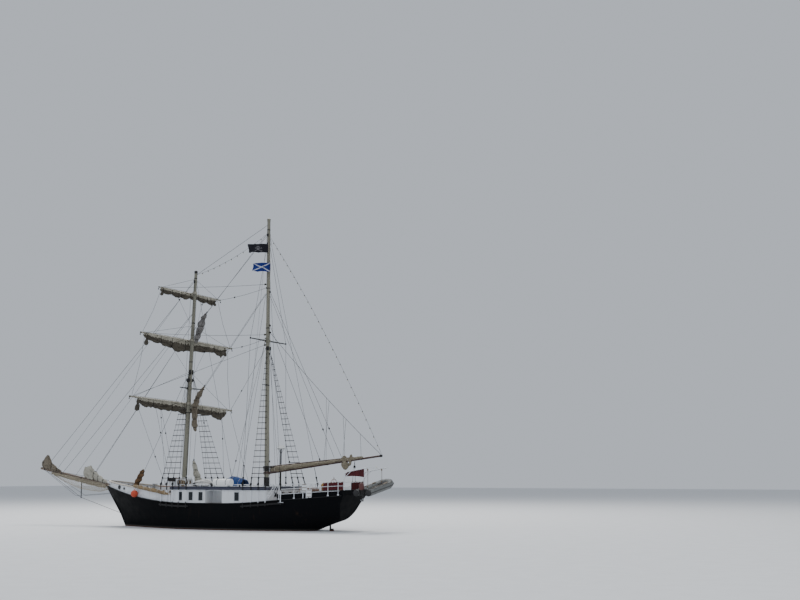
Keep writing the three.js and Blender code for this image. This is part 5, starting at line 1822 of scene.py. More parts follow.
@dataclass
class Spars:
    """Masts, bowsprit, yards, boom and gaff, with their bands, coats and foot ropes."""

    tip: float = 0.94
    fore_bands: tuple[float, ...] = (8.9, 12.9, 16.0, 19.6)
    main_bands: tuple[float, ...] = (10.8, 15.2, 18.3, 22.9)
    bowsprit_reach: float = 0.24
    bowsprit_bands: tuple[float, ...] = (15.75, 17.3, 18.25, 20.4, 22.3)
    boom_bands: tuple[float, ...] = (-1.2, -3.9, -5.3, -6.9, -8.2, -9.7)
    band: float = 0.03
    hoops: tuple[float, ...] = (4.37, 4.45, 4.53)
    jaw: tuple[tuple[float, float], ...] = ((-0.45, 0.05), (-0.12, 0.12), (0.12, 0.255), (0.42, 0.255))

    def yard_tip(self, yard: Yard) -> Callable[[Vector, Vector], int]:
        """Returns the sorter that blackens a yard's ends."""
        return lambda middle, normal: 1 if (middle - yard.at(0)).length > self.tip * yard.half else 0

    def below_bowsprit(self, middle: Vector, normal: Vector) -> int:
        """Returns 1 for the striker and the wires that hang below the bowsprit."""
        return 1 if on_bowsprit(middle.x).z - middle.z > self.bowsprit_reach else 0

    def dress_solids(self) -> None:
        """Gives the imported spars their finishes."""
        dress("foremast", Look.SPAR)
        dress("mainmast", Look.SPAR)
        dress("bowsprit", (Look.BOWSPRIT, Look.WIRE), self.below_bowsprit)
        dress("boom", Look.BOOM)
        dress("gaff", Look.BOOM)
        for yard in YARDS:
            dress(f"{yard.name}_yard", (Look.YARD, Look.BLACK), self.yard_tip(yard))

    def mast_iron(self) -> None:
        """Adds the masts' bands, trucks, bolsters and coats."""
        builder = Builder()
        for mast, heights in ((FOREMAST, self.fore_bands), (MAINMAST, self.main_bands)):
            for z in heights:
                mast.band(builder, z - self.band, z + self.band, 0.012)
            girth = mast.thin
            builder.use(0 if mast is FOREMAST else 1).lathe(
                mast.tip - mast.way * 0.12, mast.way,
                [
                    (0, girth + 0.008), (0.1, girth + 0.012), (0.12, girth + 0.025), (0.18, girth + 0.02),
                    (0.23, girth * 0.7), (0.25, 0.02)
                ]
            )
            builder.use(0)
        for side in (1, -1):
            builder.ball(FOREMAST.by_height(11.45, 0.0, side * 0.2), (0.2, 0.13, 0.17))
        builder.piece("mast_iron", (Look.WIRE, Look.SPAR), slot="rigging_wire")
        coats = Builder()
        MAINMAST.band(coats, 3.185, 3.86, 0.03)
        MAINMAST.band(coats, 3.185, 3.24, 0.07)
        MAINMAST.band(coats, 3.8, 3.86, 0.036)
        coats.use(1)
        FOREMAST.band(coats, 3.185, 3.72, 0.03)
        FOREMAST.band(coats, 3.66, 3.72, 0.04)
        FOREMAST.band(coats, 3.185, 3.25, 0.08)
        coats.piece("mast_coats", (Look.RUBBER, Look.COAT), slot="black_plastic")

    def boom_iron(self) -> None:
        """Adds the boom's bands, and the hoops and the gaff's jaws on the mast above it."""
        builder = Builder()
        for x in self.boom_bands:
            share = (x - BOOM.foot.x) / (BOOM.tip.x - BOOM.foot.x)
            BOOM.sleeve(builder, share - 0.003, share + 0.003, 0.012, 14)
        BOOM.sleeve(builder, 0.985, 1.0, 0.02, 14)
        builder.use(1)
        for z in self.hoops:
            builder.hoop(MAINMAST.by_height(z), MAINMAST.way, 0.25, 0.03, 24)
        for side in (1, -1):
            builder.tube([GAFF.foot + Vector((x, side * y, 0)) for x, y in self.jaw], 0.055, 8)
        builder.piece("boom_iron", (Look.WIRE, Look.BLACK), "boom")

    def bowsprit_iron(self) -> None:
        """Adds the bowsprit's bands and its gammoning."""
        builder = Builder()
        for x in self.bowsprit_bands:
            share = (x - BOWSPRIT.foot.x) / (BOWSPRIT.tip.x - BOWSPRIT.foot.x)
            BOWSPRIT.sleeve(builder, share - 0.0045, share + 0.0045, 0.014, 16)
        for turn in range(5):
            builder.hoop(on_bowsprit(14.95 + 0.05 * turn), (1, 0, 0.18), 0.185, 0.02, 20)
        builder.piece("bowsprit_iron", Look.WIRE)

    def foot_ropes(self, yard: Yard) -> None:
        """Adds a yard's jackstay, foot ropes, stirrups and end fittings.

        Args:
            yard: the yard.
        """
        builder = Builder()
        back = -yard.forward * (yard.radius + 0.1)
        for side in (1, -1):
            rail = [yard.at(side * s) + up(yard.girth(s) + 0.022) for s in spread(0.07, 0.93, 9)]
            builder.tube(rail, 0.011, 5)
            for point in rail[::2]:
                builder.tube([point, point - up(0.04)], 0.011, 5)
            inner, outer = yard.at(side * 0.12) + back, yard.at(side * 0.93) + back * 0.8
            rope = sag_line(inner, outer, 0.5, 13)
            builder.tube([yard.at(side * 0.12), *rope, yard.at(side * 0.93)], 0.011, 5)
            for k in (4, 8):
                share = 0.12 + 0.81 * k / 12
                builder.tube([yard.at(side * share) + back * 0.5, rope[k]], 0.009, 5)
            end = yard.at(side)
            builder.hoop(end - yard.along * side * 0.06, yard.along, yard.radius * 0.55 + 0.02, 0.016, 14)
            builder.pulley(end - up(0.16), DOWN, 0.07)
        builder.piece(f"{yard.name}_foot_ropes", Look.ROPE, yard.name, "rigging_wire")

    def build(self) -> None:
        """Builds and dresses the spars."""
        self.dress_solids()
        self.mast_iron()
        self.boom_iron()
        self.bowsprit_iron()
        for yard in YARDS:
            self.foot_ropes(yard)


@dataclass(frozen=True)
class Line:
    """A rope between two points, with blocks at shares of its length."""

    name: str
    start: Vector
    end: Vector
    sag: float = 0.0
    radius: float = 0.011
    blocks: tuple[float, ...] = ()
    finish: Look = Look.ROPE

    def add(self, builder: Builder) -> None:
        """Adds the rope and its blocks.

        Args:
            builder: where they go.
        """
        points = sag_line(self.start, self.end, self.sag, 13 if self.sag else 7)
        builder.tube(points, self.radius, 5)
        for share in self.blocks:
            place = points[round(share * (len(points) - 1))]
            builder.pulley(place, self.end - self.start, 0.085)


@dataclass
class Rigging:
    """Shrouds' fittings, ratlines and the running rigging."""

    gangs: tuple[tuple[Mast, float, tuple[float, ...], float, float], ...] = (
        (FOREMAST, 12.2, (7.75, 7.15, 6.55, 5.95), 4.15, 9.3),
        (MAINMAST, 13.7, (-0.5, -1.1, -1.68), 4.15, 13.0)
    )
    other_shrouds: tuple[tuple[float, Vector], ...] = (
        (5.25, FOREMAST.by_height(19.35)), (-2.9, MAINMAST.by_height(22.5)),
        (0.18, Vector((-0.18, 2.43, 14.2)))
    )
    plate_out: float = 0.079
    plate_top: float = 3.35
    eye_gap: float = 0.5
    ratline_step: float = 0.415
    ratline: float = 0.026
    bulb_gap: float = 0.62
    lift_sag: float = 0.25
    jib_halyards: tuple[Point, ...] = (
        (19.5, 20.9, 0.05, 0.3), (16.7, 18.9, 0.06, 0.1), (15.8, 17.0, 0.05, 0.5)
    )
    stays: tuple[str, ...] = (
        "outer_fore_stay", "middle_fore_stay", "inner_fore_stay", "triatic_stay", "main_topmast_stay",
        "main_stay", "stem_stay"
    )
    jacks: tuple[tuple[float, float], ...] = (
        (0.52, -5.25), (0.54, -5.05), (0.67, -6.85), (0.69, -6.65), (0.83, -8.2)
    )
    mainsheet: tuple[Point, ...] = ((-7.5, 0.35, 2.62), (-7.5, -0.35, 2.62))

    def foot(self, x: float, side: int) -> Vector:
        """Returns the top of a chain plate."""
        return EDGE.at(x, side, self.plate_out, self.plate_top)

    def wires(
        self, mast: Mast, top: float, feet: tuple[float, ...], side: int
    ) -> list[tuple[Vector, Vector]]:
        """Returns the foot and head of each shroud of a gang.

        Args:
            mast: the gang's mast.
            top: the height where it meets the mast.
            feet: the places of its chain plates.
            side: 1 for port and -1 for starboard.

        Returns:
            A pair for each shroud.
        """
        head, girth = mast.by_height(top), mast.girth(top)
        return [
            (self.foot(x, side), Vector((head.x - girth * 0.4, side * (girth + 0.012), top - 0.07 * k)))
            for k, x in enumerate(feet)
        ]

    def dead_eye(self, builder: Builder, low: Vector, way: Vector) -> None:
        """Adds a pair of deadeyes with its lanyards, along a shroud from its foot.

        Args:
            builder: where it goes.
            low: the shroud's foot.
            way: which way the shroud runs.
        """
        across = (AHEAD - way * way.x).normalized()
        out = way.cross(across)
        for far in (0.07, self.eye_gap):
            builder.use(1).lathe(
                low + way * far - out * 0.035, out, [(0, 0.05), (0.012, 0.07), (0.058, 0.07), (0.07, 0.05)],
                12
            )
        builder.use(0)
        for shift in (-0.032, 0.0, 0.032):
            for depth in (-0.02, 0.02):
                offset = across * shift + out * depth
                builder.tube([low + way * 0.07 + offset, low + way * self.eye_gap + offset], 0.008, 5)
        builder.tube([low + way * (self.eye_gap + 0.05), low + way * (self.eye_gap + 0.75)], 0.019, 6)

    def gang_fittings(self) -> None:
        """Adds deadeyes, ratlines and the sheer poles of every gang."""
        for side_name, side in SIDES:
            builder = Builder()
            for mast, top, feet, low, high in self.gangs:
                wires = self.wires(mast, top, feet, side)
                for foot, head in wires:
                    self.dead_eye(builder, foot, (head - foot).normalized())
                builder.use(2)
                steps = int((high - low) / self.ratline_step)
                for step in range(steps + 1):
                    z = low + step * self.ratline_step
                    row = [f.lerp(h, (z - f.z) / (h.z - f.z)) for f, h in wires]
                    fore, aft = row[0], row[-1]
                    spare = (fore - aft).normalized() * 0.05
                    wobble = up(0.02 * noise.noise(Vector((z * 3, side, top))))
                    builder.tube([fore + spare, *row[1:-1], aft - spare + wobble], self.ratline, 6)
            for x, aloft in self.other_shrouds:
                foot, head = self.foot(x, side), Vector((aloft.x, side * max(abs(aloft.y), 0.12), aloft.z))
                self.dead_eye(builder, foot, (head - foot).normalized())
            builder.piece(f"{side_name}_ratlines", (Look.ROPE, Look.BLACK, Look.BATTEN), slot="rigging_wire")

    def tie(self, line: Line, body: str, reverse: bool = False) -> None:
        """Makes a rope that runs from the ship to a body that swings.

        Args:
            line: the rope.
            body: the body at its far end.
            reverse: whether the ship holds its end instead of its start.
        """
        builder = Builder()
        line.add(builder)
        made = builder.piece(line.name, line.finish, None, "rigging_wire")
        ends = (line.end, line.start) if reverse else (line.start, line.end)
        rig.blend(made, "ship", body, *ends)

    def braces(self) -> None:
        """Makes each yard's braces, lifts and clew lines."""
        rows = (
            (TOPGALLANT, 18.62, 0.1, 19.5, 2.9), (TOPSAIL, 14.7, 0.14, 15.75, 3.3),
            (COURSE, 13.9, 0.0, 12.05, 3.9)
        )
        for yard, brace_z, sag, lift_z, rail_x in rows:
            for side_name, side in SIDES:
                name, tip = f"{yard.name}_{side_name}", yard.at(side * 0.97)
                hold = MAINMAST.by_height(brace_z - (0.25 if side < 0 else 0.0), 0.22, side * 0.08)
                blocks = (0.0,) if side > 0 else (0.0, 0.67)
                self.tie(Line(f"{name}_brace", hold, tip, sag, 0.012, blocks), yard.name)
                lift = FOREMAST.by_height(lift_z, 0.05, side * (FOREMAST.girth(lift_z) + 0.03))
                self.tie(Line(f"{name}_lift", lift, yard.at(side * 0.93), 0.0, 0.01), yard.name)
                rail = EDGE.at(rail_x + 3.6, side, 0.02, 3.5)
                pin = Vector((rail.x, rail.y * 0.93, 3.25)) if yard is COURSE else self.mast_pin(yard, side)
                clew = yard.at(side * 0.42) - up(0.3)
                self.tie(Line(f"{name}_clew_line", pin, clew, 0.0, 0.009, (0.88,)), yard.name)

    def mast_pin(self, yard: Yard, side: int) -> Vector:
        """Returns where an upper yard's clew line comes down beside the mast."""
        return FOREMAST.by_height(yard.z - 2.6, -0.1, side * 0.42)

    def sheets(self) -> None:
        """Makes the sheets between neighbouring yards' ends, each held at its middle by the ship."""
        for upper, lower in ((TOPGALLANT, TOPSAIL), (TOPSAIL, COURSE)):
            for side_name, side in SIDES:
                top, foot = upper.at(side * 0.9), lower.at(side * 0.96)
                middle = top.lerp(foot, 0.5) - upper.along * side * 0.12
                self.tie(Line(f"{upper.name}_{side_name}_sheet", middle, top, 0.0, 0.011), upper.name)
                self.tie(Line(f"{lower.name}_{side_name}_sheet_lead", middle, foot, 0.0, 0.011), lower.name)

    def course_gear(self) -> None:
        """Makes the course yard's falls to the rails and its two buntlines."""
        rows = (
            ("course_port_fall", Vector((7.4, 2.72, 3.3)), COURSE.at(0.9), 0.12, (0.3,)),
            ("course_starboard_fall", Vector((3.6, -2.85, 3.35)), COURSE.at(-0.96), 0.1, (0.25,)),
            ("course_starboard_tack", Vector((6.0, -2.86, 3.35)), COURSE.at(-0.8) - up(0.6), 0.0, (0.6,)),
            ("fore_buntline", Vector((7.0, 2.7, 3.4)), COURSE.at(0.5) - up(0.62), 0.0, (0.72,)),
            ("after_buntline", Vector((6.5, 2.75, 3.4)), COURSE.at(0.4) - up(0.64), 0.0, (0.72,))
        )
        for name, low, high, sag, blocks in rows:
            self.tie(Line(name, low, high, sag, 0.01, blocks), "course")

    def boom_gear(self) -> None:
        """Makes the topping lift, lazy jacks, halyards and mainsheet."""
        lift_head, lift_foot = MAINMAST.by_height(14.85, -0.2), on_boom(-9.75) + up(0.1)
        self.tie(Line("topping_lift", lift_head, lift_foot, self.lift_sag, 0.014, (0.0,)), "boom")
        rows = (
            ("peak_halyard", (18.0, -0.2, 0.03), (-6.5, 0.02, 5.32), 0.012, (0.0, 0.84)),
            ("peak_halyard_fall", (17.7, -0.2, 0.05), (-5.9, 0.06, 5.3), 0.011, (0.84,)),
            ("gaff_halyard", (15.4, -0.2), (-4.62, 0, 5.18), 0.012, (0.0, 0.97)),
            ("throat_halyard", (13.2, -0.24, 0.1), (-2.0, 0.02, 5.0), 0.011, (0.0, 0.98))
        )
        for name, high, low, radius, blocks in rows:
            self.tie(Line(name, MAINMAST.by_height(*high), Vector(low), 0.0, radius, blocks), "boom")
        self.lazy_jacks(lift_head, lift_foot)
        for number, deck in enumerate(self.mainsheet):
            head = on_boom(-7.6) - up(0.1)
            self.tie(Line(f"mainsheet_{number}", Vector(deck), head, 0.0, 0.014, (0.08, 0.9)), "boom")

    def lazy_jacks(self, head: Vector, foot: Vector) -> None:
        """Makes the lines that hang from the topping lift to the boom.

        Args:
            head: the topping lift's upper end.
            foot: its lower end.
        """
        builder = Builder()
        path = sag_line(head, foot, self.lift_sag, 41)
        for share, x in self.jacks:
            Line("", path[round(share * 40)], on_boom(x) + Vector((0, 0.12, 0.1)), 0.0, 0.01).add(builder)
        made = builder.piece("lazy_jacks", Look.ROPE, None, "rigging_wire")
        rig.blend(made, "ship", "boom", head, foot)

    def festoons(self) -> None:
        """Makes the strings of lamps: mast to mast, and from the main top down to the boom's end."""
        builder = Builder()
        self.string(builder, MAINMAST.by_height(22.6, 0.15), FOREMAST.by_height(19.9, -0.1), 0.35)
        builder.piece("masthead_lamps", (Look.ROPE, Look.BULB), slot="rigging_wire")
        builder = Builder()
        start, end = MAINMAST.by_height(22.3, -0.15), Vector((-9.8, 0.0, 5.55))
        self.string(builder, start, end, -0.75)
        made = builder.piece("boom_end_lamps", (Look.ROPE, Look.BULB), None, "rigging_wire")
        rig.blend(made, "ship", "boom", start, end)

    def string(self, builder: Builder, start: Vector, end: Vector, sag: float) -> None:
        """Adds a cable with a lamp holder every so far along it.

        Args:
            builder: where it goes.
            start: one end.
            end: the other.
            sag: how far its middle hangs.
        """
        count = max(3, round((end - start).length / self.bulb_gap))
        points = sag_line(start, end, sag, count + 1)
        builder.use(0).tube(points, 0.008, 5)
        for point in points[1:-1]:
            builder.use(0).lathe(point - up(0.02), DOWN, [(-0.02, 0.012), (0.0, 0.03), (0.07, 0.034)], 8)
            builder.use(1).ball(point - up(0.12), (0.036, 0.036, 0.045), 8)

    def standing(self) -> None:
        """Makes the fixed halyards and falls beside the masts, and the staysails' gear."""
        rows = []
        for side in (1, -1):
            for k, (high, ahead) in enumerate(((11.3, 0.02), (15.6, -0.12), (18.2, 0.1))):
                out = side * (0.34 + 0.06 * k)
                start, end = FOREMAST.by_height(high, ahead, out * 0.8), FOREMAST.by_height(4.0, ahead, out)
                rows.append((start, end, 0.01, ()))
            for x, z, blocks in ((1.5, 14.2, (0.9,)), (0.95, 17.8, ()), (0.62, 14.4, (0.93,))):
                start = MAINMAST.by_height(z, 0.1, side * 0.18)
                rows.append((start, Vector((x, side * 2.66, 3.25)), 0.01, blocks))
        rows.append((Vector((6.72, 0.0, 7.3)), Vector((6.86, 0.0, 5.2)), 0.011, (0.95,)))
        rows.append((Vector((5.95, 0.0, 16.8)), MAINMAST.by_height(22.4, 0.2), 0.01, (0.03,)))
        rows.append((Vector((6.0, 0.0, 10.98)), MAINMAST.by_height(17.9, 0.2, 0.06), 0.01, (0.04,)))
        for z, x, y, high in self.jib_halyards:
            start = FOREMAST.by_height(z, 0.14)
            rows.append((start, on_bowsprit(x) + Vector((0, y, high)), 0.01, (0.02,)))
        rows.append((MAINMAST.by_height(22.9, 0.0, 0.2), Vector((0.35, 2.6, 3.35)), 0.007, ()))
        builder = Builder()
        for start, end, radius, blocks in rows:
            Line("", start, end, 0.0, radius, blocks).add(builder)
        builder.piece("halyards", Look.ROPE, slot="rigging_wire")

    def wire_solids(self) -> None:
        """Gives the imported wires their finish."""
        for mast in ("fore", "main"):
            for side_name, _ in SIDES:
                dress(f"{mast}_{side_name}_rigging", Look.PLATES)
        for name in self.stays:
            dress(name, Look.WIRE)

    def build(self) -> None:
        """Builds the rigging."""
        self.wire_solids()
        self.gang_fittings()
        self.braces()
        self.sheets()
        self.course_gear()
        self.boom_gear()
        self.festoons()
        self.standing()


def coil(
    builder: Builder, middle: Point, axis: Point, radius: float, loops: int, thick: float, droop: float
) -> None:
    """Adds a hank of rope as one winding line.

    Args:
        builder: where it goes.
        middle: its middle.
        axis: the line that it winds round.
        radius: its radius.
        loops: how many turns.
        thick: the rope's radius.
        droop: how far its lower half hangs down.
    """
    centre, along = Vector(middle), Vector(axis).normalized()
    side = along.cross(UP)
    side = side.normalized() if side.length > 0.1 else AHEAD
    over = side.cross(along).normalized()
    points = []
    for step in range(loops * 12 + 1):
        turn = tau * step / 12
        reach = radius * (1 + 0.1 * sin(turn * 0.37 + 1.3))
        rise = sin(turn)
        low = over * min(0.0, rise) * droop
        shift = along * thick * 1.5 * (step / 12 - loops / 2)
        points.append(centre + side * reach * cos(turn) + over * reach * rise + low + shift)
    builder.tube(points, thick, 5)


PIN = ((0, 0.01), (0.02, 0.013), (0.17, 0.014), (0.2, 0.021), (0.3, 0.022), (0.34, 0.016), (0.36, 0.006))


def pin_rail(builder: Builder, start: Point, end: Point, count: int, lean: Point) -> None:
    """Adds a plank of belaying pins with a coil of rope on most of them.

    Args:
        builder: where it goes, with timber first, then rope.
        start: one end of the plank.
        end: its other end.
        count: how many pins.
        lean: which way the coils hang out.
    """
    a, b, out = Vector(start), Vector(end), Vector(lean)
    builder.use(0).tube([a, b], 0.045, 4)
    for number, share in enumerate(spread(0.08, 0.92, count)):
        place = a.lerp(b, share)
        builder.use(0).lathe(place - up(0.17), UP, PIN, 8)
        if number % 5 != 3:
            builder.use(1 + number % 2)
            coil(builder, place + out * 0.06 - up(0.14), out, 0.085 + 0.02 * (number % 3), 4, 0.011, 0.16)
            builder.hoop(place + up(0.06), UP, 0.026, 0.011, 8)


@dataclass
class Foredeck:
    """The fore trunk, its hatch, the windlass, the anchor and what lies along the rail."""

    trunk_top: float = 3.16
    trunk: tuple[float, float, float] = (6.865, 9.5, 0.9)
    hatch: tuple[float, float, float, float] = (8.41, 9.09, 0.34, 3.8)
    windlass: tuple[float, float] = (11.7, 2.96)
    fender: tuple[float, float, float, float] = (10.62, 2.47, 2.6, 0.275)
    panels: tuple[float, ...] = (7.3, 8.0, 8.7, 9.35)
    portlights: tuple[float, ...] = (7.65, 8.35, 9.02)
    portlight_z: float = 2.74
    ring: tuple[float, float] = (11.4, 3.22)
    bitt_places: tuple[float, ...] = (9.75, 10.05)
    bitt: tuple[Point, ...] = (
        (0, 0.11), (0.02, 0.1), (0.03, 0.062), (0.3, 0.062), (0.32, 0.08), (0.36, 0.075), (0.37, 0.02)
    )
    rolled: tuple[tuple[float, ...], ...] = (
        (11.1, 0.02, 0.06, 0.06), (10.8, 0.03, 0.05, 0.12), (10.1, 0.04, 0.04, 0.15), (9.4, 0.05, 0.03, 0.14),
        (8.7, 0.05, 0.04, 0.16), (8.0, 0.06, 0.02, 0.14), (7.35, 0.06, 0.0, 0.13), (7.0, 0.06, -0.02, 0.07)
    )

    def trunk_side(self, middle: Vector, normal: Vector) -> int:
        """Returns 1 for the top of the trunk and 0 for its walls and boxes."""
        return 1 if normal.z > 0.8 and abs(middle.z - self.trunk_top) < 0.03 else 0

    def trunk_trim(self) -> None:
        """Adds the trunk's rim, panels and portlights, and the box's and the coaming's edges."""
        aft, fore, half = self.trunk
        builder = Builder()
        builder.bars(level_ring(aft, fore, half, 3.15)[:-1], 0.035)
        for x0, x1, z in ((8.05, 8.35, 3.75), (8.45, 9.05, 3.545)):
            builder.bars(level_ring(x0, x1, 0.3, z), 0.016)
        for side in (1, -1):
            for x in self.panels:
                builder.tube(
                    [(x, side * (half + 0.006), EDGE.deck(x) + 0.05), (x, side * (half + 0.006), 3.1)], 0.016,
                    6
                )
        builder.piece("trunk_trim", Look.VARNISH, slot="varnished_timber")
        builder = Builder()
        for side in (1, -1):
            for x in self.portlights:
                builder.use(0).hoop((x, side * (half + 0.008), self.portlight_z), ACROSS, 0.1, 0.018, 20)
                builder.use(1).lathe(
                    (x, side * (half + 0.001), self.portlight_z), (0, side, 0), [(0, 0.094), (0.005, 0.094)],
                    18
                )
        builder.piece("trunk_portlights", (Look.BRONZE, Look.GLASS), slot="bronze")

    def lid(self) -> None:
        """Adds the hatch lid's rounded edge, hinges, battens and ring."""
        aft, fore, half, top = self.hatch
        builder = Builder()
        builder.bars(level_ring(aft, fore, half, top - 0.02), 0.02)
        for y in (-0.2, 0.0, 0.2):
            builder.block((aft + 0.05, y - 0.03, top - 0.004), (fore - 0.05, y + 0.03, top + 0.016), 0.006)
        builder.use(1)
        for y in (-0.22, 0.22):
            builder.block((fore - 0.2, y - 0.022, top + 0.012), (fore - 0.01, y + 0.022, top + 0.022), 0.004)
        builder.hoop((aft + 0.16, 0, top + 0.03), (0.3, 0, 1), 0.05, 0.008, 16)
        builder.piece("hatch_lid_fittings", (Look.BLACK, Look.STEEL), "fore_hatch_lid", "black_plastic")

    def windlass_iron(self) -> None:
        """Adds the bolts, cheek caps and pawl of the windlass's bed."""
        x, z = self.windlass
        builder = Builder()
        for side in (1, -1):
            builder.hoop((x, side * 0.405, z), ACROSS, 0.075, 0.02, 18)
            builder.tube(
                [(x - 0.1, side * 0.37, 3.1), (x, side * 0.37, 3.125), (x + 0.1, side * 0.37, 3.1)], 0.035, 8
            )
            for dx in (-0.28, 0.28):
                for dy in (0.16, 0.34):
                    builder.lathe((x + dx, side * dy, 2.675), UP, [(0, 0.03), (0.02, 0.03), (0.03, 0.014)], 6)
        builder.block((x - 0.33, -0.05, 2.67), (x - 0.22, 0.05, 2.98), 0.015)
        builder.tube([(x - 0.27, 0, 2.95), (x - 0.2, 0, 3.02), (x - 0.15, 0, 3.06)], 0.02, 6)
        builder.piece("windlass_iron", Look.BLACK, slot="black_hull_paint")

    def whelps(self) -> None:
        """Adds the bars on the windlass's drum and warping ends, and their rims."""
        x, z = self.windlass
        drum = Builder()
        for side in (1, -1):
            for turn in turns(8):
                out = Vector((cos(turn), 0, sin(turn)))
                drum.tube(
                    [
                        Vector((x, side * 0.43, z)) + out * 0.094, Vector((x, side * 0.6, z)) + out * 0.086,
                        Vector((x, side * 0.635, z)) + out * 0.105
                    ], 0.012, 5
                )
            drum.lathe(
                (x, side * 0.62, z), (0, side, 0), [(0, 0.03), (0, 0.115), (0.022, 0.11), (0.03, 0.03)], 20
            )
            drum.lathe(
                (x, side * 0.24, z), (0, side, 0), [(0, 0.13), (0.005, 0.165), (0.035, 0.165), (0.04, 0.13)],
                24
            )
        for turn in turns(12):
            out = Vector((cos(turn), 0, sin(turn)))
            middle = Vector((x, 0, z)) + out * 0.13
            drum.tube([middle - ACROSS * 0.2, middle + ACROSS * 0.2], 0.013, 5)
        drum.piece("windlass_whelps", Look.STEEL, "windlass_drum", "galvanized_steel")

    def chain(self, builder: Builder, points: Sequence[Vector], link: float = 0.09) -> None:
        """Adds a chain of crossed links along points.

        Args:
            builder: where it goes.
            points: its line.
            link: half a link's length.
        """
        number = 0
        for a, b in zip(points, points[1:]):
            steps = max(1, round((b - a).length / (link * 1.25)))
            for k in range(steps):
                middle = a.lerp(b, (k + 0.5) / steps)
                way = (b - a).normalized()
                side = way.orthogonal().normalized()
                if number % 2:
                    side = way.cross(side)
                ends = [
                    middle + way * link * u * 0.62 + side * link * v * 0.38
                    for u, v in ((-1, 0), (-0.7, 0.8), (0.7, 0.8), (1, 0), (0.7, -0.8), (-0.7, -0.8), (-1, 0))
                ]
                builder.tube(ends, link * 0.13, 5)
                number += 1

    def ground_tackle(self) -> None:
        """Dresses the anchor and adds its chain, and the windlass's chains to the hawse holes."""
        dress("starboard_anchor", Look.STEEL)
        builder = Builder()
        for _, side in SIDES:
            out = EDGE.at(13.15, side, -0.13, (EDGE.deck(13.15) + EDGE.cap_top(13.15)) / 2)
            self.chain(builder, [Vector((12.0, side * 0.2, 2.76)), Vector((12.5, side * 0.6, 2.78)), out])
        x, z = self.ring
        ring = Vector((x, -EDGE.half(x) - 0.17, z))
        builder.hoop(ring, ACROSS, 0.085, 0.017, 16)
        self.chain(
            builder,
            [
                ring + Vector((0.02, 0.0, -0.05)), Vector((11.0, -EDGE.half(11.0) - 0.13, 2.85)),
                Vector((11.25, -EDGE.half(11.25) - 0.1, 2.55))
            ], 0.075
        )
        builder.piece("chains", Look.RUST, slot="galvanized_steel")

    def rail_bundle(self) -> None:
        """Makes the rolled awning that lies along the port rail, and its ties."""
        rows = tuple(
            (EDGE.at(x, 1, out, EDGE.cap_top(x) + rise), r * 1.05, r * 0.9) for x, out, rise, r in self.rolled
        )
        bundle = Bundle(rows, ACROSS, DOWN, (0.1, 0.22, 0.38, 0.55, 0.7, 0.88), 91.0, 0.16, 0.0, 0.24, 0.03)
        builder = Builder()
        bundle.cloth(builder)
        builder.use(1)
        bundle.lashings(builder, 0.012)
        made = builder.piece("rolled_awning", (Look.AWNING, Look.PALE_ROPE), angle=60.0)
        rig.padded(made, 0.5)

    def fender_ball(self) -> None:
        """Adds the round fender on the port side, and its rope."""
        x, y, z, r = self.fender
        builder = Builder()
        profile = [(r - r * cos(pi * t), max(0.012, r * sin(pi * t))) for t in spread(0, 1, 15)]
        profile += [(2 * r + 0.03, 0.035), (2 * r + 0.07, 0.035)]
        builder.lathe((x, y, z - r), UP, profile, 24)
        builder.piece("fender_ball", Look.ORANGE)
        builder = Builder()
        builder.tube(
            [
                (x, y, z + r + 0.05), (x, y - 0.12, 3.0), (x, y - 0.2, EDGE.cap_top(x) + 0.02),
                (x, y - 0.42, EDGE.cap_top(x) + 0.01), (x, y - 0.45, 2.8)
            ], 0.014, 6
        )
        builder.piece("fender_rope", Look.PALE_ROPE)

    def pin_rails(self) -> None:
        """Adds the pin rails inside the bulwarks and beside the foremast."""
        builder = Builder()
        for _, side in SIDES:
            for low, high, count in ((7.0, 8.1, 7), (9.4, 10.1, 4)):
                ends = [EDGE.at(x, side, -0.22, EDGE.cap_top(x) - 0.12) for x in (low, high)]
                pin_rail(builder, *ends, count, (0, -side, 0))
        builder.piece("fore_pin_rails", (Look.VARNISH, Look.MANILA, Look.PALE_ROPE))
        builder = Builder()
        for side in (1, -1):
            pin_rail(builder, (7.35, side * 0.42, 3.66), (7.98, side * 0.42, 3.66), 5, (0, side, 0))
            for x0 in (7.32, 8.0):
                builder.use(0).block(
                    (x0 - 0.04, side * 0.42 - 0.04, 3.14), (x0 + 0.04, side * 0.42 + 0.04, 3.74), 0.012
                )
        builder.piece("mast_pin_rails", (Look.WHITE, Look.MANILA, Look.PALE_ROPE))

    def bitts(self) -> None:
        """Adds the mooring bitts and the bowsprit's bitts with their crossbar."""
        builder = Builder()
        for _, side in SIDES:
            for x in self.bitt_places:
                builder.lathe(EDGE.at(x, side, -0.42) - up(0.02), UP, self.bitt, 14)
            builder.block((12.98, side * 0.3 - 0.06, 2.7), (13.12, side * 0.3 + 0.06, 3.28), 0.02)
        builder.tube([(13.05, -0.42, 3.18), (13.05, 0.42, 3.18)], 0.05, 10)
        builder.piece("bitts", Look.BLACK, slot="black_hull_paint")

    def build(self) -> None:
        """Builds and dresses the foredeck."""
        dress("fore_trunk", (Look.WHITE, Look.ROOF), self.trunk_side)
        dress("fore_hatch_lid", Look.BLACK)
        dress("windlass_bed", Look.BLACK)
        dress("windlass_drum", Look.STEEL)
        self.trunk_trim()
        self.lid()
        self.windlass_iron()
        self.whelps()
        self.ground_tackle()
        self.rail_bundle()
        self.fender_ball()
        self.pin_rails()
        self.bitts()


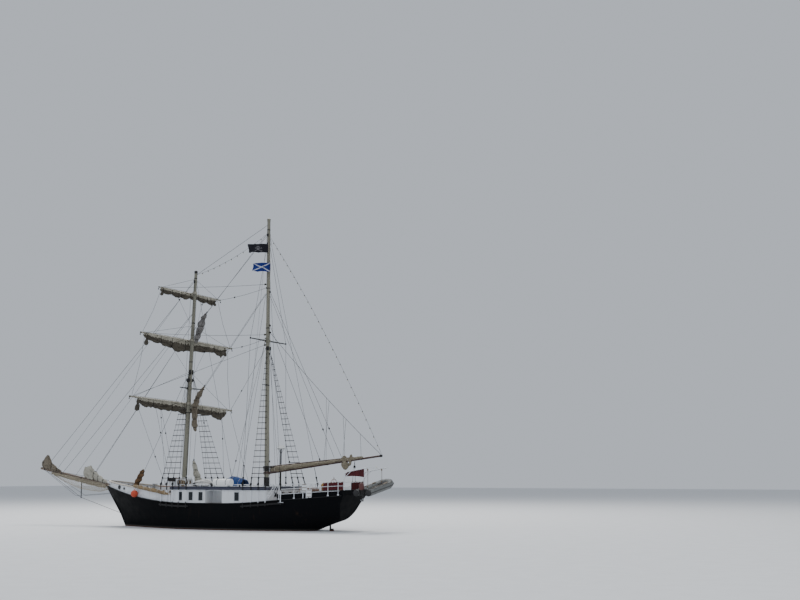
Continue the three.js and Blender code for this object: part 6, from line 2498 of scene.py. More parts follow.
@dataclass
class Bow:
    """The net slung under the bowsprit, and its guys."""

    roll: tuple[tuple[float, ...], ...] = (
        (21.5, 0.05, 0.05), (21.1, 0.11, 0.1), (20.2, 0.13, 0.12), (19.2, 0.15, 0.14), (18.2, 0.16, 0.15),
        (17.2, 0.15, 0.16), (16.3, 0.15, 0.17), (15.7, 0.12, 0.14), (15.45, 0.06, 0.06)
    )
    net: tuple[tuple[float, ...], ...] = (
        (21.2, 0.16, 3.98), (20.4, 0.34, 3.62), (19.4, 0.52, 3.24), (18.3, 0.68, 2.92), (17.2, 0.82, 2.78),
        (16.2, 0.92, 2.7), (15.4, 0.98, 2.86), (14.9, 0.92, 2.96)
    )
    guy_ends: tuple[float, float] = (22.3, 14.5)
    net_ends: tuple[float, float] = (21.2, 14.9)
    mesh: float = 0.16
    strands: int = 17
    cord: float = 0.0075

    def guy(self, x: float, side: int) -> Vector:
        """Returns a point of the guy that holds the net's edge.

        Args:
            x: the place along the ship.
            side: 1 for port and -1 for starboard.

        Returns:
            The point.
        """
        fore, aft = self.guy_ends
        share = (fore - x) / (fore - aft)
        return Vector((x, side * (0.14 + 0.93 * share), 4.5 - 1.15 * share))

    def edge(self, x: float, turn: float) -> Vector:
        """Returns a point of the net's hanging surface.

        Args:
            x: the place along the ship.
            turn: -1 at the starboard guy, 0 at its lowest and 1 at the port guy.

        Returns:
            The point.
        """
        rows = tuple(reversed(self.net))
        low = between(rows, x, 2)
        top = self.guy(x, 1)
        reach = top.y * copysign(abs(turn) ** 0.8, turn)
        wave = 0.05 * noise.noise(Vector((x * 1.3, turn * 2.0, 5.0)))
        return Vector((x, reach, low + (top.z - low) * abs(turn) ** 2.3 + wave * (1 - abs(turn))))

    def build(self) -> None:
        """Builds the net and the guys."""
        builder = Builder()
        fore, aft = self.net_ends
        xs = spread(fore, aft, round((fore - aft) / self.mesh))
        across = spread(-1, 1, self.strands)
        for x in xs:
            builder.tube([self.edge(x, t) for t in across], self.cord, 3)
        for turn in across[1:-1]:
            builder.tube([self.edge(x, turn) for x in xs], self.cord, 3)
        builder.piece("bowsprit_net", Look.PALE_ROPE)
        builder = Builder()
        rows = tuple((on_bowsprit(x) + Vector((0, 0.17, -0.16)), half, deep) for x, half, deep in self.roll)
        bundle = Bundle(rows, ACROSS, DOWN, (0.12, 0.3, 0.5, 0.68, 0.86), 66.0, 0.16, 0.0, 0.2)
        bundle.cloth(builder)
        builder.use(1)
        bundle.lashings(builder)
        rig.padded(builder.piece("head_sail_roll", (Look.MAINSAIL, Look.PALE_ROPE), angle=60.0), 0.4)
        builder = Builder()
        for _, side in SIDES:
            guy = [self.guy(x, side) for x in spread(self.guy_ends[0], aft, 12)]
            guy.append(EDGE.at(14.35, side, 0.01, 3.28))
            builder.tube(guy, 0.014, 6)
            builder.tube(
                [
                    Vector((22.3, side * 0.12, 4.48)), Vector((18.3, side * 0.55, 2.35)),
                    EDGE.at(14.5, side, 0.01, 2.6)
                ], 0.011, 6
            )
        builder.piece("bowsprit_guys", Look.WIRE, slot="rigging_wire")


@dataclass
class Quarterdeck:
    """Rails, weather cloths, the helm, the wheel and the after companion."""

    posts: tuple[float, ...] = (-2.74, -3.94, -5.16, -6.55, -7.3)
    rail_out: float = 0.034
    after_end: tuple[float, float] = (-7.525, 1.53)
    cloth: tuple[float, float] = (-7.515, -6.16)
    ladder: tuple[Point, ...] = ((-2.58, 3.28, -1.9, 2.3), (-2.3, 3.16, -1.66, 2.26))
    cloth_width: float = 0.62
    wheel: tuple[float, float, float] = (-5.86, 3.33, 0.42)
    companion: tuple[float, float, float, float] = (-4.3, -3.2, 0.48, 3.05)
    lid: tuple[float, float, float, float] = (-4.12, -3.17, 0.51, 3.11)
    handle: tuple[Point, ...] = ((-0.1, 0), (-0.09, 0.04), (0.09, 0.04), (0.1, 0))
    rail_drops: tuple[float, ...] = (0.0, 0.34, 0.68)
    treads: tuple[tuple[float, float, float, tuple[float, ...]], ...] = (
        (-4.94, -4.58, EDGE.half(-4.76) + 0.083, (2.92, 3.14, 3.36)),
        (-5.31, -4.95, EDGE.half(-5.1) + 0.088, (2.5, 2.74, 2.97))
    )
    helm_box: tuple[float, float, float] = (-6.47, -5.95, 0.27)
    compass_x: float = -4.95
    mooring: tuple[float, ...] = (-6.95, -6.7)
    mooring_post: tuple[Point, ...] = (
        (0, 0.1), (0.02, 0.09), (0.03, 0.055), (0.26, 0.055), (0.28, 0.07), (0.32, 0.065), (0.33, 0.02)
    )
    grip: tuple[Point, ...] = (
        (0, 0.02), (0.02, 0.024), (0.06, 0.017), (0.1, 0.023), (0.125, 0.021), (0.138, 0.008)
    )
    spoke: tuple[Point, ...] = (
        (0, 0.026), (0.04, 0.03), (0.1, 0.017), (0.2, 0.022), (0.3, 0.017), (0.32, 0.024)
    )
    hub: tuple[Point, ...] = ((0, 0.068), (0.015, 0.066), (0.03, 0.05), (0.05, 0.03), (0.055, 0.004))
    stand: tuple[Point, ...] = (
        (0, 0.19), (0.03, 0.19), (0.06, 0.14), (0.3, 0.11), (0.7, 0.13), (0.78, 0.17), (0.82, 0.17)
    )
    hood: tuple[Point, ...] = (
        (0, 0.165), (0.02, 0.17), (0.09, 0.15), (0.16, 0.1), (0.2, 0.03), (0.22, 0.02)
    )

    def rail(self, x: float, side: int, z: float) -> Vector:
        """Returns a point of the rail's line, which runs straight from post to post and in to the gantry.

        Args:
            x: the place along the ship.
            side: 1 for port and -1 for starboard.
            z: the height.

        Returns:
            The point.
        """
        last = self.posts[-1]
        if x < last:
            share = (x - last) / (self.after_end[0] - last)
            y = EDGE.half(last) + self.rail_out
            return Vector((x, side * (y + (self.after_end[1] - y) * share), z))
        for fore, aft in zip(self.posts, self.posts[1:]):
            if aft <= x <= fore:
                share = (x - fore) / (aft - fore)
                y = EDGE.half(fore) + (EDGE.half(aft) - EDGE.half(fore)) * share
                return Vector((x, side * (y + self.rail_out), z))
        return Vector((x, side * (EDGE.half(x) + self.rail_out), z))

    def rails(self) -> None:
        """Dresses the rails and adds their feet, tees, caps and the bars that run in to the gantry."""
        builder = Builder()
        for name, side in SIDES:
            dress(f"{name}_quarter_rail", Look.WHITE)
            for x in self.posts:
                foot = self.rail(x, side, EDGE.deck(x) + 0.02) + ACROSS * side * 0.012
                builder.lathe(foot, UP, [(0, 0.07), (0.05, 0.07), (0.075, 0.045)], 12)
                top = EDGE.rail_top(x)
                for drop in self.rail_drops:
                    builder.ball(self.rail(x, side, top - drop), (0.036, 0.036, 0.032), 10)
                post_end = self.rail(x, side, top + 0.01)
                builder.lathe(post_end, UP, [(0, 0.03), (0.02, 0.034), (0.045, 0.012)], 10)
            last, inner = self.posts[-1], self.after_end[0]
            for drop in self.rail_drops:
                start = self.rail(last, side, EDGE.rail_top(last) - drop)
                builder.tube([start, self.rail(inner, side, EDGE.rail_top(inner) - drop)], 0.02, 8)
        builder.piece("rail_tees", Look.WHITE, slot="white_paint")

    def boarding_ladder(self) -> None:
        """Adds the short ladder that leans from the rail's first post down to the side deck."""
        builder = Builder()
        stringers = []
        for high_x, high, low_x, low in self.ladder:
            ends = [Vector((x, EDGE.half(x) + 0.06, z)) for x, z in ((high_x, high), (low_x, low))]
            builder.tube(ends, 0.022, 8)
            stringers.append(ends)
        for share in spread(0.12, 0.88, 5):
            builder.tube([a.lerp(b, share) for a, b in stringers], 0.015, 6)
        builder.piece("boarding_ladder", Look.WHITE, slot="white_paint")

    def step(self) -> None:
        """Adds the boarding step's treads and rubbing strips on the port side."""
        builder = Builder()
        for aft, fore, out, heights in self.treads:
            for z in heights:
                builder.block((aft, out - 0.004, z - 0.025), (fore, out + 0.02, z + 0.02), 0.008)
        builder.piece("boarding_treads", Look.OAK)

    def weather_cloths(self) -> None:
        """Makes the red cloths laced inside the after rails."""
        for seed, (name, side) in enumerate(SIDES):
            builder, grid = Builder(), []
            for u in spread(0, 1, 42):
                x = self.cloth[0] + (self.cloth[1] - self.cloth[0]) * u
                line = []
                low, high = EDGE.quarter_top(x) + 0.035, EDGE.rail_top(x) - 0.07
                for v in spread(0, 1, 16):
                    pull = 0.018 * cos(u * pi * 10) * (v ** 6 - (1 - v) ** 6)
                    wave = 0.014 * sin(u * 19 + 3 * noise.noise(Vector((u * 3, v * 2, seed)))) * sin(pi * v)
                    place = self.rail(x, side, low + (high - low) * v + pull * (abs(v - 0.5) > 0.3))
                    line.append(place - Vector((0, side * (0.038 + 0.006 + max(0.0, wave)), 0)))
                grid.append(line)
            builder.sheet(grid)
            made = builder.piece(
                f"{name}_side_cloth", Look.RED, slot="red_canvas", stands_for=(f"{name}_weather_cloth",)
            )
            lay_out(made, self.cloth_width, "stretched", (f"{name}_quarter_rail",))
            lacing = Builder()
            for x in spread(self.cloth[0] + 0.04, self.cloth[1] - 0.04, 11):
                lacing.hoop(self.rail(x, side, EDGE.rail_top(x) - 0.035), (1, 0.2, 0), 0.055, 0.005, 10)
            lacing.piece(f"{name}_cloth_lacing", Look.PALE_ROPE)

    def helm(self) -> None:
        """Dresses the helm box and adds its trim."""
        dress("helm_box", Look.VARNISH)
        builder = Builder()
        for z in (2.62, 3.19):
            builder.bars(level_ring(*self.helm_box, z), 0.02)
        builder.block((-6.45, -0.19, 2.72), (-6.475, 0.19, 3.1), 0.01)
        builder.use(1).hoop((-5.965, 0, 3.33), AHEAD, 0.075, 0.012, 20)
        builder.piece("helm_trim", (Look.VARNISH, Look.BRONZE), slot="varnished_timber")

    def wheel_turnings(self) -> None:
        """Dresses the wheel and adds its grips, spokes, rings and hub."""
        dress("steering_wheel", Look.VARNISH)
        x, z, r = self.wheel
        builder = Builder()
        base = Vector((x, 0, z))
        for turn in turns(6, 0.5):
            out = Vector((0, cos(turn), sin(turn)))
            builder.lathe(base + out * (r + 0.012), out, self.grip, 10)
            builder.lathe(base + out * 0.08, out, self.spoke, 10)
        builder.use(1)
        for face in (-1, 1):
            builder.hoop((x + face * 0.018, 0, z), AHEAD, r, 0.007, 40)
        builder.lathe((x + 0.045, 0, z), AHEAD, self.hub, 20)
        builder.piece("wheel_grips", (Look.VARNISH, Look.BRONZE), "steering_wheel", "varnished_timber")

    def binnacle(self) -> None:
        """Adds the compass stand and its hood."""
        foot = Vector((self.compass_x, 0, EDGE.deck(self.compass_x) + 0.03))
        builder = Builder()
        builder.lathe(foot, UP, self.stand, 20)
        builder.use(1).lathe(foot + up(0.82), UP, self.hood, 20)
        builder.piece("binnacle", (Look.VARNISH, Look.BRONZE))

    def hatchway(self) -> None:
        """Dresses the after companion and adds its slides, posts and boards."""
        dress("after_companion", Look.WHITE)
        aft, fore, half, top = self.companion
        builder = Builder()
        for side in (1, -1):
            slide = side * (half + 0.048)
            builder.tube([(x, slide, top - 0.045) for x in (aft + 0.02, fore)], 0.02, 8)
            for x in (aft, fore):
                builder.tube([(x, side * half, z) for z in (EDGE.deck(-3.7) + 0.05, top - 0.02)], 0.022, 8)
        for z in spread(EDGE.deck(-4.3) + 0.12, top - 0.12, 4):
            builder.block((aft - 0.018, -half + 0.05, z - 0.075), (aft, half - 0.05, z + 0.075), 0.006)
        builder.piece("companion_trim", Look.VARNISH, slot="varnished_timber")

    def sliding_lid(self) -> None:
        """Dresses the companion's lid and adds its battens and handle."""
        dress("companion_lid", Look.VARNISH)
        aft, fore, half, top = self.lid
        builder = Builder()
        for y in spread(-half + 0.1, half - 0.1, 5):
            builder.tube([(x, y, top + 0.004) for x in (aft + 0.02, fore - 0.02)], 0.012, 5)
        builder.use(1).tube([(aft + 0.08, y, top + rise) for y, rise in self.handle], 0.011, 6)
        builder.piece("companion_lid_trim", (Look.VARNISH, Look.BRONZE), "companion_lid", "varnished_timber")

    def deck_gear(self) -> None:
        """Adds the mainmast's pin rails and the mooring posts."""
        builder = Builder()
        for _, side in SIDES:
            pin_rail(
                builder, EDGE.at(-2.9, side, -0.14, 2.62), EDGE.at(-4.2, side, -0.14, 2.7), 6, (0, -side, 0)
            )
        builder.piece("quarter_pin_rails", (Look.VARNISH, Look.MANILA, Look.PALE_ROPE))
        builder = Builder()
        for _, side in SIDES:
            for x in self.mooring:
                builder.lathe(EDGE.at(x, side, -0.4) - up(0.02), UP, self.mooring_post, 14)
        builder.piece("mooring_posts", Look.BLACK)

    def build(self) -> None:
        """Builds and dresses the quarterdeck."""
        self.rails()
        self.boarding_ladder()
        self.step()
        self.weather_cloths()
        self.helm()
        self.wheel_turnings()
        self.binnacle()
        self.hatchway()
        self.sliding_lid()
        self.deck_gear()


@dataclass
class Stern:
    """The gantry with its cloth, the tender and its motor."""

    post: tuple[float, float] = (-7.56, 1.48)
    elbow: tuple[float, float] = (-7.78, 4.27)
    end: tuple[float, float] = (-9.45, 4.56)
    tender: tuple[float, float, float] = (-9.26, 3.33, 0.225)
    beam: float = 0.5
    stern: float = 1.9
    pivot: float = -1.5
    tilt: float = -9.5
    tackle: float = 1.05
    blade: tuple[float, ...] = (0.018, 0.05, 0.055)
    bag: tuple[Point, ...] = (
        (0.02, -1.62, 0.1, 0.06), (0.0, -1.5, 0.28, 0.14), (-0.02, -1.25, 0.3, 0.17), (0.0, -1.0, 0.22, 0.12),
        (0.02, -0.9, 0.08, 0.05)
    )
    cowl: tuple[Point, ...] = (
        (0.24, 0.19, 0.11, 0.14), (0.27, 0.2, 0.15, 0.175), (0.42, 0.21, 0.163, 0.185),
        (0.58, 0.2, 0.155, 0.175), (0.69, 0.18, 0.12, 0.14), (0.735, 0.17, 0.05, 0.06)
    )
    leg: tuple[Point, ...] = (
        (0.25, 0.13, 0.15), (0.18, 0.09, 0.11), (-0.05, 0.06, 0.085), (-0.3, 0.045, 0.07), (-0.55, 0.03, 0.06)
    )
    gearbox: tuple[Point, ...] = ((0, 0.012), (0.04, 0.045), (0.12, 0.055), (0.2, 0.05), (0.24, 0.03))
    screw: tuple[Point, ...] = (
        (0.02, 0.03, 0.9), (0.06, 0.05, 0.6), (0.1, 0.045, 0.4), (0.125, 0.015, 0.3)
    )
    cloth_width: float = 1.52
    strand: float = 0.03

    def arm(self, x: float) -> float:
        """Returns the height of the gantry's arms."""
        share = (self.elbow[0] - x) / (self.elbow[0] - self.end[0])
        return self.elbow[1] + (self.end[1] - self.elbow[1]) * share

    def gantry(self) -> None:
        """Dresses the gantry and adds feet, braces, sheaves and a stern lamp."""
        dress("stern_gantry", Look.WHITE)
        x, y = self.post
        builder = Builder()
        for side in (1, -1):
            top = EDGE.quarter_top(x)
            builder.lathe(
                (x, side * y, top - 0.02), UP, [(0, 0.085), (0.025, 0.085), (0.035, 0.05), (0.08, 0.045)], 16
            )
            builder.tube(
                [(x, side * y, 3.72), (x - 0.25, side * y, 4.02), (-8.15, side * y, self.arm(-8.15) - 0.02)],
                0.022, 8
            )
            builder.ball((self.end[0], side * y, self.end[1]), (0.042, 0.042, 0.042), 12)
            for z in (3.3, 3.66):
                builder.hoop((x, side * y, z), UP, 0.037, 0.01, 14)
        builder.use(1)
        for side in (1, -1):
            x, y = self.tender[0], side * self.tackle
            low = self.hung(x, y, self.tender[1]).z + 0.3
            builder.pulley((x, y, 4.4), DOWN, 0.075)
            builder.pulley((x, y, low), UP, 0.065)
            for shift in (-self.strand, self.strand):
                builder.tube([(x + shift, y, 4.35), (x + shift, y, low + 0.04)], 0.008, 5)
        builder.use(2).lathe(
            (-9.39, 0, 4.545), UP, [(0, 0.05), (0.02, 0.05), (0.03, 0.04), (0.1, 0.04), (0.12, 0.02)], 14
        )
        builder.piece("gantry_fittings", (Look.WHITE, Look.MANILA, Look.BULB), slot="white_paint")

    def cloth(self) -> None:
        """Makes the red cloth laced below the gantry's port arm."""
        builder, grid = Builder(), []
        for u in spread(0, 1, 44):
            x = -9.18 + self.cloth_width * u
            high = (self.arm(x) if x < self.elbow[0] else self.elbow[1] - 0.06) - 0.045
            low = 3.93 + 0.05 * sin(pi * u) - 0.05 * (1 - u)
            line = []
            for v in spread(0, 1, 14):
                wave = 0.008 * sin(u * 26 + 4 * noise.noise(Vector((u * 3, v, 9)))) * (1 - v) ** 0.6
                line.append(Vector((x, self.post[1] - 0.045 + wave, low + (high - low) * v)))
            grid.append(line)
        builder.sheet(grid)
        made = builder.piece("gantry_side_cloth", Look.RED, slot="red_canvas", stands_for=("gantry_cloth",))
        lay_out(made, self.cloth_width, "hung", ("stern_gantry",))

    def hung(self, x: float, y: float, z: float) -> Vector:
        """Returns a point given in the tender's own level frame, tilted as it hangs.

        Args:
            x: the place along the ship.
            y: the place across, when level.
            z: the height, when level.

        Returns:
            The point.
        """
        turn = radians(self.tilt)
        far, high = y - self.pivot, z - self.tender[1]
        return Vector((
            x, self.pivot + far * cos(turn) - high * sin(turn),
            self.tender[1] + far * sin(turn) + high * cos(turn)
        ))

    def hang(self, builder: Builder) -> None:
        """Tilts everything in a builder from the tender's level frame."""
        for vert in builder.bm.verts:
            vert.co = self.hung(*vert.co)

    def path(self, count: int = 15) -> list[Vector]:
        """Returns the middle line of the tender's tube, from one end round the bow to the other.

        Args:
            count: how many points go round the bow.

        Returns:
            The points.
        """
        x, z, _ = self.tender
        bow = []
        for step in range(count):
            turn = pi * step / (count - 1)
            bow.append(Vector((x - cos(turn) * self.beam, -1.3 - sin(turn) * 0.65, z + sin(turn) * 0.12)))
        sides = spread(1.9, -1.3, 8)[:-1]
        port = [Vector((x - self.beam, y, z)) for y in sides]
        return [*port, *bow, *(Vector((x + self.beam, y, z)) for y in reversed(sides))]

    def tube_lines(self) -> tuple[list[Vector], list[Vector]]:
        """Returns where the tender's rubbing strake and its grab line run on its tube.

        Returns:
            The points of each.
        """
        x, z, r = self.tender
        path, middle = self.path(), Vector((x, -0.2, z))
        strake, line = [], []
        for i, place in enumerate(path):
            along = (path[min(i + 1, len(path) - 1)] - path[max(i - 1, 0)]).normalized()
            out = Vector((along.y, -along.x, 0)).normalized()
            if out.dot(place - middle) < 0:
                out = -out
            strake.append(place + out * (r + 0.006))
            line.append(place + out * r * 0.6 + up(r * 0.86))
        return strake, line

    def boat(self) -> None:
        """Dresses the tender and adds its strake, seams, grab line, cones, thwarts and oars."""
        x, z, r = self.tender
        dress("tender", (Look.TUBE, Look.RUBBER), self.tube_shade, 50.0)
        strake, line = self.tube_lines()
        builder = Builder()
        builder.tube(strake, 0.022, 8)
        for side in (-1, 1):
            builder.lathe(
                (x + side * self.beam, self.stern - 0.03, z), ACROSS,
                [(0, r + 0.006), (0.03, r + 0.006), (0.06, r * 0.9), (0.17, 0.1), (0.185, 0.02)], 20
            )
        builder.use(1)
        for y in (1.3, 0.5, -0.3, -1.1):
            for side in (-1, 1):
                builder.hoop((x + side * self.beam, y, z), ACROSS, r + 0.001, 0.006, 28)
        for y in (0.75, -0.45):
            builder.block(
                (x - self.beam + 0.16, y - 0.11, z + 0.05), (x + self.beam - 0.16, y + 0.11, z + 0.08), 0.01
            )
        builder.use(2)
        for a, b in zip(line[::2], line[2::2]):
            builder.tube(sag_line(a, b, -0.02, 5), 0.009, 5)
            builder.ball(a, (0.028, 0.028, 0.022), 8)
        builder.use(3)
        high = z + r + 0.035
        for side in (-1, 1):
            oar = x + side * (self.beam - 0.02)
            builder.tube([(oar, 1.3, high), (oar, -0.5, high)], 0.018, 8)
            builder.tube([(oar, -0.5, high), (oar, -0.6, high), (oar, -1.0, z + r + 0.033)], self.blade, 8)
        self.hang(builder)
        builder.piece(
            "tender_fittings", (Look.RUBBER, Look.TUBE, Look.ROPE, Look.OAK), slot="grey_tube_fabric"
        )

    def bow_bag(self) -> None:
        """Makes the dark bag in the tender's bow."""
        x, z, _ = self.tender
        builder = Builder()
        rows = tuple((Vector((x + dx, y, z + 0.1)), half, deep) for dx, y, half, deep in self.bag)
        Bundle(rows, AHEAD, DOWN, (0.5,), 88.0, 0.14, 0.0, 0.12).cloth(builder)
        self.hang(builder)
        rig.padded(builder.piece("tender_bow_bag", Look.BAG), 0.5)

    def tube_shade(self, middle: Vector, normal: Vector) -> int:
        """Returns 0 for the tender's tubes and 1 for its floor and transom.

        Args:
            middle: the face's middle.
            normal: its normal.

        Returns:
            The finish's number.
        """
        level = middle.x - self.tender[0]
        inside = abs(level) < self.beam - 0.1 and abs(normal.z) > 0.95 and middle.y > -1.3
        return 1 if inside or abs(normal.y) > 0.95 and abs(level) < self.beam else 0

    def motor(self) -> None:
        """Makes the outboard motor on the tender's transom."""
        x, z, _ = self.tender
        y = self.stern - 0.2
        builder = Builder()
        rings = []
        for height, far, wide, deep in self.cowl:
            rings.append([
                Vector((
                    x + wide * copysign(abs(cos(t)) ** 0.6, cos(t)),
                    y + far + deep * copysign(abs(sin(t)) ** 0.6, sin(t)), z + height
                )) for t in turns(28)
            ])
        builder.use(1).skin(rings)
        builder.use(0)
        builder.skin([
            [Vector((x + wide * cos(t), y + 0.16 + deep * sin(t), z + height)) for t in turns(16)]
            for height, wide, deep in self.leg
        ])
        builder.lathe((x, y + 0.07, z - 0.48), ACROSS, self.gearbox, 16)
        builder.block((x - 0.16, y + 0.08, z - 0.33), (x + 0.16, y + 0.25, z - 0.316), 0.004)
        builder.block((x - 0.012, y + 0.09, z - 0.6), (x + 0.012, y + 0.22, z - 0.5), 0.004)
        builder.tube(
            [(x, y + 0.06, z + 0.3), (x, y - 0.1, z + 0.36), (x, y - 0.5, z + 0.4)], [0.028, 0.022, 0.026], 8
        )
        builder.use(2)
        for shift in (-0.085, 0.085):
            builder.block(
                (x + shift - 0.02, y - 0.075, z - 0.03), (x + shift + 0.02, y + 0.11, z + 0.26), 0.008
            )
            builder.tube([(x + shift, y - 0.07, z + 0.07), (x + shift, y - 0.16, z + 0.07)], 0.012, 6)
        self.screw_blades(builder, Vector((x, y + 0.3, z - 0.48)))
        self.hang(builder)
        builder.piece(
            "outboard", (Look.COWL, Look.COWL_TRIM, Look.STEEL), slot="black_plastic",
            stands_for=("outboard_motor",)
        )

    def screw_blades(self, builder: Builder, base: Vector) -> None:
        """Adds the three blades of the motor's screw.

        Args:
            builder: where they go.
            base: the screw's middle.
        """
        for turn in turns(3):
            way = Vector((cos(turn), 0, sin(turn)))
            side = Vector((-way.z, 0, way.x))
            rows = []
            for far, wide, twist in self.screw:
                chord = side * cos(twist) + ACROSS * sin(twist)
                thick = chord.cross(way) * 0.006
                middle = base + way * far
                rows.append([
                    middle + chord * wide + thick, middle - chord * wide + thick,
                    middle - chord * wide - thick, middle + chord * wide - thick
                ])
            builder.skin(rows)

    def build(self) -> None:
        """Builds and dresses the stern."""
        self.gantry()
        self.cloth()
        self.boat()
        self.bow_bag()
        self.motor()


@dataclass
class Flag:
    """One flag on its halyard."""

    name: str
    hoist: tuple[float, float, float]
    fly: tuple[float, float, float]
    height: float
    finishes: tuple[Look, Look]
    seed: float


@dataclass
class Flags:
    """The two flags that fly on the port side of the mainmast."""

    columns: int = 150
    lines: int = 66
    rows: tuple[Flag, ...] = (
        Flag(
            "skull_flag", (-0.04, 0.37, 21.72), (1.25, 1.24, 21.7), 0.7, (Look.FLAG_BLACK, Look.FLAG_GREY),
            3.0
        ),
        Flag(
            "saltire_flag", (-0.26, 0.37, 20.22), (0.9, 1.15, 20.2), 0.7, (Look.FLAG_BLUE, Look.FLAG_WHITE),
            8.0
        )
    )

    def skull(self, u: float, v: float) -> bool:
        """Returns whether a point of the flag is on the traditional skull over crossed bones.

        Args:
            u: the share along the fly.
            v: the share up the hoist.

        Returns:
            Whether it is.
        """
        x, y = (u - 0.5) * 1.9, (v - 0.5)
        head = (x / 0.155) ** 2 + ((y - 0.1) / 0.165) ** 2 < 1
        jaw = abs(x) < 0.085 and -0.12 < y < 0.0
        eyes = any(((x - side * 0.062) / 0.042) ** 2 + ((y - 0.085) / 0.048) ** 2 < 1 for side in (-1, 1))
        nose = abs(x) < 0.018 and -0.02 < y < 0.03
        teeth = -0.1 < y < -0.055 and abs(sin(x * 85)) < 0.25
        bones = False
        for way in (-1, 1):
            along = x * 0.86 + way * (y + 0.16) * 0.51
            off = abs(-way * x * 0.51 + (y + 0.16) * 0.86)
            knob = min(hypot(abs(along) - 0.34, off - 0.03), hypot(abs(along) - 0.34, off + 0.03)) < 0.042
            bones = bones or (abs(along) < 0.34 and off < 0.026) or knob
        return ((head or jaw) and not (eyes or nose or teeth)) or (bones and not head and not jaw)

    def saltire(self, u: float, v: float) -> bool:
        """Returns whether a point of the flag is on the white diagonal cross."""
        return min(abs(u - v), abs(u + v - 1)) < 0.065

    def sheet(self, flag: Flag, device: Callable[[float, float], bool]) -> None:
        """Makes one flag as a waving sheet, with its line.

        Args:
            flag: which one.
            device: tells its pale figure from its field.
        """
        top, end = Vector(flag.hoist), Vector(flag.fly)
        wide = (end - top).length
        columns, lines = self.columns, self.lines
        builder, grid = Builder(), []
        for i in range(columns + 1):
            u = i / columns
            line = []
            for j in range(lines + 1):
                v = 1 - j / lines
                wave = 0.085 * sin(u * 8.5 + v * 1.3 + flag.seed) * u ** 0.7
                wave += 0.035 * sin(u * 17 - v * 3.1 + flag.seed * 2) * u
                droop = 0.05 * u * u + 0.02 * sin(u * 9 + flag.seed)
                squeeze = 1 - 0.12 * u * abs(sin(u * 7 + flag.seed))
                place = top.lerp(end, u) - up(flag.height * (1 - v) * squeeze + droop * u)
                line.append(place + Vector((0.03 * sin(v * 5 + flag.seed) * u, wave, 0)))
            grid.append(line)
        verts = [[builder.bm.verts.new(p) for p in line] for line in grid]
        for i in range(columns):
            for j in range(lines):
                builder.use(1 if device((i + 0.5) / columns, 1 - (j + 0.5) / lines) else 0)
                builder.face((verts[i][j], verts[i + 1][j], verts[i + 1][j + 1], verts[i][j + 1]))
        made = builder.piece(flag.name, flag.finishes)
        lay_out(made, wide, "hung", ("flag_halyard",))
        hem = Builder()
        hem.tube([grid[0][0] + up(0.03), *grid[0][::22], grid[0][-1] - up(0.03)], 0.011, 6)
        hem.piece(f"{flag.name}_rope", Look.PALE_ROPE)

    def build(self) -> None:
        """Builds the halyard and both flags."""
        builder = Builder()
        top = MAINMAST.by_height(22.5, 0.0, MAINMAST.girth(22.5))
        points = [top]
        for flag in self.rows:
            points += [Vector(flag.hoist) + up(0.03), Vector(flag.hoist) - up(flag.height + 0.03)]
        points += [Vector((-0.35, 1.4, 12.0)), Vector((-0.6, EDGE.half(-0.6) - 0.1, 3.25))]
        builder.tube(points, 0.007, 5)
        builder.piece("flag_halyard", Look.PALE_ROPE, slot="rigging_wire")
        for flag, device in zip(self.rows, (self.skull, self.saltire)):
            self.sheet(flag, device)


@dataclass
class Underwater:
    """The rudder's straps and the propeller."""

    shaft: Point = (-4.9, 0.0, -1.5)
    reach: float = 0.5
    stock: float = -5.59
    straps: tuple[Point, ...] = ((-0.5, 0.5), (-1.25, 0.66), (-2.0, 0.72))
    hub: tuple[Point, ...] = (
        (0, 0.004), (0.02, 0.03), (0.07, 0.06), (0.12, 0.078), (0.2, 0.088), (0.3, 0.085), (0.34, 0.055),
        (0.54, 0.05)
    )

    def rudder(self) -> None:
        """Dresses the rudder and adds its straps."""
        dress("rudder", Look.TOPSIDES)
        builder = Builder()
        for z, far in self.straps:
            for side in (1, -1):
                builder.block(
                    (self.stock - far, side * 0.053, z - 0.035), (self.stock + 0.03, side * 0.064, z + 0.035),
                    0.004
                )
                for share in (0.25, 0.5, 0.75):
                    builder.ball((self.stock - far * share, side * 0.065, z), (0.014, 0.006, 0.014), 8)
        builder.piece("rudder_straps", Look.BRONZE, "rudder", "bronze")

    def propeller(self) -> None:
        """Makes the three-bladed propeller with its hub, and the shaft's bearing."""
        base = Vector(self.shaft)
        builder = Builder()
        builder.lathe(base - AHEAD * 0.19, AHEAD, self.hub, 24)
        for blade in range(3):
            turn = blade * tau / 3 + pi / 2
            way = Vector((0, cos(turn), sin(turn)))
            side = Vector((0, -way.z, way.y))
            rows = []
            for far in spread(0.05, self.reach, 12):
                share = (far - 0.05) / (self.reach - 0.05)
                twist = 1.15 - 0.75 * share
                chord = side * cos(twist) + AHEAD * sin(twist)
                wide = 0.075 + 0.13 * sin(pi * min(1.0, share * 0.85 + 0.08)) ** 0.9
                wide *= sqrt(max(0.02, 1 - max(0.0, (share - 0.72) / 0.28) ** 2))
                thick = way.cross(chord) * (0.017 - 0.012 * share)
                rows.append([
                    base + way * far + chord * wide * cos(t) + thick * sin(t) - Vector((0.06 * share, 0, 0))
                    for t in turns(12)
                ])
            builder.skin(rows)
        builder.piece("propeller_blades", Look.BRONZE, "propeller", "bronze", ("propeller",))
        dress("propeller", Look.BRONZE)
        collar = Builder()
        collar.lathe((-4.36, 0, -1.5), AHEAD, [(0, 0.1), (0.0, 0.15), (0.05, 0.17), (0.12, 0.13)], 24)
        collar.piece("shaft_bearing", Look.BRONZE)

    def build(self) -> None:
        """Builds what is under the water."""
        self.rudder()
        self.propeller()


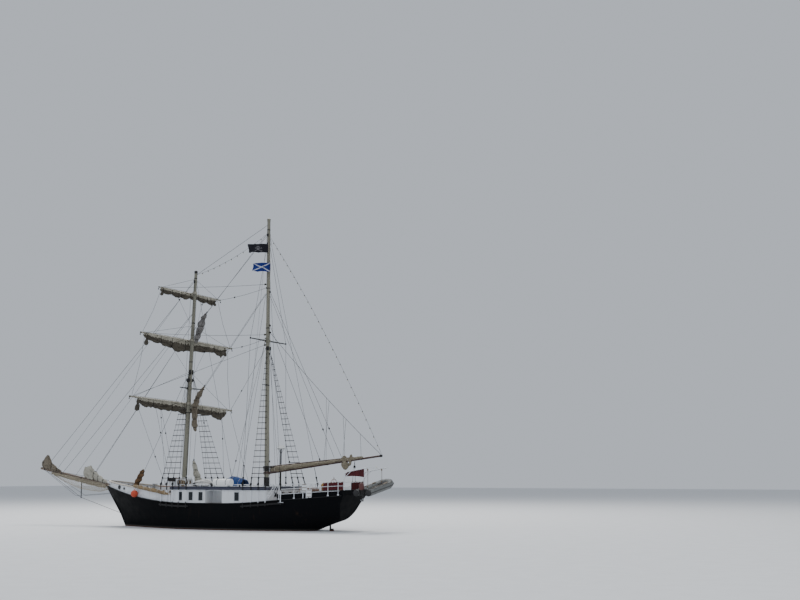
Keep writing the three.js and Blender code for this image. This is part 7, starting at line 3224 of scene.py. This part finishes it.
@dataclass
class Stage:
    """The floor, the soft lights and the camera."""

    eye: Point = (-50.343, 75.275, 4.07)
    heading: Point = (0.46039, -0.88772)
    pitch: float = 8.412
    lens: float = 53.1
    sensor: float = 36.0
    floor_half: float = 260.0
    aim: Point = (4, 0, 8)
    sky: tuple[float, ...] = (0.79, 0.85, 0.94, 1.0)
    sky_strength: float = 0.66
    lamps: tuple[tuple[str, Point, float, float, Colour], ...] = (
        ("key", (25, -35, 75), 50.0, 70000.0, (1.0, 0.98, 0.95)),
        ("fill", (-50, 45, 55), 80.0, 24000.0, (0.96, 0.98, 1.0)),
        ("side", (70, 45, 40), 40.0, 9000.0, (0.95, 0.97, 1.0))
    )

    def camera(self) -> None:
        """Puts the camera where the photograph was taken from."""
        data = bpy.data.cameras.new("camera")
        data.lens, data.sensor_width, data.clip_end = self.lens, self.sensor, 1000.0
        made = bpy.data.objects.new("camera", data)
        bpy.context.scene.collection.objects.link(made)
        rise = radians(self.pitch)
        way = Vector((self.heading[0] * cos(rise), self.heading[1] * cos(rise), sin(rise)))
        made.location = self.eye
        made.rotation_euler = way.to_track_quat("-Z", "Y").to_euler()
        bpy.context.scene.camera = made

    def floor(self) -> None:
        """Makes the pale floor at the water's surface."""
        builder = Builder()
        corners = [
            (x * self.floor_half, y * self.floor_half, 0.0) for x, y in ((-1, -1), (1, -1), (1, 1), (-1, 1))
        ]
        builder.face([builder.bm.verts.new(c) for c in corners])
        made = builder.piece("floor", Look.FLOOR, None)
        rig.stage(made)

    def light(self, name: str, place: Point, size: float, power: float, tint: Colour) -> None:
        """Adds one large soft lamp that faces the ship.

        Args:
            name: the lamp's name.
            place: where it hangs.
            size: its side.
            power: its power in watts.
            tint: its colour.
        """
        data = bpy.data.lights.new(name, "AREA")
        data.shape, data.size, data.energy, data.color = "SQUARE", size, power, tint
        made = bpy.data.objects.new(name, data)
        bpy.context.scene.collection.objects.link(made)
        made.location = place
        made.rotation_euler = (Vector(self.aim) - Vector(place)).to_track_quat("-Z", "Y").to_euler()

    def world(self) -> None:
        """Makes the pale, even sky."""
        sky = bpy.data.worlds.new("sky")
        bpy.context.scene.world = sky
        sky.use_nodes = True
        ground = sky.node_tree.nodes["Background"]
        ground.inputs[0].default_value = self.sky
        ground.inputs[1].default_value = self.sky_strength

    def build(self) -> None:
        """Builds the floor, the lights, the sky and the camera."""
        self.camera()
        self.floor()
        self.world()
        for lamp in self.lamps:
            self.light(*lamp)


def main() -> None:
    """Builds the ship piece by piece."""
    logging.basicConfig(level=logging.INFO, format="%(message)s")
    parts = (
        Stage(), Hull(), DeckHouse(), Spars(), Sails(), Rigging(), Foredeck(), Bow(), Quarterdeck(), Stern(),
        Flags(), Underwater()
    )
    for part in parts:
        part.build()
        log.info("%s built", type(part).__name__)
    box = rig.bounds()
    with open("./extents.json", "w") as out:
        json.dump({"cad": [list(p) for p in CAD_BOX], "visual": [list(p) for p in box]}, out)


if __name__ == "__main__":
    main()
